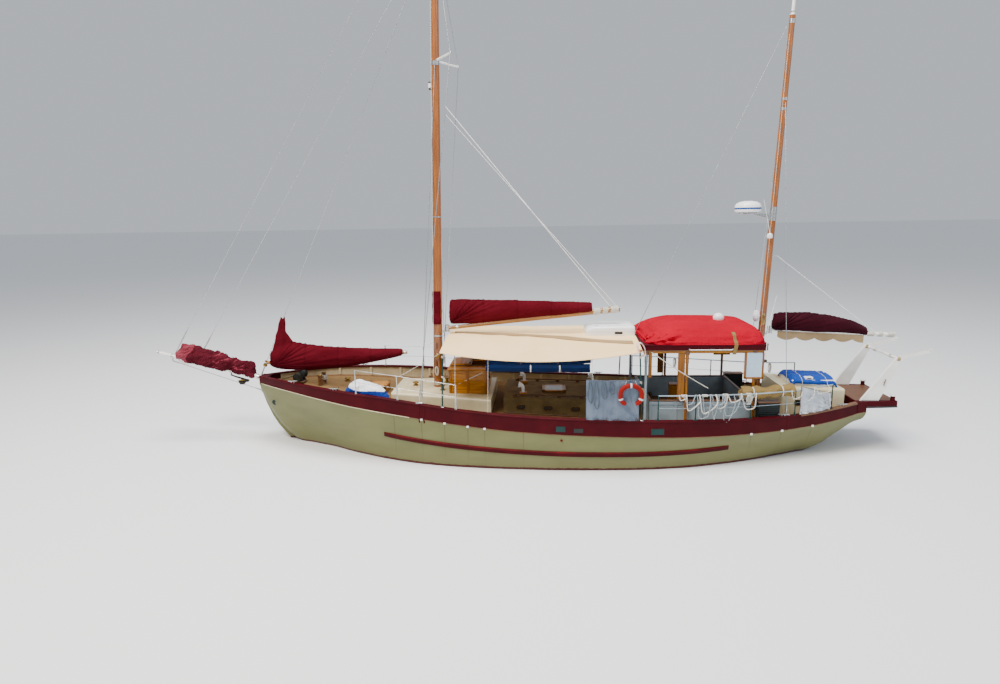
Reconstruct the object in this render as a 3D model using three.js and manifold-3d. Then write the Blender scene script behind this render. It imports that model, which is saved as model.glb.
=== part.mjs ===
// Two-masted sailing yacht (ketch) with a long keel, a bowsprit, deckhouses, an awning and davits.
// Millimetres. +X is forward, +Y is port, +Z is up. The origin is on the centreline at the
// waterline, amidships.
import * as THREE from "three";
import { mergeVertices } from "three/addons/utils/BufferGeometryUtils.js";
import Module from "manifold-3d";

const wasm = await Module();
wasm.setup();

// Driving dimensions

const GAP = 0.3; // between two pieces that touch

// Hull stations, bow to stern. sheer is the top of the hull body, turn is where the topside meets
// the bilge curve, garboard is where the bilge curve meets the keel, rail is the bulwark's top, and
// full says how round the bilge is.
const STATION_COLUMNS = ["x", "sheerZ", "sheerY", "turnZ", "turnY", "garboardZ", "keelY", "bottomZ",
  "railZ", "full"];
const STATIONS = [
  [7440, 1590, 95, 1550, 85, 1500, 40, 1455, 1790, 0.6],
  [7290, 1584, 210, 1280, 165, 1080, 45, 990, 1790, 0.6],
  [7080, 1578, 370, 930, 250, 620, 50, 500, 1790, 0.6],
  [6680, 1565, 640, 480, 390, 140, 55, 0, 1790, 0.62],
  [6100, 1530, 980, 160, 430, -340, 60, -500, 1785, 0.66],
  [5400, 1470, 1330, 0, 660, -640, 65, -850, 1765, 0.7],
  [4500, 1365, 1650, 0, 1190, -900, 75, -1150, 1710, 0.72],
  [3500, 1255, 1890, 0, 1690, -1080, 90, -1400, 1635, 0.74],
  [2600, 1165, 2080, 0, 2010, -1200, 100, -1600, 1545, 0.75],
  [1500, 1050, 2250, 0, 2220, -1290, 110, -1643, 1430, 0.76],
  [300, 955, 2370, 0, 2330, -1330, 110, -1690, 1345, 0.76],
  [-1000, 885, 2420, 0, 2375, -1330, 110, -1742, 1285, 0.76],
  [-2400, 835, 2405, 0, 2330, -1280, 105, -1797, 1240, 0.75],
  [-3600, 805, 2310, 0, 2180, -1180, 100, -1844, 1205, 0.74],
  [-4700, 790, 2120, 0, 1880, -1010, 90, -1887, 1175, 0.72],
  [-5600, 795, 1905, 0, 1530, -800, 80, -1922, 1155, 0.7],
  [-6300, 815, 1700, 0, 1200, -600, 70, -1950, 1150, 0.68],
  [-6900, 850, 1510, 60, 980, -340, 66, -400, 1175, 0.7],
  [-7250, 880, 1390, 170, 960, -60, 64, -120, 1205, 0.7],
  [-7800, 945, 1180, 500, 880, 250, 62, 200, 1255, 0.7],
  [-8450, 1030, 940, 830, 780, 590, 60, 540, 1300, 0.7],
];
const STATION_SPACING = 560; // longest step between two sections of the hull

const DECK_THICK = 40;
const BULWARK_THICK = 90;
const BOW_SOLID_X = 7180; // the bulwark is solid forward of this
const CAP = { thick: 35, inboard: 45, outboard: 20 };
const BULWARK_END_X = -8200;
const STRAKE = { fore: 3600, aft: -4800, depth: 120, proud: 40, foreZ: 700, midZ: 430, aftZ: 470 };
const PLATFORM = { bottomZ: 1130, topZ: 1300, stations: [[-8201, 1000], [-8450, 935], [-8900, 905],
  [-9220, 870]] }; // x, half-breadth
const STERN_POST = { x: -9130, halfY: 800, topZ: 1450, r: 55, capR: 75, capThick: 30 };
const BALLAST = { foreX: 2600, aftX: -6300, foreZ: -1700, aftZ: -2250 };

const MAIN_MAST = { footX: 2474, topX: 2152, topZ: 14900, r0: 125, r1: 85 };
const MIZZEN_MAST = { footX: -5990, topX: -6390, topZ: 10630, r0: 92, r1: 68 };
const MIZZEN_TOP = { topZ: 12050, r0: 42, r1: 22 };

const MAIN_BOOM = { offset: 250, jawZ: 3080, endX: -2400, endZ: 3560, r: 80 };
const MIZZEN_BOOM = { offset: 200, jawZ: 2990, endX: -9450, endZ: 2830, r: 52 };
const STAY_FOOT = [7400, 0, 1812]; // the staysail's stay on the stem head
const STAY_HEAD_Z = 12900;
const STAYSAIL_BOOM = { collar: 300, endX: 3300, endZ: 2420, r: 45 };

const SPRIT = { heel: [7190, 0, 1664], tip: [10330, 0, 2452], r0: 72, r1: 42 };

const RUDDER_PIVOT = [-6362, 0, -1950];
const RUDDER_RAKE = Math.atan2(600, 1550); // the sternpost leans aft by this
const PROP = { x: -6060, z: -1000, hubR: 52, hubLength: 190, tipR: 262, blades: 3 };
const APERTURE = { aftX: -6950, topZ: -688, bottomZ: -1312 };

const COCKPIT = { foreX: -3200, aftX: -5300, halfY: 900, soleZ: 460 };
const COAMING = { foreX: -3000, aftX: -5560, halfY: 1340, topZ: 1450, thick: 60 };
const DOGHOUSE = { foreX: -2760, aftX: -5820, halfY: 1500, roofZ: 2720, roofThick: 150, postY: 1432,
  postR: 42, postX: [-2890, -3880, -5480], corner: 160 };
const CANOPY = { foreX: -2860, topZ: 3270, sides: 28, squareness: 0.42 };
const STAY_LUG = { x: -2805, halfX: 30, halfY: 16, topZ: 2912 }; // the mizzen stay's foot on that roof
const HELM = { x: -4060, z: 1420, r: 400, rim: 18 };

const AWNING = { foreX: 2120, aftX: -2740, halfY: 1880, ridgeZ: 2935, flatY: 620, thick: 12,
  shoulderY: 1250, shoulder: 0.58 };
const AWNING_EDGE = { 1: { cornerZ: 2790, sagZ: 2560 }, [-1]: { cornerZ: 2850, sagZ: 2810 } }; // port, starboard

const FORE_ROOF = { foreX: 3600, aftX: 950, foreY: 830, aftY: 1240, foreZ: 1510, aftZ: 1430 };
const DECKHOUSE = { foreX: 2080, aftX: 1080, halfY: 720, topZ: 2120, thick: 40 };
const MID_ROOF = { foreX: 640, aftX: -2420, halfY: 1010, foreZ: 1420, aftZ: 1330 };
const AFT_ROOF = { foreX: -6420, aftX: -8000, foreY: 820, aftY: 680, foreZ: 1640, aftZ: 1560 };
const FORE_HATCH = { foreX: 4420, aftX: 3880, halfY: 280, rise: 110, lid: 45, overhang: 20 };
const MID_HATCH = { foreX: -350, aftX: -980, halfY: 330, lid: 50 };

const DAVIT = { y: 820, thick: 75, jointX: -9200, jointZ: 2360, tipX: -9950 };
const WINDLASS = { x: 6310, halfLong: 140, halfWide: 150, base: 120, axle: 190, drumR: 85, drumHalf: 260,
  endR: 120 };
const RADAR = { x: -5570, z: 6130, r: 325, under: 130, over: 60, seat: 40, halfSeat: 180, armHalf: 60 };
const ANCHOR = { head: [8260, 1790], crown: [7810, 1640], hangZ: 1930, shankR: 24, crownR: 45, hangerR: 14 };
const MIZZEN_SAIL = { foreX: -6480, aftX: -8680, foreZ: 2740, aftZ: 2640, fold: 22, folds: 20, halfY: 22 };

// Solids

function solidOf(geometry) {
  const bare = geometry.clone();
  bare.deleteAttribute("normal");
  bare.deleteAttribute("uv");
  const merged = mergeVertices(bare, 0.002);
  return new wasm.Manifold(new wasm.Mesh({
    numProp: 3,
    vertProperties: new Float32Array(merged.attributes.position.array),
    triVerts: new Uint32Array(merged.index.array),
  }));
}

function geometryOf(solid) {
  const mesh = solid.getMesh();
  const geometry = new THREE.BufferGeometry();
  geometry.setAttribute("position", new THREE.BufferAttribute(mesh.vertProperties, 3));
  geometry.setIndex(new THREE.BufferAttribute(mesh.triVerts, 1));
  return geometry;
}

const join = (...solids) => solids.reduce((sum, next) => sum.add(next));

function flatCap(ring) {
  const normal = new THREE.Vector3();
  ring.forEach((p, i) => {
    const q = ring[(i + 1) % ring.length];
    normal.x += (p[1] - q[1]) * (p[2] + q[2]);
    normal.y += (p[2] - q[2]) * (p[0] + q[0]);
    normal.z += (p[0] - q[0]) * (p[1] + q[1]);
  });
  const size = normal.toArray().map(Math.abs);
  const drop = size.indexOf(Math.max(...size));
  const [u, v] = [0, 1, 2].filter((axis) => axis !== drop);
  const flat = ring.map((p) => new THREE.Vector2(p[u], p[v]));
  const area = THREE.ShapeUtils.area(flat);
  return THREE.ShapeUtils.triangulateShape(flat, []).map(([a, b, c]) => {
    const cross = (flat[b].x - flat[a].x) * (flat[c].y - flat[a].y)
      - (flat[c].x - flat[a].x) * (flat[b].y - flat[a].y);
    return cross * area > 0 ? [a, b, c] : [a, c, b];
  });
}

// A skin over a row of rings with equal numbers of points, closed by a cap at each end
function loft(rings) {
  const n = rings[0].length;
  const faces = [];
  for (let s = 0; s < rings.length - 1; s++) {
    for (let i = 0; i < n; i++) {
      const a = s * n + i;
      const b = s * n + ((i + 1) % n);
      faces.push([a, b, a + n], [b, b + n, a + n]);
    }
  }
  const last = (rings.length - 1) * n;
  flatCap(rings[0]).forEach(([a, b, c]) => faces.push([a, c, b]));
  flatCap(rings[rings.length - 1]).forEach(([a, b, c]) => faces.push([last + a, last + b, last + c]));
  const points = rings.flat();
  const volume = faces.reduce((sum, [a, b, c]) => sum + new THREE.Vector3(...points[a])
    .dot(new THREE.Vector3(...points[b]).cross(new THREE.Vector3(...points[c]))), 0);
  const outward = volume > 0 ? faces : faces.map(([a, b, c]) => [a, c, b]);
  const geometry = new THREE.BufferGeometry();
  geometry.setAttribute("position", new THREE.Float32BufferAttribute(points.flat(), 3));
  geometry.setIndex(outward.flat());
  return solidOf(geometry);
}

function box(x0, x1, y0, y1, z0, z1) {
  const geometry = new THREE.BoxGeometry(Math.abs(x1 - x0), Math.abs(y1 - y0), Math.abs(z1 - z0));
  geometry.translate((x0 + x1) / 2, (y0 + y1) / 2, (z0 + z1) / 2);
  return solidOf(geometry);
}

function rod(from, to, r0, r1 = r0, sides = 12) {
  const a = new THREE.Vector3(...from);
  const b = new THREE.Vector3(...to);
  const geometry = new THREE.CylinderGeometry(r1, r0, a.distanceTo(b), sides);
  const along = b.clone().sub(a).normalize();
  geometry.applyQuaternion(new THREE.Quaternion().setFromUnitVectors(new THREE.Vector3(0, 1, 0), along));
  geometry.translate(...a.add(b).multiplyScalar(0.5).toArray());
  return solidOf(geometry);
}

function ball(centre, r, squash = 1, sides = 12) {
  const geometry = new THREE.SphereGeometry(r, sides, sides / 2);
  geometry.rotateX(Math.PI / 2);
  geometry.scale(1, 1, squash);
  geometry.translate(...centre);
  return solidOf(geometry);
}

// A plate cut to an outline in the XZ plane, from y0 to y1
function plate(outline, y0, y1) {
  return loft([y0, y1].map((y) => outline.map(([x, z]) => [x, y, z])));
}

// The hull form

const lerp = (a, b, t) => a + (b - a) * t;

// Slopes that keep each column of the table free of overshoot
function slopes(column) {
  return STATIONS.map((_, i) => {
    if (i === 0 || i === STATIONS.length - 1) return 0;
    const before = (STATIONS[i][column] - STATIONS[i - 1][column]) / (STATIONS[i][0] - STATIONS[i - 1][0]);
    const after = (STATIONS[i + 1][column] - STATIONS[i][column]) / (STATIONS[i + 1][0] - STATIONS[i][0]);
    return before * after > 0 ? (2 * before * after) / (before + after) : 0;
  });
}
const SLOPES = STATION_COLUMNS.map((_, column) => slopes(column));
const STRAIGHT = ["x", "bottomZ", "garboardZ"]; // columns that run straight between stations

function stationAt(x) {
  const i = Math.min(Math.max(STATIONS.findIndex((row) => row[0] <= x) - 1, 0), STATIONS.length - 2);
  const [fore, aft] = [STATIONS[i], STATIONS[i + 1]];
  const span = aft[0] - fore[0];
  const t = (x - fore[0]) / span;
  return Object.fromEntries(STATION_COLUMNS.map((name, c) => {
    if (STRAIGHT.includes(name)) return [name, lerp(fore[c], aft[c], t)];
    const curve = fore[c] * (2 * t ** 3 - 3 * t ** 2 + 1) + aft[c] * (3 * t ** 2 - 2 * t ** 3)
      + span * (SLOPES[c][i] * (t ** 3 - 2 * t ** 2 + t) + SLOPES[c][i + 1] * (t ** 3 - t ** 2));
    return [name, curve];
  }));
}

// The sections' places: every station of the table and equal steps between them
const SECTION_X = STATIONS.slice(1).reduce((list, row) => {
  const from = list[list.length - 1];
  const steps = Math.ceil((from - row[0]) / STATION_SPACING);
  for (let k = 1; k <= steps; k++) list.push(lerp(from, row[0], k / steps));
  return list;
}, [STATIONS[0][0]]);

// Places of the sections between two limits, the limits among them
function placesBetween(fore, aft) {
  return [fore, ...SECTION_X.filter((x) => x < fore - 1 && x > aft + 1), aft];
}

// The skin between two sections is flat, so heights between sections are read off straight lines
function onSections(name, x) {
  const i = Math.min(Math.max(SECTION_X.findIndex((place) => place <= x) - 1, 0), SECTION_X.length - 2);
  const t = (x - SECTION_X[i]) / (SECTION_X[i + 1] - SECTION_X[i]);
  return lerp(stationAt(SECTION_X[i])[name], stationAt(SECTION_X[i + 1])[name], t);
}
const deckTop = (x) => onSections("sheerZ", x) + GAP + DECK_THICK;
const railTop = (x) => onSections("railZ", x);

// Height of a level foot that reaches this far fore and aft on a sloping deck or rail
const footOn = (surface, x, reach) => Math.max(surface(x - reach), surface(x), surface(x + reach)) + GAP;

const mirrorRing = (half) => [...half, ...half.slice().reverse().map(([x, y, z]) => [x, -y, z])];

function hullRing(x, proud) {
  const s = stationAt(x);
  const half = [[x, s.sheerY + proud, s.sheerZ]];
  for (const t of [1 / 3, 2 / 3, 1]) {
    const bulge = 18 * Math.sin(Math.PI * t);
    half.push([x, lerp(s.sheerY, s.turnY, t) + bulge + proud, lerp(s.sheerZ, s.turnZ, t)]);
  }
  const bendY = lerp(s.keelY, s.turnY, s.full);
  const bendZ = lerp(s.turnZ, s.garboardZ, s.full * 0.92);
  for (const t of [0.25, 0.5, 0.75, 1]) {
    const y = (1 - t) ** 2 * s.turnY + 2 * t * (1 - t) * bendY + t ** 2 * s.keelY;
    const z = (1 - t) ** 2 * s.turnZ + 2 * t * (1 - t) * bendZ + t ** 2 * s.garboardZ;
    half.push([x, y + proud, z]);
  }
  half.push([x, s.keelY + proud, s.bottomZ]);
  return mirrorRing(half);
}

const hullForm = (proud = 0) => loft(SECTION_X.map((x) => hullRing(x, proud)));

// A solid between two heights inside the sheer line, its sides set in by `inset`
function sheerBand(fore, aft, inset, low, high) {
  return loft(placesBetween(fore, aft).map((x) => {
    const y = Math.max(onSections("sheerY", x) - inset, 8);
    return [[x, y, low(x)], [x, y, high(x)], [x, -y, high(x)], [x, -y, low(x)]];
  }));
}

// Half-breadth of the topside at a height
function skinY(x, z) {
  const ring = hullRing(x, 0);
  const i = Math.max(ring.findIndex((p) => p[2] < z), 1);
  return lerp(ring[i - 1][1], ring[i][1], (ring[i - 1][2] - z) / (ring[i - 1][2] - ring[i][2]));
}

// Rubbing strakes: a band on each side that stands proud of the topsides
function strakes() {
  const middle = (x) => {
    const t = (x - STRAKE.aft) / (STRAKE.fore - STRAKE.aft);
    return lerp(STRAKE.aftZ, STRAKE.foreZ, t) + 4 * t * (1 - t)
      * (STRAKE.midZ - (STRAKE.aftZ + STRAKE.foreZ) / 2);
  };
  return join(...[1, -1].map((side) => loft(placesBetween(STRAKE.fore, STRAKE.aft).map((x) => {
    const [low, high] = [middle(x) - STRAKE.depth / 2, middle(x) + STRAKE.depth / 2];
    const proud = x === STRAKE.fore || x === STRAKE.aft ? 4 : STRAKE.proud;
    return [[x, skinY(x, low) + proud, low], [x, skinY(x, high) + proud, high],
      [x, skinY(x, high) - 60, high], [x, skinY(x, low) - 60, low]].map(([px, y, z]) => [px, side * y, z]);
  }))));
}

// A solid in the rudder's own frame: local z runs up the stock from the heel pivot
function onStock(solid) {
  const turn = THREE.MathUtils.radToDeg(-RUDDER_RAKE);
  return solid.rotate([0, turn, 0]).translate(RUDDER_PIVOT);
}

// Masts and their lines

const STAY_R = 8;
const mastX = (mast, z) => lerp(mast.footX, mast.topX, (z - mast.footZ) / (mast.topZ - mast.footZ));
const roofZ = (roof, x) => lerp(roof.aftZ, roof.foreZ, (x - roof.aftX) / (roof.foreX - roof.aftX));
MAIN_MAST.footZ = footOn((x) => roofZ(FORE_ROOF, x), MAIN_MAST.footX, MAIN_MAST.r0) + 3;
MIZZEN_MAST.footZ = footOn(deckTop, MIZZEN_MAST.footX, MIZZEN_MAST.r0) + 4;

const sprit = (along) => SPRIT.heel.map((c, i) => lerp(c, SPRIT.tip[i], along));
const spritAt = (x) => sprit((x - SPRIT.heel[0]) / (SPRIT.tip[0] - SPRIT.heel[0]));
const spritSolid = (grow) => rod(spritAt(SPRIT.heel[0] - 3 * grow), spritAt(SPRIT.tip[0] + 3 * grow),
  SPRIT.r0 + grow, SPRIT.r1 + grow, 14);

// Direction of a boom's swing axis: it runs up along its mast
function mastAxis(mast) {
  return new THREE.Vector3(mast.topX - mast.footX, 0, mast.topZ - mast.footZ).normalize();
}

const STAY_HEAD = [mastX(MAIN_MAST, STAY_HEAD_Z), 0, STAY_HEAD_Z];
const STAY_AXIS = new THREE.Vector3(...STAY_HEAD).sub(new THREE.Vector3(...STAY_FOOT)).normalize();
const onStay = (along) => new THREE.Vector3(...STAY_FOOT).addScaledVector(STAY_AXIS, along).toArray();

// Hull group

function hull() {
  const well = box(COCKPIT.aftX, COCKPIT.foreX, -COCKPIT.halfY, COCKPIT.halfY, COCKPIT.soleZ, 1200);
  const aperture = box(APERTURE.aftX, PROP.x, -400, 400, APERTURE.bottomZ, APERTURE.topZ);
  const stockHole = onStock(rod([0, 0, 1380], [0, 0, 1800], 50, 50, 24));
  const heelRoom = onStock(rod([0, 0, -260], [0, 0, 90], 100, 100, 24));
  return hullForm().add(strakes()).subtract(well).subtract(aperture).subtract(stockHole)
    .subtract(heelRoom).subtract(spritSolid(GAP));
}

function ballastKeel() {
  const depth = (x) => lerp(BALLAST.aftZ, BALLAST.foreZ, (x - BALLAST.aftX) / (BALLAST.foreX - BALLAST.aftX));
  const rings = placesBetween(BALLAST.foreX, BALLAST.aftX).map((x) => {
    const [y, top, low] = [onSections("keelY", x), onSections("bottomZ", x) - GAP, depth(x)];
    return [[x, y, top], [x, y * 1.12, lerp(top, low, 0.5)], [x, y * 0.8, low],
      [x, -y * 0.8, low], [x, -y * 1.12, lerp(top, low, 0.5)], [x, -y, top]];
  });
  const heel = onStock(rod([0, 0, -230], [0, 0, -GAP], 96, 96, 24));
  return loft(rings).add(heel);
}

function deck() {
  const slab = sheerBand(7160, -8190, BULWARK_THICK + 2, (x) => onSections("sheerZ", x) + GAP, deckTop);
  const well = box(COCKPIT.aftX, COCKPIT.foreX, -COCKPIT.halfY, COCKPIT.halfY, 0, 2000);
  return slab.subtract(well).subtract(spritSolid(GAP));
}

function bulwark() {
  const low = (x) => onSections("sheerZ", x) + GAP;
  const high = (x) => railTop(x) - CAP.thick - GAP;
  const outer = sheerBand(SECTION_X[0], BULWARK_END_X, 0, low, high);
  const inner = sheerBand(BOW_SOLID_X + 90, BULWARK_END_X - 50, BULWARK_THICK, (x) => low(x) - 100,
    (x) => high(x) + 200);
  return outer.subtract(inner).subtract(spritSolid(GAP));
}

function capRail() {
  const low = (x) => railTop(x) - CAP.thick;
  const outer = sheerBand(SECTION_X[0], BULWARK_END_X, -CAP.outboard, low, railTop);
  const inner = sheerBand(BOW_SOLID_X, BULWARK_END_X - 50, BULWARK_THICK + CAP.inboard,
    (x) => low(x) - 50, (x) => railTop(x) + 50);
  return outer.subtract(inner).subtract(spritSolid(GAP)).subtract(rod(onStay(-400), onStay(400), 12));
}

function sternPlatform() {
  const ring = ([x, y], low) => mirrorRing([[x, y, low], [x, y, PLATFORM.topZ]]);
  const onHull = PLATFORM.stations.slice(0, 2).map((row) => ring(row, onSections("sheerZ", row[0]) + GAP));
  const overWater = PLATFORM.stations.slice(1).map((row) => ring(row, PLATFORM.bottomZ));
  const { x, halfY, topZ, r, capR, capThick } = STERN_POST;
  const posts = [halfY, -halfY].map((y) => rod([x, y, PLATFORM.topZ - 20], [x, y, topZ - capThick / 2], r, r, 14)
    .add(rod([x, y, topZ - capThick], [x, y, topZ], capR, capR, 14)));
  return join(loft(onHull), loft(overWater), ...posts);
}

// Bow gear

function bowsprit() {
  const ring = rod(spritAt(9860), spritAt(9940), 58, 58, 14);
  const bobstay = rod([7423, 0, 1360], [9900, 0, 2200], 9, 9, 6);
  const lug = rod([9900, 0, 2190], spritAt(9900), 20, 20, 6);
  return join(spritSolid(0), ring, bobstay, lug).subtract(hullForm(GAP));
}

function headsailBundle() {
  // x, height over the sprit's centre, drop below it, half-width
  const lumps = [[9780, 90, 25, 65], [9650, 290, 30, 150], [9450, 420, 32, 205], [9240, 400, 34, 190],
    [9040, 430, 34, 205], [8800, 410, 36, 190], [8560, 430, 38, 200], [8300, 420, 38, 175],
    [8050, 400, 40, 185], [7800, 400, 40, 165], [7600, 370, 40, 150]];
  const rings = lumps.map(([x, up, down, wide]) => {
    const z = spritAt(x)[2];
    const ring = [];
    for (let i = 0; i < 14; i++) {
      const turn = (2 * Math.PI * i) / 14;
      const lift = Math.sin(turn);
      ring.push([x, wide * Math.cos(turn), z + (lift > 0 ? up : down) * lift]);
    }
    return ring;
  });
  return loft(rings).subtract(spritSolid(GAP)).subtract(forestayRod(STAY_R + 4));
}

function anchor() {
  const { hangZ, shankR, crownR, hangerR } = ANCHOR;
  const [head, middle] = [ANCHOR.head, ANCHOR.crown].map(([x, z]) => [x, 0, z]);
  const shank = rod(head, middle, shankR, shankR, 8);
  const crown = ball(middle, crownR, 1, 8);
  const flukes = plate([[7790, 1650], [7960, 1690], [8110, 1645], [7900, 1570]], -16, 16);
  const wings = [1, -1].map((side) => loft([[[7800, 0, 1650], [8080, 0, 1610], [7900, 0, 1590]],
    [[7800, side * 150, 1610], [8000, side * 150, 1560], [7880, side * 150, 1540]]]));
  const hanger = rod(head, [head[0], 0, hangZ], hangerR, hangerR, 8).subtract(spritSolid(GAP));
  return join(shank, crown, flukes, ...wings, hanger.decompose()[0]);
}

function windlass() {
  const { x, halfLong, halfWide, base, axle, drumR, drumHalf, endR } = WINDLASS;
  const z = footOn(deckTop, x, halfLong);
  const bed = box(x - halfLong, x + halfLong, -halfWide, halfWide, z, z + base);
  const drum = rod([x, -drumHalf, z + axle], [x, drumHalf, z + axle], drumR, drumR, 16);
  const ends = [1, -1].map((side) => rod([x, side * (drumHalf - 25), z + axle],
    [x, side * (drumHalf + 25), z + axle], endR, endR, 16));
  const cheeks = box(x - halfLong / 2, x + halfLong / 2, -halfWide + 30, halfWide - 30, z + base - 20,
    z + axle + 40);
  return join(bed, drum, ...ends, cheeks);
}

// Deck structures

// A low cabin roof that stands on the deck, with its top crowned and its sides rounded off
function deckRoof({ foreX, aftX, foreY, aftY = foreY, foreZ, aftZ, halfY }, shoulder = 60) {
  const roof = { foreX, aftX, foreZ, aftZ };
  return loft(placesBetween(foreX, aftX).map((x) => {
    const t = (x - aftX) / (foreX - aftX);
    const y = halfY ?? lerp(aftY, foreY, t);
    const top = roofZ(roof, x);
    return mirrorRing([[x, y, deckTop(x) + GAP], [x, y, top - shoulder], [x, y - shoulder, top]]);
  }));
}

function deckhouse() {
  const { foreX, aftX, halfY, topZ, thick } = DECKHOUSE;
  const outline = (inset, bottom, top) => loft([foreX - inset, aftX + inset].map((x) => {
    const low = roofZ(FORE_ROOF, x) + bottom;
    return [[x, halfY - inset, low], [x, halfY - inset, top], [x, -halfY + inset, top],
      [x, -halfY + inset, low]];
  }));
  const shell = outline(0, GAP, topZ - thick).subtract(outline(thick, -50, topZ - thick + 1));
  const roof = box(aftX - 40, foreX + 40, -halfY - 50, halfY + 50, topZ - thick, topZ);
  const companion = box(aftX - 60, aftX + 470, -330, 330, topZ - 80, topZ + 20);
  const door = box(aftX - 60, aftX + thick + 20, -280, 280, topZ - 480, topZ + 20);
  return shell.add(roof).subtract(companion).subtract(door);
}

function deckhouseHatch() {
  const { foreX, topZ } = DECKHOUSE;
  const slab = box(foreX - 520, foreX + 10, -390, 390, topZ + GAP, topZ + 60);
  return slab.add(box(foreX - 540, foreX - 490, -300, 300, topZ + 40, topZ + 85));
}

function coaming() {
  const { foreX, aftX, halfY, topZ, thick } = COAMING;
  const outer = loft(placesBetween(foreX, aftX).map((x) => mirrorRing([[x, halfY, deckTop(x) + GAP],
    [x, halfY, topZ]])));
  const inner = box(aftX + thick, foreX - thick, -halfY + thick, halfY - thick, 700, 2000);
  const doorway = box(foreX - thick - 50, foreX + 50, -330, 330, 980, 2000);
  return outer.subtract(inner).subtract(doorway);
}

function doghouseRoof() {
  const { foreX, aftX, halfY, roofZ: low, roofThick, postY, postR, postX, corner } = DOGHOUSE;
  const rim = [[foreX, halfY - corner], [foreX - corner, halfY], [aftX + corner, halfY],
    [aftX, halfY - corner], [aftX, -halfY + corner], [aftX + corner, -halfY], [foreX - corner, -halfY],
    [foreX, -halfY + corner]];
  const slab = loft([low, low + roofThick].map((z) => rim.map(([x, y]) => [x, y, z])));
  const posts = postX.flatMap((x) => [1, -1].map((side) => rod([x, side * postY, footOn(deckTop, x, postR)],
    [x, side * postY, low + 20], postR, postR, 12)));
  const { x, halfX, halfY: lugY, topZ } = STAY_LUG;
  const lug = box(x - halfX, x + halfX, -lugY, lugY, low + roofThick - 10, topZ);
  return join(slab, lug, ...posts);
}

function canopy() {
  // height over the roof as a share of the crown, inset from the roof's edge
  const layers = [[0, 0], [0.16, 15], [0.42, 110], [0.68, 260], [0.86, 450], [0.96, 700], [1, 980]];
  const { foreX, topZ, sides, squareness } = CANOPY;
  const { aftX, halfY } = DOGHOUSE;
  const low = DOGHOUSE.roofZ + DOGHOUSE.roofThick + GAP;
  const [midX, longX] = [(foreX + aftX) / 2, (foreX - aftX) / 2];
  return loft(layers.map(([share, inset]) => {
    const ring = [];
    for (let i = 0; i < sides; i++) {
      const turn = (2 * Math.PI * (i + 0.5)) / sides;
      const cx = Math.sign(Math.cos(turn)) * Math.abs(Math.cos(turn)) ** squareness;
      const cy = Math.sign(Math.sin(turn)) * Math.abs(Math.sin(turn)) ** squareness;
      ring.push([midX + cx * (longX - inset * 0.75), cy * (halfY - inset), low + share * (topZ - low)]);
    }
    return ring;
  }));
}

// Height of the awning's edge on one side, which sags between its ends
function awningEdge(x, side) {
  const { cornerZ, sagZ } = AWNING_EDGE[side];
  const t = (x - AWNING.aftX) / (AWNING.foreX - AWNING.aftX);
  return cornerZ - 4 * t * (1 - t) * (cornerZ - sagZ);
}

// y and z across the awning from the port edge to the starboard one
function awningSection(x) {
  const half = (side) => [[side * AWNING.halfY, awningEdge(x, side)],
    [side * AWNING.shoulderY, lerp(awningEdge(x, side), AWNING.ridgeZ, AWNING.shoulder)],
    [side * AWNING.flatY, AWNING.ridgeZ]];
  return [...half(1), ...half(-1).reverse()];
}

function awning() {
  const rings = [];
  for (let k = 0; k <= 8; k++) {
    const x = lerp(AWNING.foreX, AWNING.aftX, k / 8);
    const top = awningSection(x);
    const under = top.slice().reverse().map(([y, z]) => [y, z - AWNING.thick]);
    rings.push([...top, ...under].map(([y, z]) => [x, y, z]));
  }
  return loft(rings);
}

// Two poles on the cap rail and a bar between them that carries one end of the awning
function awningFrame(x) {
  const r = 24;
  const inboard = 30;
  const drop = AWNING.thick + r + GAP;
  const footY = onSections("sheerY", x) - 60;
  const footZ = footOn(railTop, x, 40);
  const bar = awningSection(x).map(([y, z]) => [y, z - drop - (z < AWNING.ridgeZ ? 7 : 0)]);
  bar[0][0] -= inboard;
  bar[5][0] += inboard;
  bar[2][0] -= inboard * 2;
  bar[3][0] += inboard * 2;
  const poles = [bar[0], bar[5]].map(([y, z]) => rod([x, Math.sign(y) * footY, footZ + 12], [x, y, z], r, r, 8)
    .add(box(x - 40, x + 40, Math.sign(y) * footY - 40, Math.sign(y) * footY + 40, footZ, footZ + 20)));
  const pieces = bar.slice(1).map(([y, z], i) => rod([x, bar[i][0], bar[i][1]], [x, y, z], r, r, 8));
  const knees = bar.map(([y, z]) => ball([x, y, z], r, 1, 8));
  return join(...poles, ...pieces, ...knees);
}

function helmPedestal() {
  const post = box(HELM.x + 110, HELM.x + 330, -150, 150, COCKPIT.soleZ + GAP, HELM.z + 130);
  const boss = rod([HELM.x + 115, 0, HELM.z], [HELM.x + 45, 0, HELM.z], 60, 60, 20);
  return post.add(boss);
}

function helmWheel() {
  const rim = new THREE.TorusGeometry(HELM.r, HELM.rim, 6, 24);
  rim.rotateY(Math.PI / 2);
  rim.translate(HELM.x, 0, HELM.z);
  const hub = rod([HELM.x + 45 - GAP, 0, HELM.z], [HELM.x - 45, 0, HELM.z], 55, 55, 20);
  const spokes = [];
  for (let k = 0; k < 6; k++) {
    const turn = (Math.PI / 3) * k + Math.PI / 6;
    const reach = HELM.r + 90;
    spokes.push(rod([HELM.x, 0, HELM.z], [HELM.x, reach * Math.cos(turn), HELM.z + reach * Math.sin(turn)],
      14, 11, 6));
  }
  return join(solidOf(rim), hub, ...spokes);
}

// Underwater gear

function rudder() {
  const blade = plate([[-6, 75], [-330, 60], [-640, 140], [-800, 460], [-810, 900], [-700, 1420],
    [-464, 1790], [-250, 1690], [-6, 1500]], -32, 32);
  const stock = rod([0, 0, 0], [0, 0, 1790], 45, 45, 20);
  return onStock(blade.add(stock));
}

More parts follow.
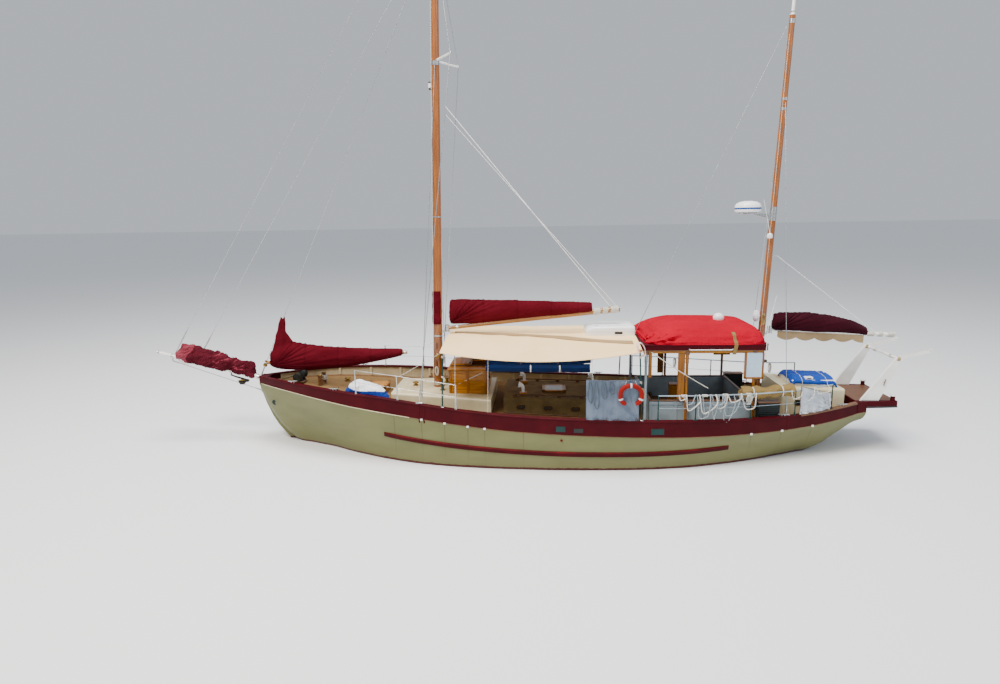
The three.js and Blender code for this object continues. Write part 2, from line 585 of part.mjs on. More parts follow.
function propeller() {
  const tail = PROP.x - GAP - PROP.hubLength;
  const hub = rod([PROP.x - GAP, 0, PROP.z], [tail, 0, PROP.z], PROP.hubR, PROP.hubR - 12, 20);
  const nose = ball([tail + 6, 0, PROP.z], PROP.hubR - 14, 1, 16);
  const blades = [];
  for (let k = 0; k < PROP.blades; k++) {
    // radius, chord, pitch angle in degrees
    const rows = [[30, 90, 62], [90, 150, 48], [160, 180, 36], [225, 150, 28], [PROP.tipR, 60, 24]];
    const rings = rows.map(([radius, chord, pitch]) => {
      const a = THREE.MathUtils.degToRad(pitch);
      const thick = lerp(9, 4, radius / PROP.tipR);
      return [[-chord / 2, 0], [0, thick], [chord / 2, 0], [0, -thick]].map(([c, n]) => [
        PROP.x - 115 + c * Math.sin(a) + n * Math.cos(a), c * Math.cos(a) - n * Math.sin(a), radius]);
    });
    const turned = loft(rings).rotate([(360 / PROP.blades) * k, 0, 0]);
    blades.push(turned.translate([0, 0, PROP.z]));
  }
  return join(hub, nose, ...blades);
}

// Spars

function mast({ footX, footZ, topX, topZ, r0, r1 }) {
  return rod([footX, 0, footZ], [topX, 0, topZ], r0, r1, 16);
}

// A flat seat on the mast for a boom's jaw, square to the swing axis
function boomSeat(spar, boom) {
  const axis = mastAxis(spar);
  const centre = new THREE.Vector3(mastX(spar, boom.jawZ) - boom.offset, 0, boom.jawZ);
  const low = centre.clone().addScaledVector(axis, -95).toArray();
  const high = centre.clone().addScaledVector(axis, -60 - GAP).toArray();
  const disc = rod(low, high, 68, 68, 16);
  const web = plate([[centre.x, boom.jawZ - 92], [centre.x, boom.jawZ - 66],
    [centre.x + boom.offset, boom.jawZ - 66], [centre.x + boom.offset, boom.jawZ - 180]], -30, 30);
  return disc.add(web);
}

function boomSpar(spar, boom) {
  const axis = mastAxis(spar);
  const centre = new THREE.Vector3(mastX(spar, boom.jawZ) - boom.offset, 0, boom.jawZ);
  const jaw = rod(centre.clone().addScaledVector(axis, -60).toArray(),
    centre.clone().addScaledVector(axis, 90).toArray(), 62, 62, 16);
  return jaw.add(rod(centre.toArray(), [boom.endX, 0, boom.endZ], boom.r * 0.6, boom.r, 14));
}

const boomZ = (spar, boom, x) => {
  const jawX = mastX(spar, boom.jawZ) - boom.offset;
  return lerp(boom.jawZ, boom.endZ, (x - jawX) / (boom.endX - jawX));
};

// A laced cover over a stowed sail. Rows: x, top z, bottom z, half-width
function coverLoft(rows, sides = 14) {
  return loft(rows.map(([x, top, low, wide]) => {
    const ring = [];
    for (let i = 0; i < sides; i++) {
      const turn = (2 * Math.PI * (i + 0.5)) / sides;
      const rise = Math.sin(turn);
      const narrow = 1 - 0.35 * Math.max(rise, 0) ** 2;
      ring.push([x, wide * narrow * Math.cos(turn), lerp(low, top, (1 + rise) / 2)]);
    }
    return ring;
  }));
}

function mainMast() {
  const spreaderHole = mainSpreaderBar(GAP);
  return mast(MAIN_MAST).add(boomSeat(MAIN_MAST, MAIN_BOOM)).subtract(spreaderHole);
}

const SPREADER = { z: 9850, halfSpan: 780, sweep: 480, r: 28 };
function mainSpreaderBar(grow) {
  const x = mastX(MAIN_MAST, SPREADER.z);
  return join(ball([x, 0, SPREADER.z], SPREADER.r + grow, 1, 8), ...[1, -1].map((side) => rod(
    [x, 0, SPREADER.z], [x - SPREADER.sweep, side * SPREADER.halfSpan, SPREADER.z], SPREADER.r + grow,
    SPREADER.r * 0.8 + grow, 8)));
}

function mainShrouds() {
  const root = mastX(MAIN_MAST, SPREADER.z);
  const footX = 2640;
  const footY = onSections("sheerY", footX) - 55;
  const footZ = footOn(railTop, footX, 90);
  const headZ = 12850;
  const sides = [1, -1].map((side) => {
    const foot = [footX, side * footY, footZ];
    const tip = [root - SPREADER.sweep, side * (SPREADER.halfSpan + 14), SPREADER.z];
    const head = [mastX(MAIN_MAST, headZ), side * 115, headZ];
    const plateFoot = box(footX - 90, footX + 90, side * footY - 28, side * footY + 28, footZ, footZ + 30);
    return join(plateFoot, rod([foot[0], foot[1], footZ + 20], tip, 9, 9, 6), rod(tip, head, 9, 9, 6),
      ball(tip, 24, 1, 6), rod([footX - 60, foot[1], footZ + 20], [root, side * 130, SPREADER.z - 90], 9, 9, 6));
  });
  return join(mainSpreaderBar(0), ...sides,
    ...[1, -1].map((side) => rod([root, side * 130, SPREADER.z - 110], [root - 40, side * 150, SPREADER.z + 5],
      16, 16, 6)));
}

function forestayRod(r) {
  return rod(spritAt(9200), [mastX(MAIN_MAST, 12950), 0, 12950], r, r, 6);
}
function outerStayRod(r) {
  return rod(spritAt(9860), [mastX(MAIN_MAST, 14350), 0, 14350], r, r, 6);
}
const onSprit = (stay) => offMast(MAIN_MAST, stay.subtract(spritSolid(GAP)));

// What ends on a mast is cut back to just off its face
function offMast(spar, solid) {
  return solid.subtract(mast({ ...spar, footZ: spar.footZ - 1, r0: spar.r0 + GAP, r1: spar.r1 + GAP }))
    .decompose().sort((a, b) => b.volume() - a.volume())[0];
}

function staysailStay() {
  const stay = rod(onStay(-30), STAY_HEAD, 8, 8, 8);
  const collar = rod(onStay(STAYSAIL_BOOM.collar - 40), onStay(STAYSAIL_BOOM.collar), 55, 55, 20);
  return offMast(MAIN_MAST, join(stay, collar).subtract(hullForm(GAP)).subtract(bulwarkRoom())
    .subtract(spritSolid(GAP)));
}
const bulwarkRoom = () => sheerBand(SECTION_X[0], 7200, -1, (x) => onSections("sheerZ", x) - 20,
  (x) => railTop(x) - CAP.thick);

function mizzenMast() {
  return mast(MIZZEN_MAST).add(boomSeat(MIZZEN_MAST, MIZZEN_BOOM)).subtract(mizzenBar(GAP));
}

function mizzenTopmast() {
  const x = mastX(MIZZEN_MAST, MIZZEN_TOP.topZ);
  const axis = mastAxis(MIZZEN_MAST);
  const from = new THREE.Vector3(MIZZEN_MAST.topX, 0, MIZZEN_MAST.topZ).addScaledVector(axis, GAP);
  return rod(from.toArray(), [x, 0, MIZZEN_TOP.topZ], MIZZEN_TOP.r0, MIZZEN_TOP.r1, 12);
}

const MIZZEN_RIG = { z: 8600, footX: -6250 };
const mizzenBar = (grow) => rod([mastX(MIZZEN_MAST, MIZZEN_RIG.z), -110, MIZZEN_RIG.z],
  [mastX(MIZZEN_MAST, MIZZEN_RIG.z), 110, MIZZEN_RIG.z], 16 + grow, 16 + grow, 10);

function mizzenShrouds() {
  const { z, footX } = MIZZEN_RIG;
  const footY = onSections("sheerY", footX) - 90;
  const footZ = footOn(railTop, footX, 80);
  const headX = mastX(MIZZEN_MAST, z);
  return join(mizzenBar(0), ...[1, -1].flatMap((side) => [
    box(footX - 80, footX + 80, side * footY - 26, side * footY + 26, footZ, footZ + 30),
    rod([footX, side * footY, footZ + 20], [headX, side * 104, z], 8, 8, 6),
  ]));
}

function mizzenStay() {
  const stay = rod([STAY_LUG.x, 0, STAY_LUG.topZ + GAP + 12], [mastX(MIZZEN_MAST, 10500), 0, 10500], 7, 7, 6);
  const eye = box(STAY_LUG.x - 14, STAY_LUG.x + 14, -9, 9, STAY_LUG.topZ + GAP, STAY_LUG.topZ + 34);
  return offMast(MIZZEN_MAST, stay.add(eye));
}

function mainSailCover() {
  const rows = [[2100, 3840, 3210, 70], [2040, 3850, 3200, 110], [1700, 3860, 3205, 135],
    [1200, 3850, 3220, 140], [500, 3830, 3280, 135], [-300, 3805, 3345, 125], [-1000, 3780, 3405, 115],
    [-1500, 3755, 3450, 105], [-1680, 3740, 3470, 90]];
  return coverLoft(rows).subtract(boomSpar(MAIN_MAST, { ...MAIN_BOOM, r: MAIN_BOOM.r + GAP }));
}

function toppingLift() {
  const topZ = 8750;
  const jawX = mastX(MAIN_MAST, topZ) - MAIN_BOOM.offset;
  const foot = [-2150, 0, boomZ(MAIN_MAST, MAIN_BOOM, -2150) + MAIN_BOOM.r];
  return rod([foot[0], 0, foot[2] + 10], [jawX, 0, topZ], STAY_R, STAY_R, 6)
    .add(box(-2190, -2110, -12, 12, foot[2] - 12, foot[2] + 40))
    .subtract(boomSpar(MAIN_MAST, { ...MAIN_BOOM, r: MAIN_BOOM.r + GAP }));
}

const mizzenCoverForm = () => {
  const rows = [[-6345, 3420, 2990, 60], [-6420, 3430, 2960, 100], [-6700, 3450, 2940, 130],
    [-7200, 3440, 2920, 135], [-7800, 3360, 2890, 130], [-8400, 3200, 2850, 115], [-8740, 3030, 2820, 90]];
  return coverLoft(rows);
};

function mizzenSailCover() {
  return mizzenCoverForm().subtract(boomSpar(MIZZEN_MAST, { ...MIZZEN_BOOM, r: MIZZEN_BOOM.r + GAP }));
}

function mizzenSail() {
  const { foreX, aftX, foreZ, aftZ, fold, folds, halfY } = MIZZEN_SAIL;
  const scallops = [];
  for (let k = 0; k <= folds; k++) {
    scallops.push([lerp(foreX, aftX, k / folds), lerp(foreZ, aftZ, k / folds) + fold * Math.sin(k * 1.25)]);
  }
  const [foreTop, aftTop] = [foreX, aftX].map((x) => [x, boomZ(MIZZEN_MAST, MIZZEN_BOOM, x)]);
  return plate([foreTop, ...scallops, aftTop], -halfY, halfY)
    .subtract(boomSpar(MIZZEN_MAST, { ...MIZZEN_BOOM, r: MIZZEN_BOOM.r + GAP }))
    .subtract(mizzenCoverForm()).subtract(mizzenCoverForm().translate([0, 0, -GAP]));
}

const staysailSpar = (grow) => rod(onStay(STAYSAIL_BOOM.collar + 60), [STAYSAIL_BOOM.endX - 3 * grow, 0,
  STAYSAIL_BOOM.endZ], STAYSAIL_BOOM.r + grow, STAYSAIL_BOOM.r + grow, 12);

function staysailBoom() {
  const jaw = rod(onStay(STAYSAIL_BOOM.collar + GAP), onStay(STAYSAIL_BOOM.collar + 115), 52, 52, 16);
  return jaw.add(staysailSpar(0)).subtract(rod(onStay(0), onStay(900), 16, 16, 12));
}

function staysailCover() {
  const bundle = coverLoft([[7120, 2420, 2060, 80], [6900, 2640, 1975, 150], [6500, 2760, 1945, 170],
    [6000, 2690, 1950, 165], [5200, 2610, 2000, 150], [4400, 2570, 2130, 130], [3700, 2560, 2270, 105],
    [3420, 2540, 2345, 75]]);
  const luff = (z) => onStay((z - STAY_FOOT[2]) / STAY_AXIS.z)[0] - 45;
  const peak = plate([[luff(2350), 2350], [luff(3470), 3470], [luff(3470) - 60, 3470], [luff(3000) - 190, 3000],
    [luff(2800) - 480, 2700], [6050, 2450]], -42, 42);
  const room = join(rod(onStay(0), onStay(2400), 34, 34, 12), rod(onStay(150), onStay(460), 75, 75, 16),
    staysailSpar(GAP));
  return bundle.add(peak).subtract(room);
}

// Rails, davits and radar

function guardRail(places, rise, side, topR) {
  const stanchion = 14;
  const at = (x) => [x, side * (onSections("sheerY", x) - 60), railTop(x)];
  const tops = places.map((x) => [at(x)[0], at(x)[1], at(x)[2] + rise]);
  const posts = places.map((x, i) => rod([x, at(x)[1], footOn(railTop, x, 38) + 4], tops[i], stanchion,
    stanchion, 6));
  const feet = places.map((x) => rod([x, at(x)[1], footOn(railTop, x, 38)],
    [x, at(x)[1], footOn(railTop, x, 38) + 12], 38, 38, 6));
  const pipe = tops.slice(1).map((top, i) => rod(tops[i], top, topR, topR, 6));
  return join(...posts, ...feet, ...pipe);
}

function davits() {
  const { y, thick, jointX, jointZ, tipX } = DAVIT;
  const foot = PLATFORM.topZ + GAP;
  const legs = [1, -1].map((side) => {
    const [y0, y1] = [side * y - thick / 2, side * y + thick / 2];
    const leg = plate([[-8320, foot], [-8760, foot], [jointX - 50, jointZ - 30], [jointX - 20, jointZ + 65],
      [jointX + 70, jointZ + 65], [jointX + 100, jointZ + 20]], y0, y1);
    const arm = plate([[jointX + 60, jointZ - 45], [tipX + 10, jointZ + 170], [tipX, jointZ + 260],
      [jointX + 60, jointZ + 65]], y0 + 8, y1 - 8);
    return leg.add(arm);
  });
  return join(...legs, rod([jointX, -y, jointZ], [jointX, y, jointZ], 36, 36, 14));
}

function radar() {
  const { x, z, r, under, over, seat, halfSeat, armHalf } = RADAR;
  const low = z - under;
  const mastFace = mastX(MIZZEN_MAST, low);
  const dome = rod([x, 0, low], [x, 0, z + over], r, r, 20).add(ball([x, 0, z + over], r - 5, 0.3, 12));
  const arm = plate([[x + 120, low - 20], [mastFace, low - seat], [mastFace, low - 190], [x - 80, low - seat]],
    -armHalf, armHalf);
  return offMast(MIZZEN_MAST, dome.add(arm).add(box(x - halfSeat, x + halfSeat, -halfSeat, halfSeat,
    low - seat, low + 2)));
}

function roofBox() {
  const low = AWNING.ridgeZ + GAP;
  return loft([[-1480, 60, 150], [-1560, 20, 210], [-2600, 0, 240], [-2735, 10, 230]].map(([x, inset, up]) => [
    [x, 520 - inset, low], [x, 520 - inset, low + up - 70], [x, 440 - inset, low + up],
    [x, -440 + inset, low + up], [x, -520 + inset, low + up - 70], [x, -520 + inset, low]]));
}

function weatherCloth(places, top) {
  return loft(places.map((x) => {
    const y = onSections("sheerY", x) - 20;
    const low = railTop(x) + GAP;
    return [[x, y + 9, low], [x, y + 9, top], [x, y - 9, top], [x, y - 9, low]];
  }));
}

function aftLocker() {
  return loft([[-6720, 30], [-6800, 0], [-7820, 0], [-7900, 30]].map(([x, inset]) => {
    const low = roofZ(AFT_ROOF, x) + GAP;
    return mirrorRing([[x, 520 - inset, low], [x, 540 - inset, low + 110], [x, 420 - inset, low + 270 - inset]]);
  }));
}

function hatchCoaming({ foreX, aftX, halfY, rise }) {
  const low = deckTop(foreX);
  const outer = loft(placesBetween(foreX, aftX).map((x) => mirrorRing([[x, halfY, deckTop(x) + GAP],
    [x, halfY, low + rise]])));
  return outer.subtract(box(aftX + 40, foreX - 40, -halfY + 40, halfY - 40, low - 300, low + rise + 50));
}

// The yacht

const yacht = new THREE.Group();

const FINISH = { // colour, roughness, metalness
  cream: [0xc9bd98, 0.45, 0], maroon: [0x6b1226, 0.5, 0], white: [0xe8e8e4, 0.35, 0],
  teak: [0x8a6238, 0.7, 0], varnish: [0xb06a1c, 0.25, 0], canvas: [0x5d1022, 0.9, 0],
  red: [0xd92f3a, 0.85, 0], awning: [0xf0dcc0, 0.9, 0], steel: [0xb9bdc0, 0.3, 1],
  iron: [0x2c2a28, 0.8, 0.3], bronze: [0x9a7436, 0.4, 1], sail: [0xb8a488, 0.9, 0],
  blue: [0x2048a8, 0.85, 0], grey: [0x8d9aa8, 0.6, 0], beige: [0xb5a288, 0.7, 0],
};

function add(name, solid, finish) {
  const [color, roughness, metalness] = FINISH[finish];
  const mesh = new THREE.Mesh(geometryOf(solid), new THREE.MeshStandardMaterial({ color, roughness, metalness }));
  mesh.name = name;
  yacht.add(mesh);
}

add("hull", hull(), "cream");
add("ballast_keel", ballastKeel(), "iron");
add("deck", deck(), "teak");
add("bulwark", bulwark(), "maroon");
add("cap_rail", capRail(), "teak");
add("stern_platform", sternPlatform(), "maroon");
add("bowsprit", bowsprit(), "white");
add("furled_headsail", headsailBundle(), "canvas");
add("anchor", anchor(), "iron");
add("windlass", windlass(), "iron");

add("fore_hatch", hatchCoaming(FORE_HATCH), "varnish");
{
  const { foreX, aftX, halfY, rise, lid, overhang } = FORE_HATCH;
  const low = deckTop(foreX) + rise + GAP;
  add("fore_hatch_lid", box(aftX - overhang, foreX + overhang, -halfY - overhang, halfY + overhang, low,
    low + lid), "varnish");
}
add("forward_coachroof", deckRoof(FORE_ROOF), "cream");
add("deckhouse", deckhouse(), "varnish");
add("deckhouse_hatch", deckhouseHatch(), "varnish");
add("mid_coachroof", deckRoof(MID_ROOF), "beige");
{
  const { foreX, aftX, halfY, lid } = MID_HATCH;
  const low = roofZ(MID_ROOF, foreX) + GAP;
  add("mid_hatch_lid", box(aftX, foreX, -halfY, halfY, low, low + lid), "varnish");
}
add("aft_coachroof", deckRoof(AFT_ROOF), "cream");
add("aft_locker", aftLocker(), "blue");
add("doghouse_coaming", coaming(), "grey");
add("doghouse_roof", doghouseRoof(), "varnish");
add("canopy_cover", canopy(), "red");
add("roof_box", roofBox(), "white");
add("awning", awning(), "awning");
add("awning_frame_forward", awningFrame(AWNING.foreX - 60), "steel");
add("awning_frame_aft", awningFrame(AWNING.aftX + 60), "steel");
add("helm_pedestal", helmPedestal(), "varnish");
add("helm_wheel", helmWheel(), "varnish");
add("rudder", rudder(), "iron");
add("propeller", propeller(), "bronze");

add("main_mast", mainMast(), "varnish");
add("main_shrouds", mainShrouds(), "steel");
add("forestay", onSprit(forestayRod(STAY_R)), "steel");
add("outer_stay", onSprit(outerStayRod(STAY_R)), "steel");
add("staysail_stay", staysailStay(), "steel");
add("mizzen_mast", mizzenMast(), "varnish");
add("mizzen_topmast", mizzenTopmast(), "white");
add("mizzen_shrouds", mizzenShrouds(), "steel");
add("mizzen_stay", mizzenStay(), "steel");
add("main_boom", boomSpar(MAIN_MAST, MAIN_BOOM), "varnish");
add("main_sail_cover", mainSailCover(), "canvas");
add("topping_lift", toppingLift(), "steel");
add("mizzen_boom", boomSpar(MIZZEN_MAST, MIZZEN_BOOM), "white");
add("mizzen_sail_cover", mizzenSailCover(), "canvas");
add("mizzen_sail", mizzenSail(), "sail");
add("staysail_boom", staysailBoom(), "varnish");
add("staysail_cover", staysailCover(), "canvas");

for (const [side, name] of [[1, "port"], [-1, "starboard"]]) {
  add(`guard_rail_forward_${name}`, guardRail([4300, 3200, 1720], 600, side, 7), "steel");
  add(`guard_rail_aft_${name}`, guardRail([-3060, -3950, -5300, -6450, -7450], 600, side, 16), "steel");
}
add("weather_cloth_mid", weatherCloth([-1380, -2000, -2590], 2230), "grey");
add("weather_cloth_aft", weatherCloth([-6560, -7000, -7400], 1880), "white");
add("davits", davits(), "white");
add("radar", radar(), "white");

export default yacht;
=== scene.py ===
"""A two-masted sailing yacht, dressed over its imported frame.

Metres. +X is forward, +Y is port and +Z is up; Z = 0 is the water.
"""
import logging
import math
import random
from contextlib import contextmanager
from dataclasses import dataclass
from enum import Enum
from typing import Callable, Iterator, Sequence

import bmesh
import bpy
from mathutils import Matrix, Quaternion, Vector, noise


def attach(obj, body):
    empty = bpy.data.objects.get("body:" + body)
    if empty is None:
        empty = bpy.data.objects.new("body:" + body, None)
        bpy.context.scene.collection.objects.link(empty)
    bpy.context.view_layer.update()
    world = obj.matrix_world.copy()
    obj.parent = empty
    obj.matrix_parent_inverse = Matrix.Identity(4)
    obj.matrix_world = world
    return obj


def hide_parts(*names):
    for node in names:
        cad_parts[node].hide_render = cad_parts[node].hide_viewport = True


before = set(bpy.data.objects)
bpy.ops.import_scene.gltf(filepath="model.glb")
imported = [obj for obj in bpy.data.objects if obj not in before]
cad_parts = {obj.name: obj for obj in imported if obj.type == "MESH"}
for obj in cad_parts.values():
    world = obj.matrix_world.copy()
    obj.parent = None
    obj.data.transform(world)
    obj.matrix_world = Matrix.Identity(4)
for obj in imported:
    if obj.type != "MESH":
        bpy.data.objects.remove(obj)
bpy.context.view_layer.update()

LOG = logging.getLogger("yacht")
Point = Sequence[float]
Ring = list[Point]
MM = 0.001


class Body(str, Enum):
    """The moving bodies of the frame."""

    YACHT = "yacht"
    MAIN_BOOM = "main_boom"
    MIZZEN_BOOM = "mizzen_boom"
    STAYSAIL_BOOM = "staysail_boom"
    RUDDER = "rudder"
    HELM = "helm"
    PROPELLER = "propeller"
    FORE_LID = "fore_hatch_lid"
    MID_LID = "mid_hatch_lid"
    DECKHOUSE_HATCH = "deckhouse_hatch"


# Finishes


def linear(colour: str) -> tuple[float, float, float, float]:
    """Turns an sRGB hex colour such as "d8cfa6" into linear light.

    Args:
        colour: six hex digits.

    Returns:
        Red, green, blue and an alpha of 1.
    """
    parts = [int(colour[i:i + 2], 16) / 255 for i in (0, 2, 4)]
    return (*[c / 12.92 if c <= 0.04045 else ((c + 0.055) / 1.055) ** 2.4 for c in parts], 1.0)


def add_node(tree: bpy.types.NodeTree, kind: str, values: dict | None = None, **links: object) -> bpy.types.Node:
    """Adds one shader node with its settings and links.

    Args:
        tree: the material's node tree.
        kind: the node's type without its "ShaderNode" prefix.
        values: node attributes, or input names or numbers, with what they are set to.
        links: input names, with spaces as "_", or "i" and an input number, with the socket to link there.

    Returns:
        The new node.
    """
    node = tree.nodes.new("ShaderNode" + kind)
    for key, value in (values or {}).items():
        if isinstance(key, str) and hasattr(node, key):
            setattr(node, key, value)
        else:
            node.inputs[key].default_value = value
    for key, socket in links.items():
        place = int(key[1:]) if key[0] == "i" and key[1:].isdigit() else key.replace("_", " ")
        tree.links.new(socket, node.inputs[place])
    return node


@dataclass(frozen=True)
class Finish:
    """What a surface is made of, and the look that its making gives it."""

    name: str
    colour: str
    # second colour, mixed in patches: wear, and on the red canopy painted shade of its creases
    wear_and_painted_light: str
    roughness: float
    ior: float = 1.5
    metallic: float = 0.0

    def shader(self, tree: bpy.types.NodeTree, colour: object, height: object | None, depth: float,
               **sockets: float) -> None:
        """Adds the surface shader and its output.

        Args:
            tree: the material's node tree.
            colour: the socket that gives the colour.
            height: the socket that gives the relief, or None.
            depth: how tall the relief is, in metres.
            sockets: further shader inputs, with spaces as "_", and their values.
        """
        values = {key.replace("_", " "): value for key, value in sockets.items()}
        bsdf = add_node(tree, "BsdfPrincipled", {"IOR": self.ior, "Metallic": self.metallic,
                                                 "Roughness": self.roughness, **values}, Base_Color=colour)
        if height is not None:
            bump = add_node(tree, "Bump", {"Strength": 1.0, "Distance": depth}, Height=height)
            tree.links.new(bump.outputs[0], bsdf.inputs["Normal"])
        add_node(tree, "OutputMaterial", Surface=bsdf.outputs[0])

    def blend(self, tree: bpy.types.NodeTree, share: object, first: object, second: object) -> object:
        """Mixes two colours.

        Args:
            tree: the material's node tree.
            share: the socket that says how much of the second colour shows.
            first: a hex colour or a socket.
            second: a hex colour or a socket.

        Returns:
            The mixed colour's socket.
        """
        mixed = add_node(tree, "Mix", {"data_type": "RGBA"}, i0=share)
        for place, colour in ((6, first), (7, second)):
            if isinstance(colour, str):
                mixed.inputs[place].default_value = linear(colour)
            else:
                tree.links.new(colour, mixed.inputs[place])
        return mixed.outputs[2]

    def mottle(self, tree: bpy.types.NodeTree, size_mm: float, stretch: Point = (1, 1, 1), low: float = 0.35,
               high: float = 0.75, detail: float = 4.0) -> object:
        """Adds soft irregular patches.

        Args:
            tree: the material's node tree.
            size_mm: a patch's real size.
            stretch: how many times finer the patches are along each axis.
            low: the noise value where the patches begin.
            high: the noise value where they are full.
            detail: the noise's detail.

        Returns:
            A socket from 0 to 1.
        """
        place = add_node(tree, "TexCoord")
        scaled = add_node(tree, "Mapping", {"Scale": stretch}, Vector=place.outputs["Object"])
        cloud = add_node(tree, "TexNoise", {"Scale": 1 / (size_mm * MM), "Detail": detail},
                         Vector=scaled.outputs[0])
        return add_node(tree, "MapRange", {1: low, 2: high}, i0=cloud.outputs[0]).outputs[0]

    def stripes(self, tree: bpy.types.NodeTree, spacing_mm: float, axis: str, wander: float = 0.0) -> object:
        """Adds even bands across an axis.

        Args:
            tree: the material's node tree.
            spacing_mm: the real distance between two bands.
            axis: "X", "Y" or "Z".
            wander: how far the bands stray.

        Returns:
            A socket from 0 to 1.
        """
        place = add_node(tree, "TexCoord")
        # one period of the wave texture is a twentieth of 2 pi units at scale 1
        return add_node(tree, "TexWave", {"bands_direction": axis, "Scale": math.pi / 10 / (spacing_mm * MM),
                                          "Distortion": wander, "Detail Scale": 1.2},
                        Vector=place.outputs["Object"]).outputs[1]

    def paint_tree(self, tree: bpy.types.NodeTree) -> None:
        """Fills the material's node tree: soft patches of the worn colour."""
        patches = self.mottle(tree, 300)
        self.shader(tree, self.blend(tree, patches, self.colour, self.wear_and_painted_light), patches, 0.0005)

    def material(self) -> bpy.types.Material:
        """Makes the material once and then hands out the same one."""
        made = bpy.data.materials.get(self.name)
        if made is None:
            made = bpy.data.materials.new(self.name)
            made.use_nodes = True
            made.node_tree.nodes.clear()
            self.paint_tree(made.node_tree)
        return made


@dataclass(frozen=True)
class BrushedPaint(Finish):
    """Marine enamel laid on with a brush over planks or plywood."""

    coat: float = 0.15

    def paint_tree(self, tree: bpy.types.NodeTree) -> None:
        """Fills the node tree: faint brush lines and chalky patches."""
        patches = self.mottle(tree, 450, low=0.4, high=0.8)
        brush = self.mottle(tree, 40, (0.08, 0.08, 1.0), 0.3, 0.7)
        self.shader(tree, self.blend(tree, patches, self.colour, self.wear_and_painted_light), brush, 0.0008,
                    Coat_Weight=self.coat, Coat_Roughness=0.2)


@dataclass(frozen=True)
class TopsidePaint(Finish):
    """Cream enamel above the water and red antifouling below, with dirt run down from the scuppers."""

    plank_mm: float = 165.0
    bottom: str = "4a1a17"
    weed: str = "6f6c40"
    dirt: str = "4f4a30"
    streaks: tuple[float, ...] = ()

    def paint_tree(self, tree: bpy.types.NodeTree) -> None:
        """Fills the node tree: planks, run marks, a weedy waterline and the bottom paint."""
        place = add_node(tree, "SeparateXYZ", Vector=add_node(tree, "TexCoord").outputs["Object"])
        tone = self.blend(tree, self.mottle(tree, 900, (1, 1, 2.4), 0.38, 0.8), self.colour, self.wear_and_painted_light)
        fade = add_node(tree, "MapRange", {1: 0.1, 2: 0.9, 3: 0.1, 4: 0.65}, i0=place.outputs[2]).outputs[0]
        for x in self.streaks:
            away = add_node(tree, "Math", {"operation": "COMPARE", 1: x, 2: 0.011}, i0=place.outputs[0])
            mark = add_node(tree, "Math", {"operation": "MULTIPLY"}, i0=away.outputs[0], i1=fade)
            tone = self.blend(tree, mark.outputs[0], tone, self.dirt)
        grime = add_node(tree, "MapRange", {1: 0.55, 2: 0.02, 3: 0.0, 4: 0.5}, i0=place.outputs[2]).outputs[0]
        tone = self.blend(tree, grime, tone, self.weed)
        edge = self.mottle(tree, 120, low=0.3, high=0.7)
        height = add_node(tree, "Math", {"operation": "MULTIPLY_ADD", 1: 0.02}, i0=edge, i2=place.outputs[2])
        under = add_node(tree, "MapRange", {1: 0.075, 2: 0.065}, i0=height.outputs[0]).outputs[0]
        tone = self.blend(tree, under, tone, self.bottom)
        seams = add_node(tree, "MapRange", {1: 0.0, 2: 0.05}, i0=self.stripes(tree, self.plank_mm, "Z", 0.25))
        self.shader(tree, tone, seams.outputs[0], 0.0010, Coat_Weight=0.15, Coat_Roughness=0.2)


@dataclass(frozen=True)
class Varnish(Finish):
    """Softwood or teak under clear varnish or oil, its grain along one axis."""

    grain: Point = (1.0, 14.0, 14.0)
    coat: float = 0.6

    def paint_tree(self, tree: bpy.types.NodeTree) -> None:
        """Fills the node tree: long grain, darker growth lines and a clear coat."""
        grain = self.mottle(tree, 420, self.grain, 0.3, 0.7, 6.0)
        broad = self.mottle(tree, 900, (1, 1, 1), 0.35, 1.2, 2.0)
        tone = self.blend(tree, broad, self.blend(tree, grain, self.colour, self.wear_and_painted_light), self.wear_and_painted_light)
        self.shader(tree, tone, grain, 0.0006, Coat_Weight=self.coat, Coat_Roughness=0.08)


@dataclass(frozen=True)
class BareTeak(Finish):
    """Scrubbed teak planks with black caulked seams."""

    plank_mm: float = 70.0

    def paint_tree(self, tree: bpy.types.NodeTree) -> None:
        """Fills the node tree: silvered grain along the planks and dark seams between them."""
        grain = self.mottle(tree, 260, (1, 16, 16), 0.3, 0.75, 6.0)
        tone = self.blend(tree, grain, self.colour, self.wear_and_painted_light)
        line = add_node(tree, "MapRange", {1: 0.05, 2: 0.01}, i0=self.stripes(tree, self.plank_mm, "Y"))
        self.shader(tree, self.blend(tree, line.outputs[0], tone, "241f1a"), grain, 0.001)


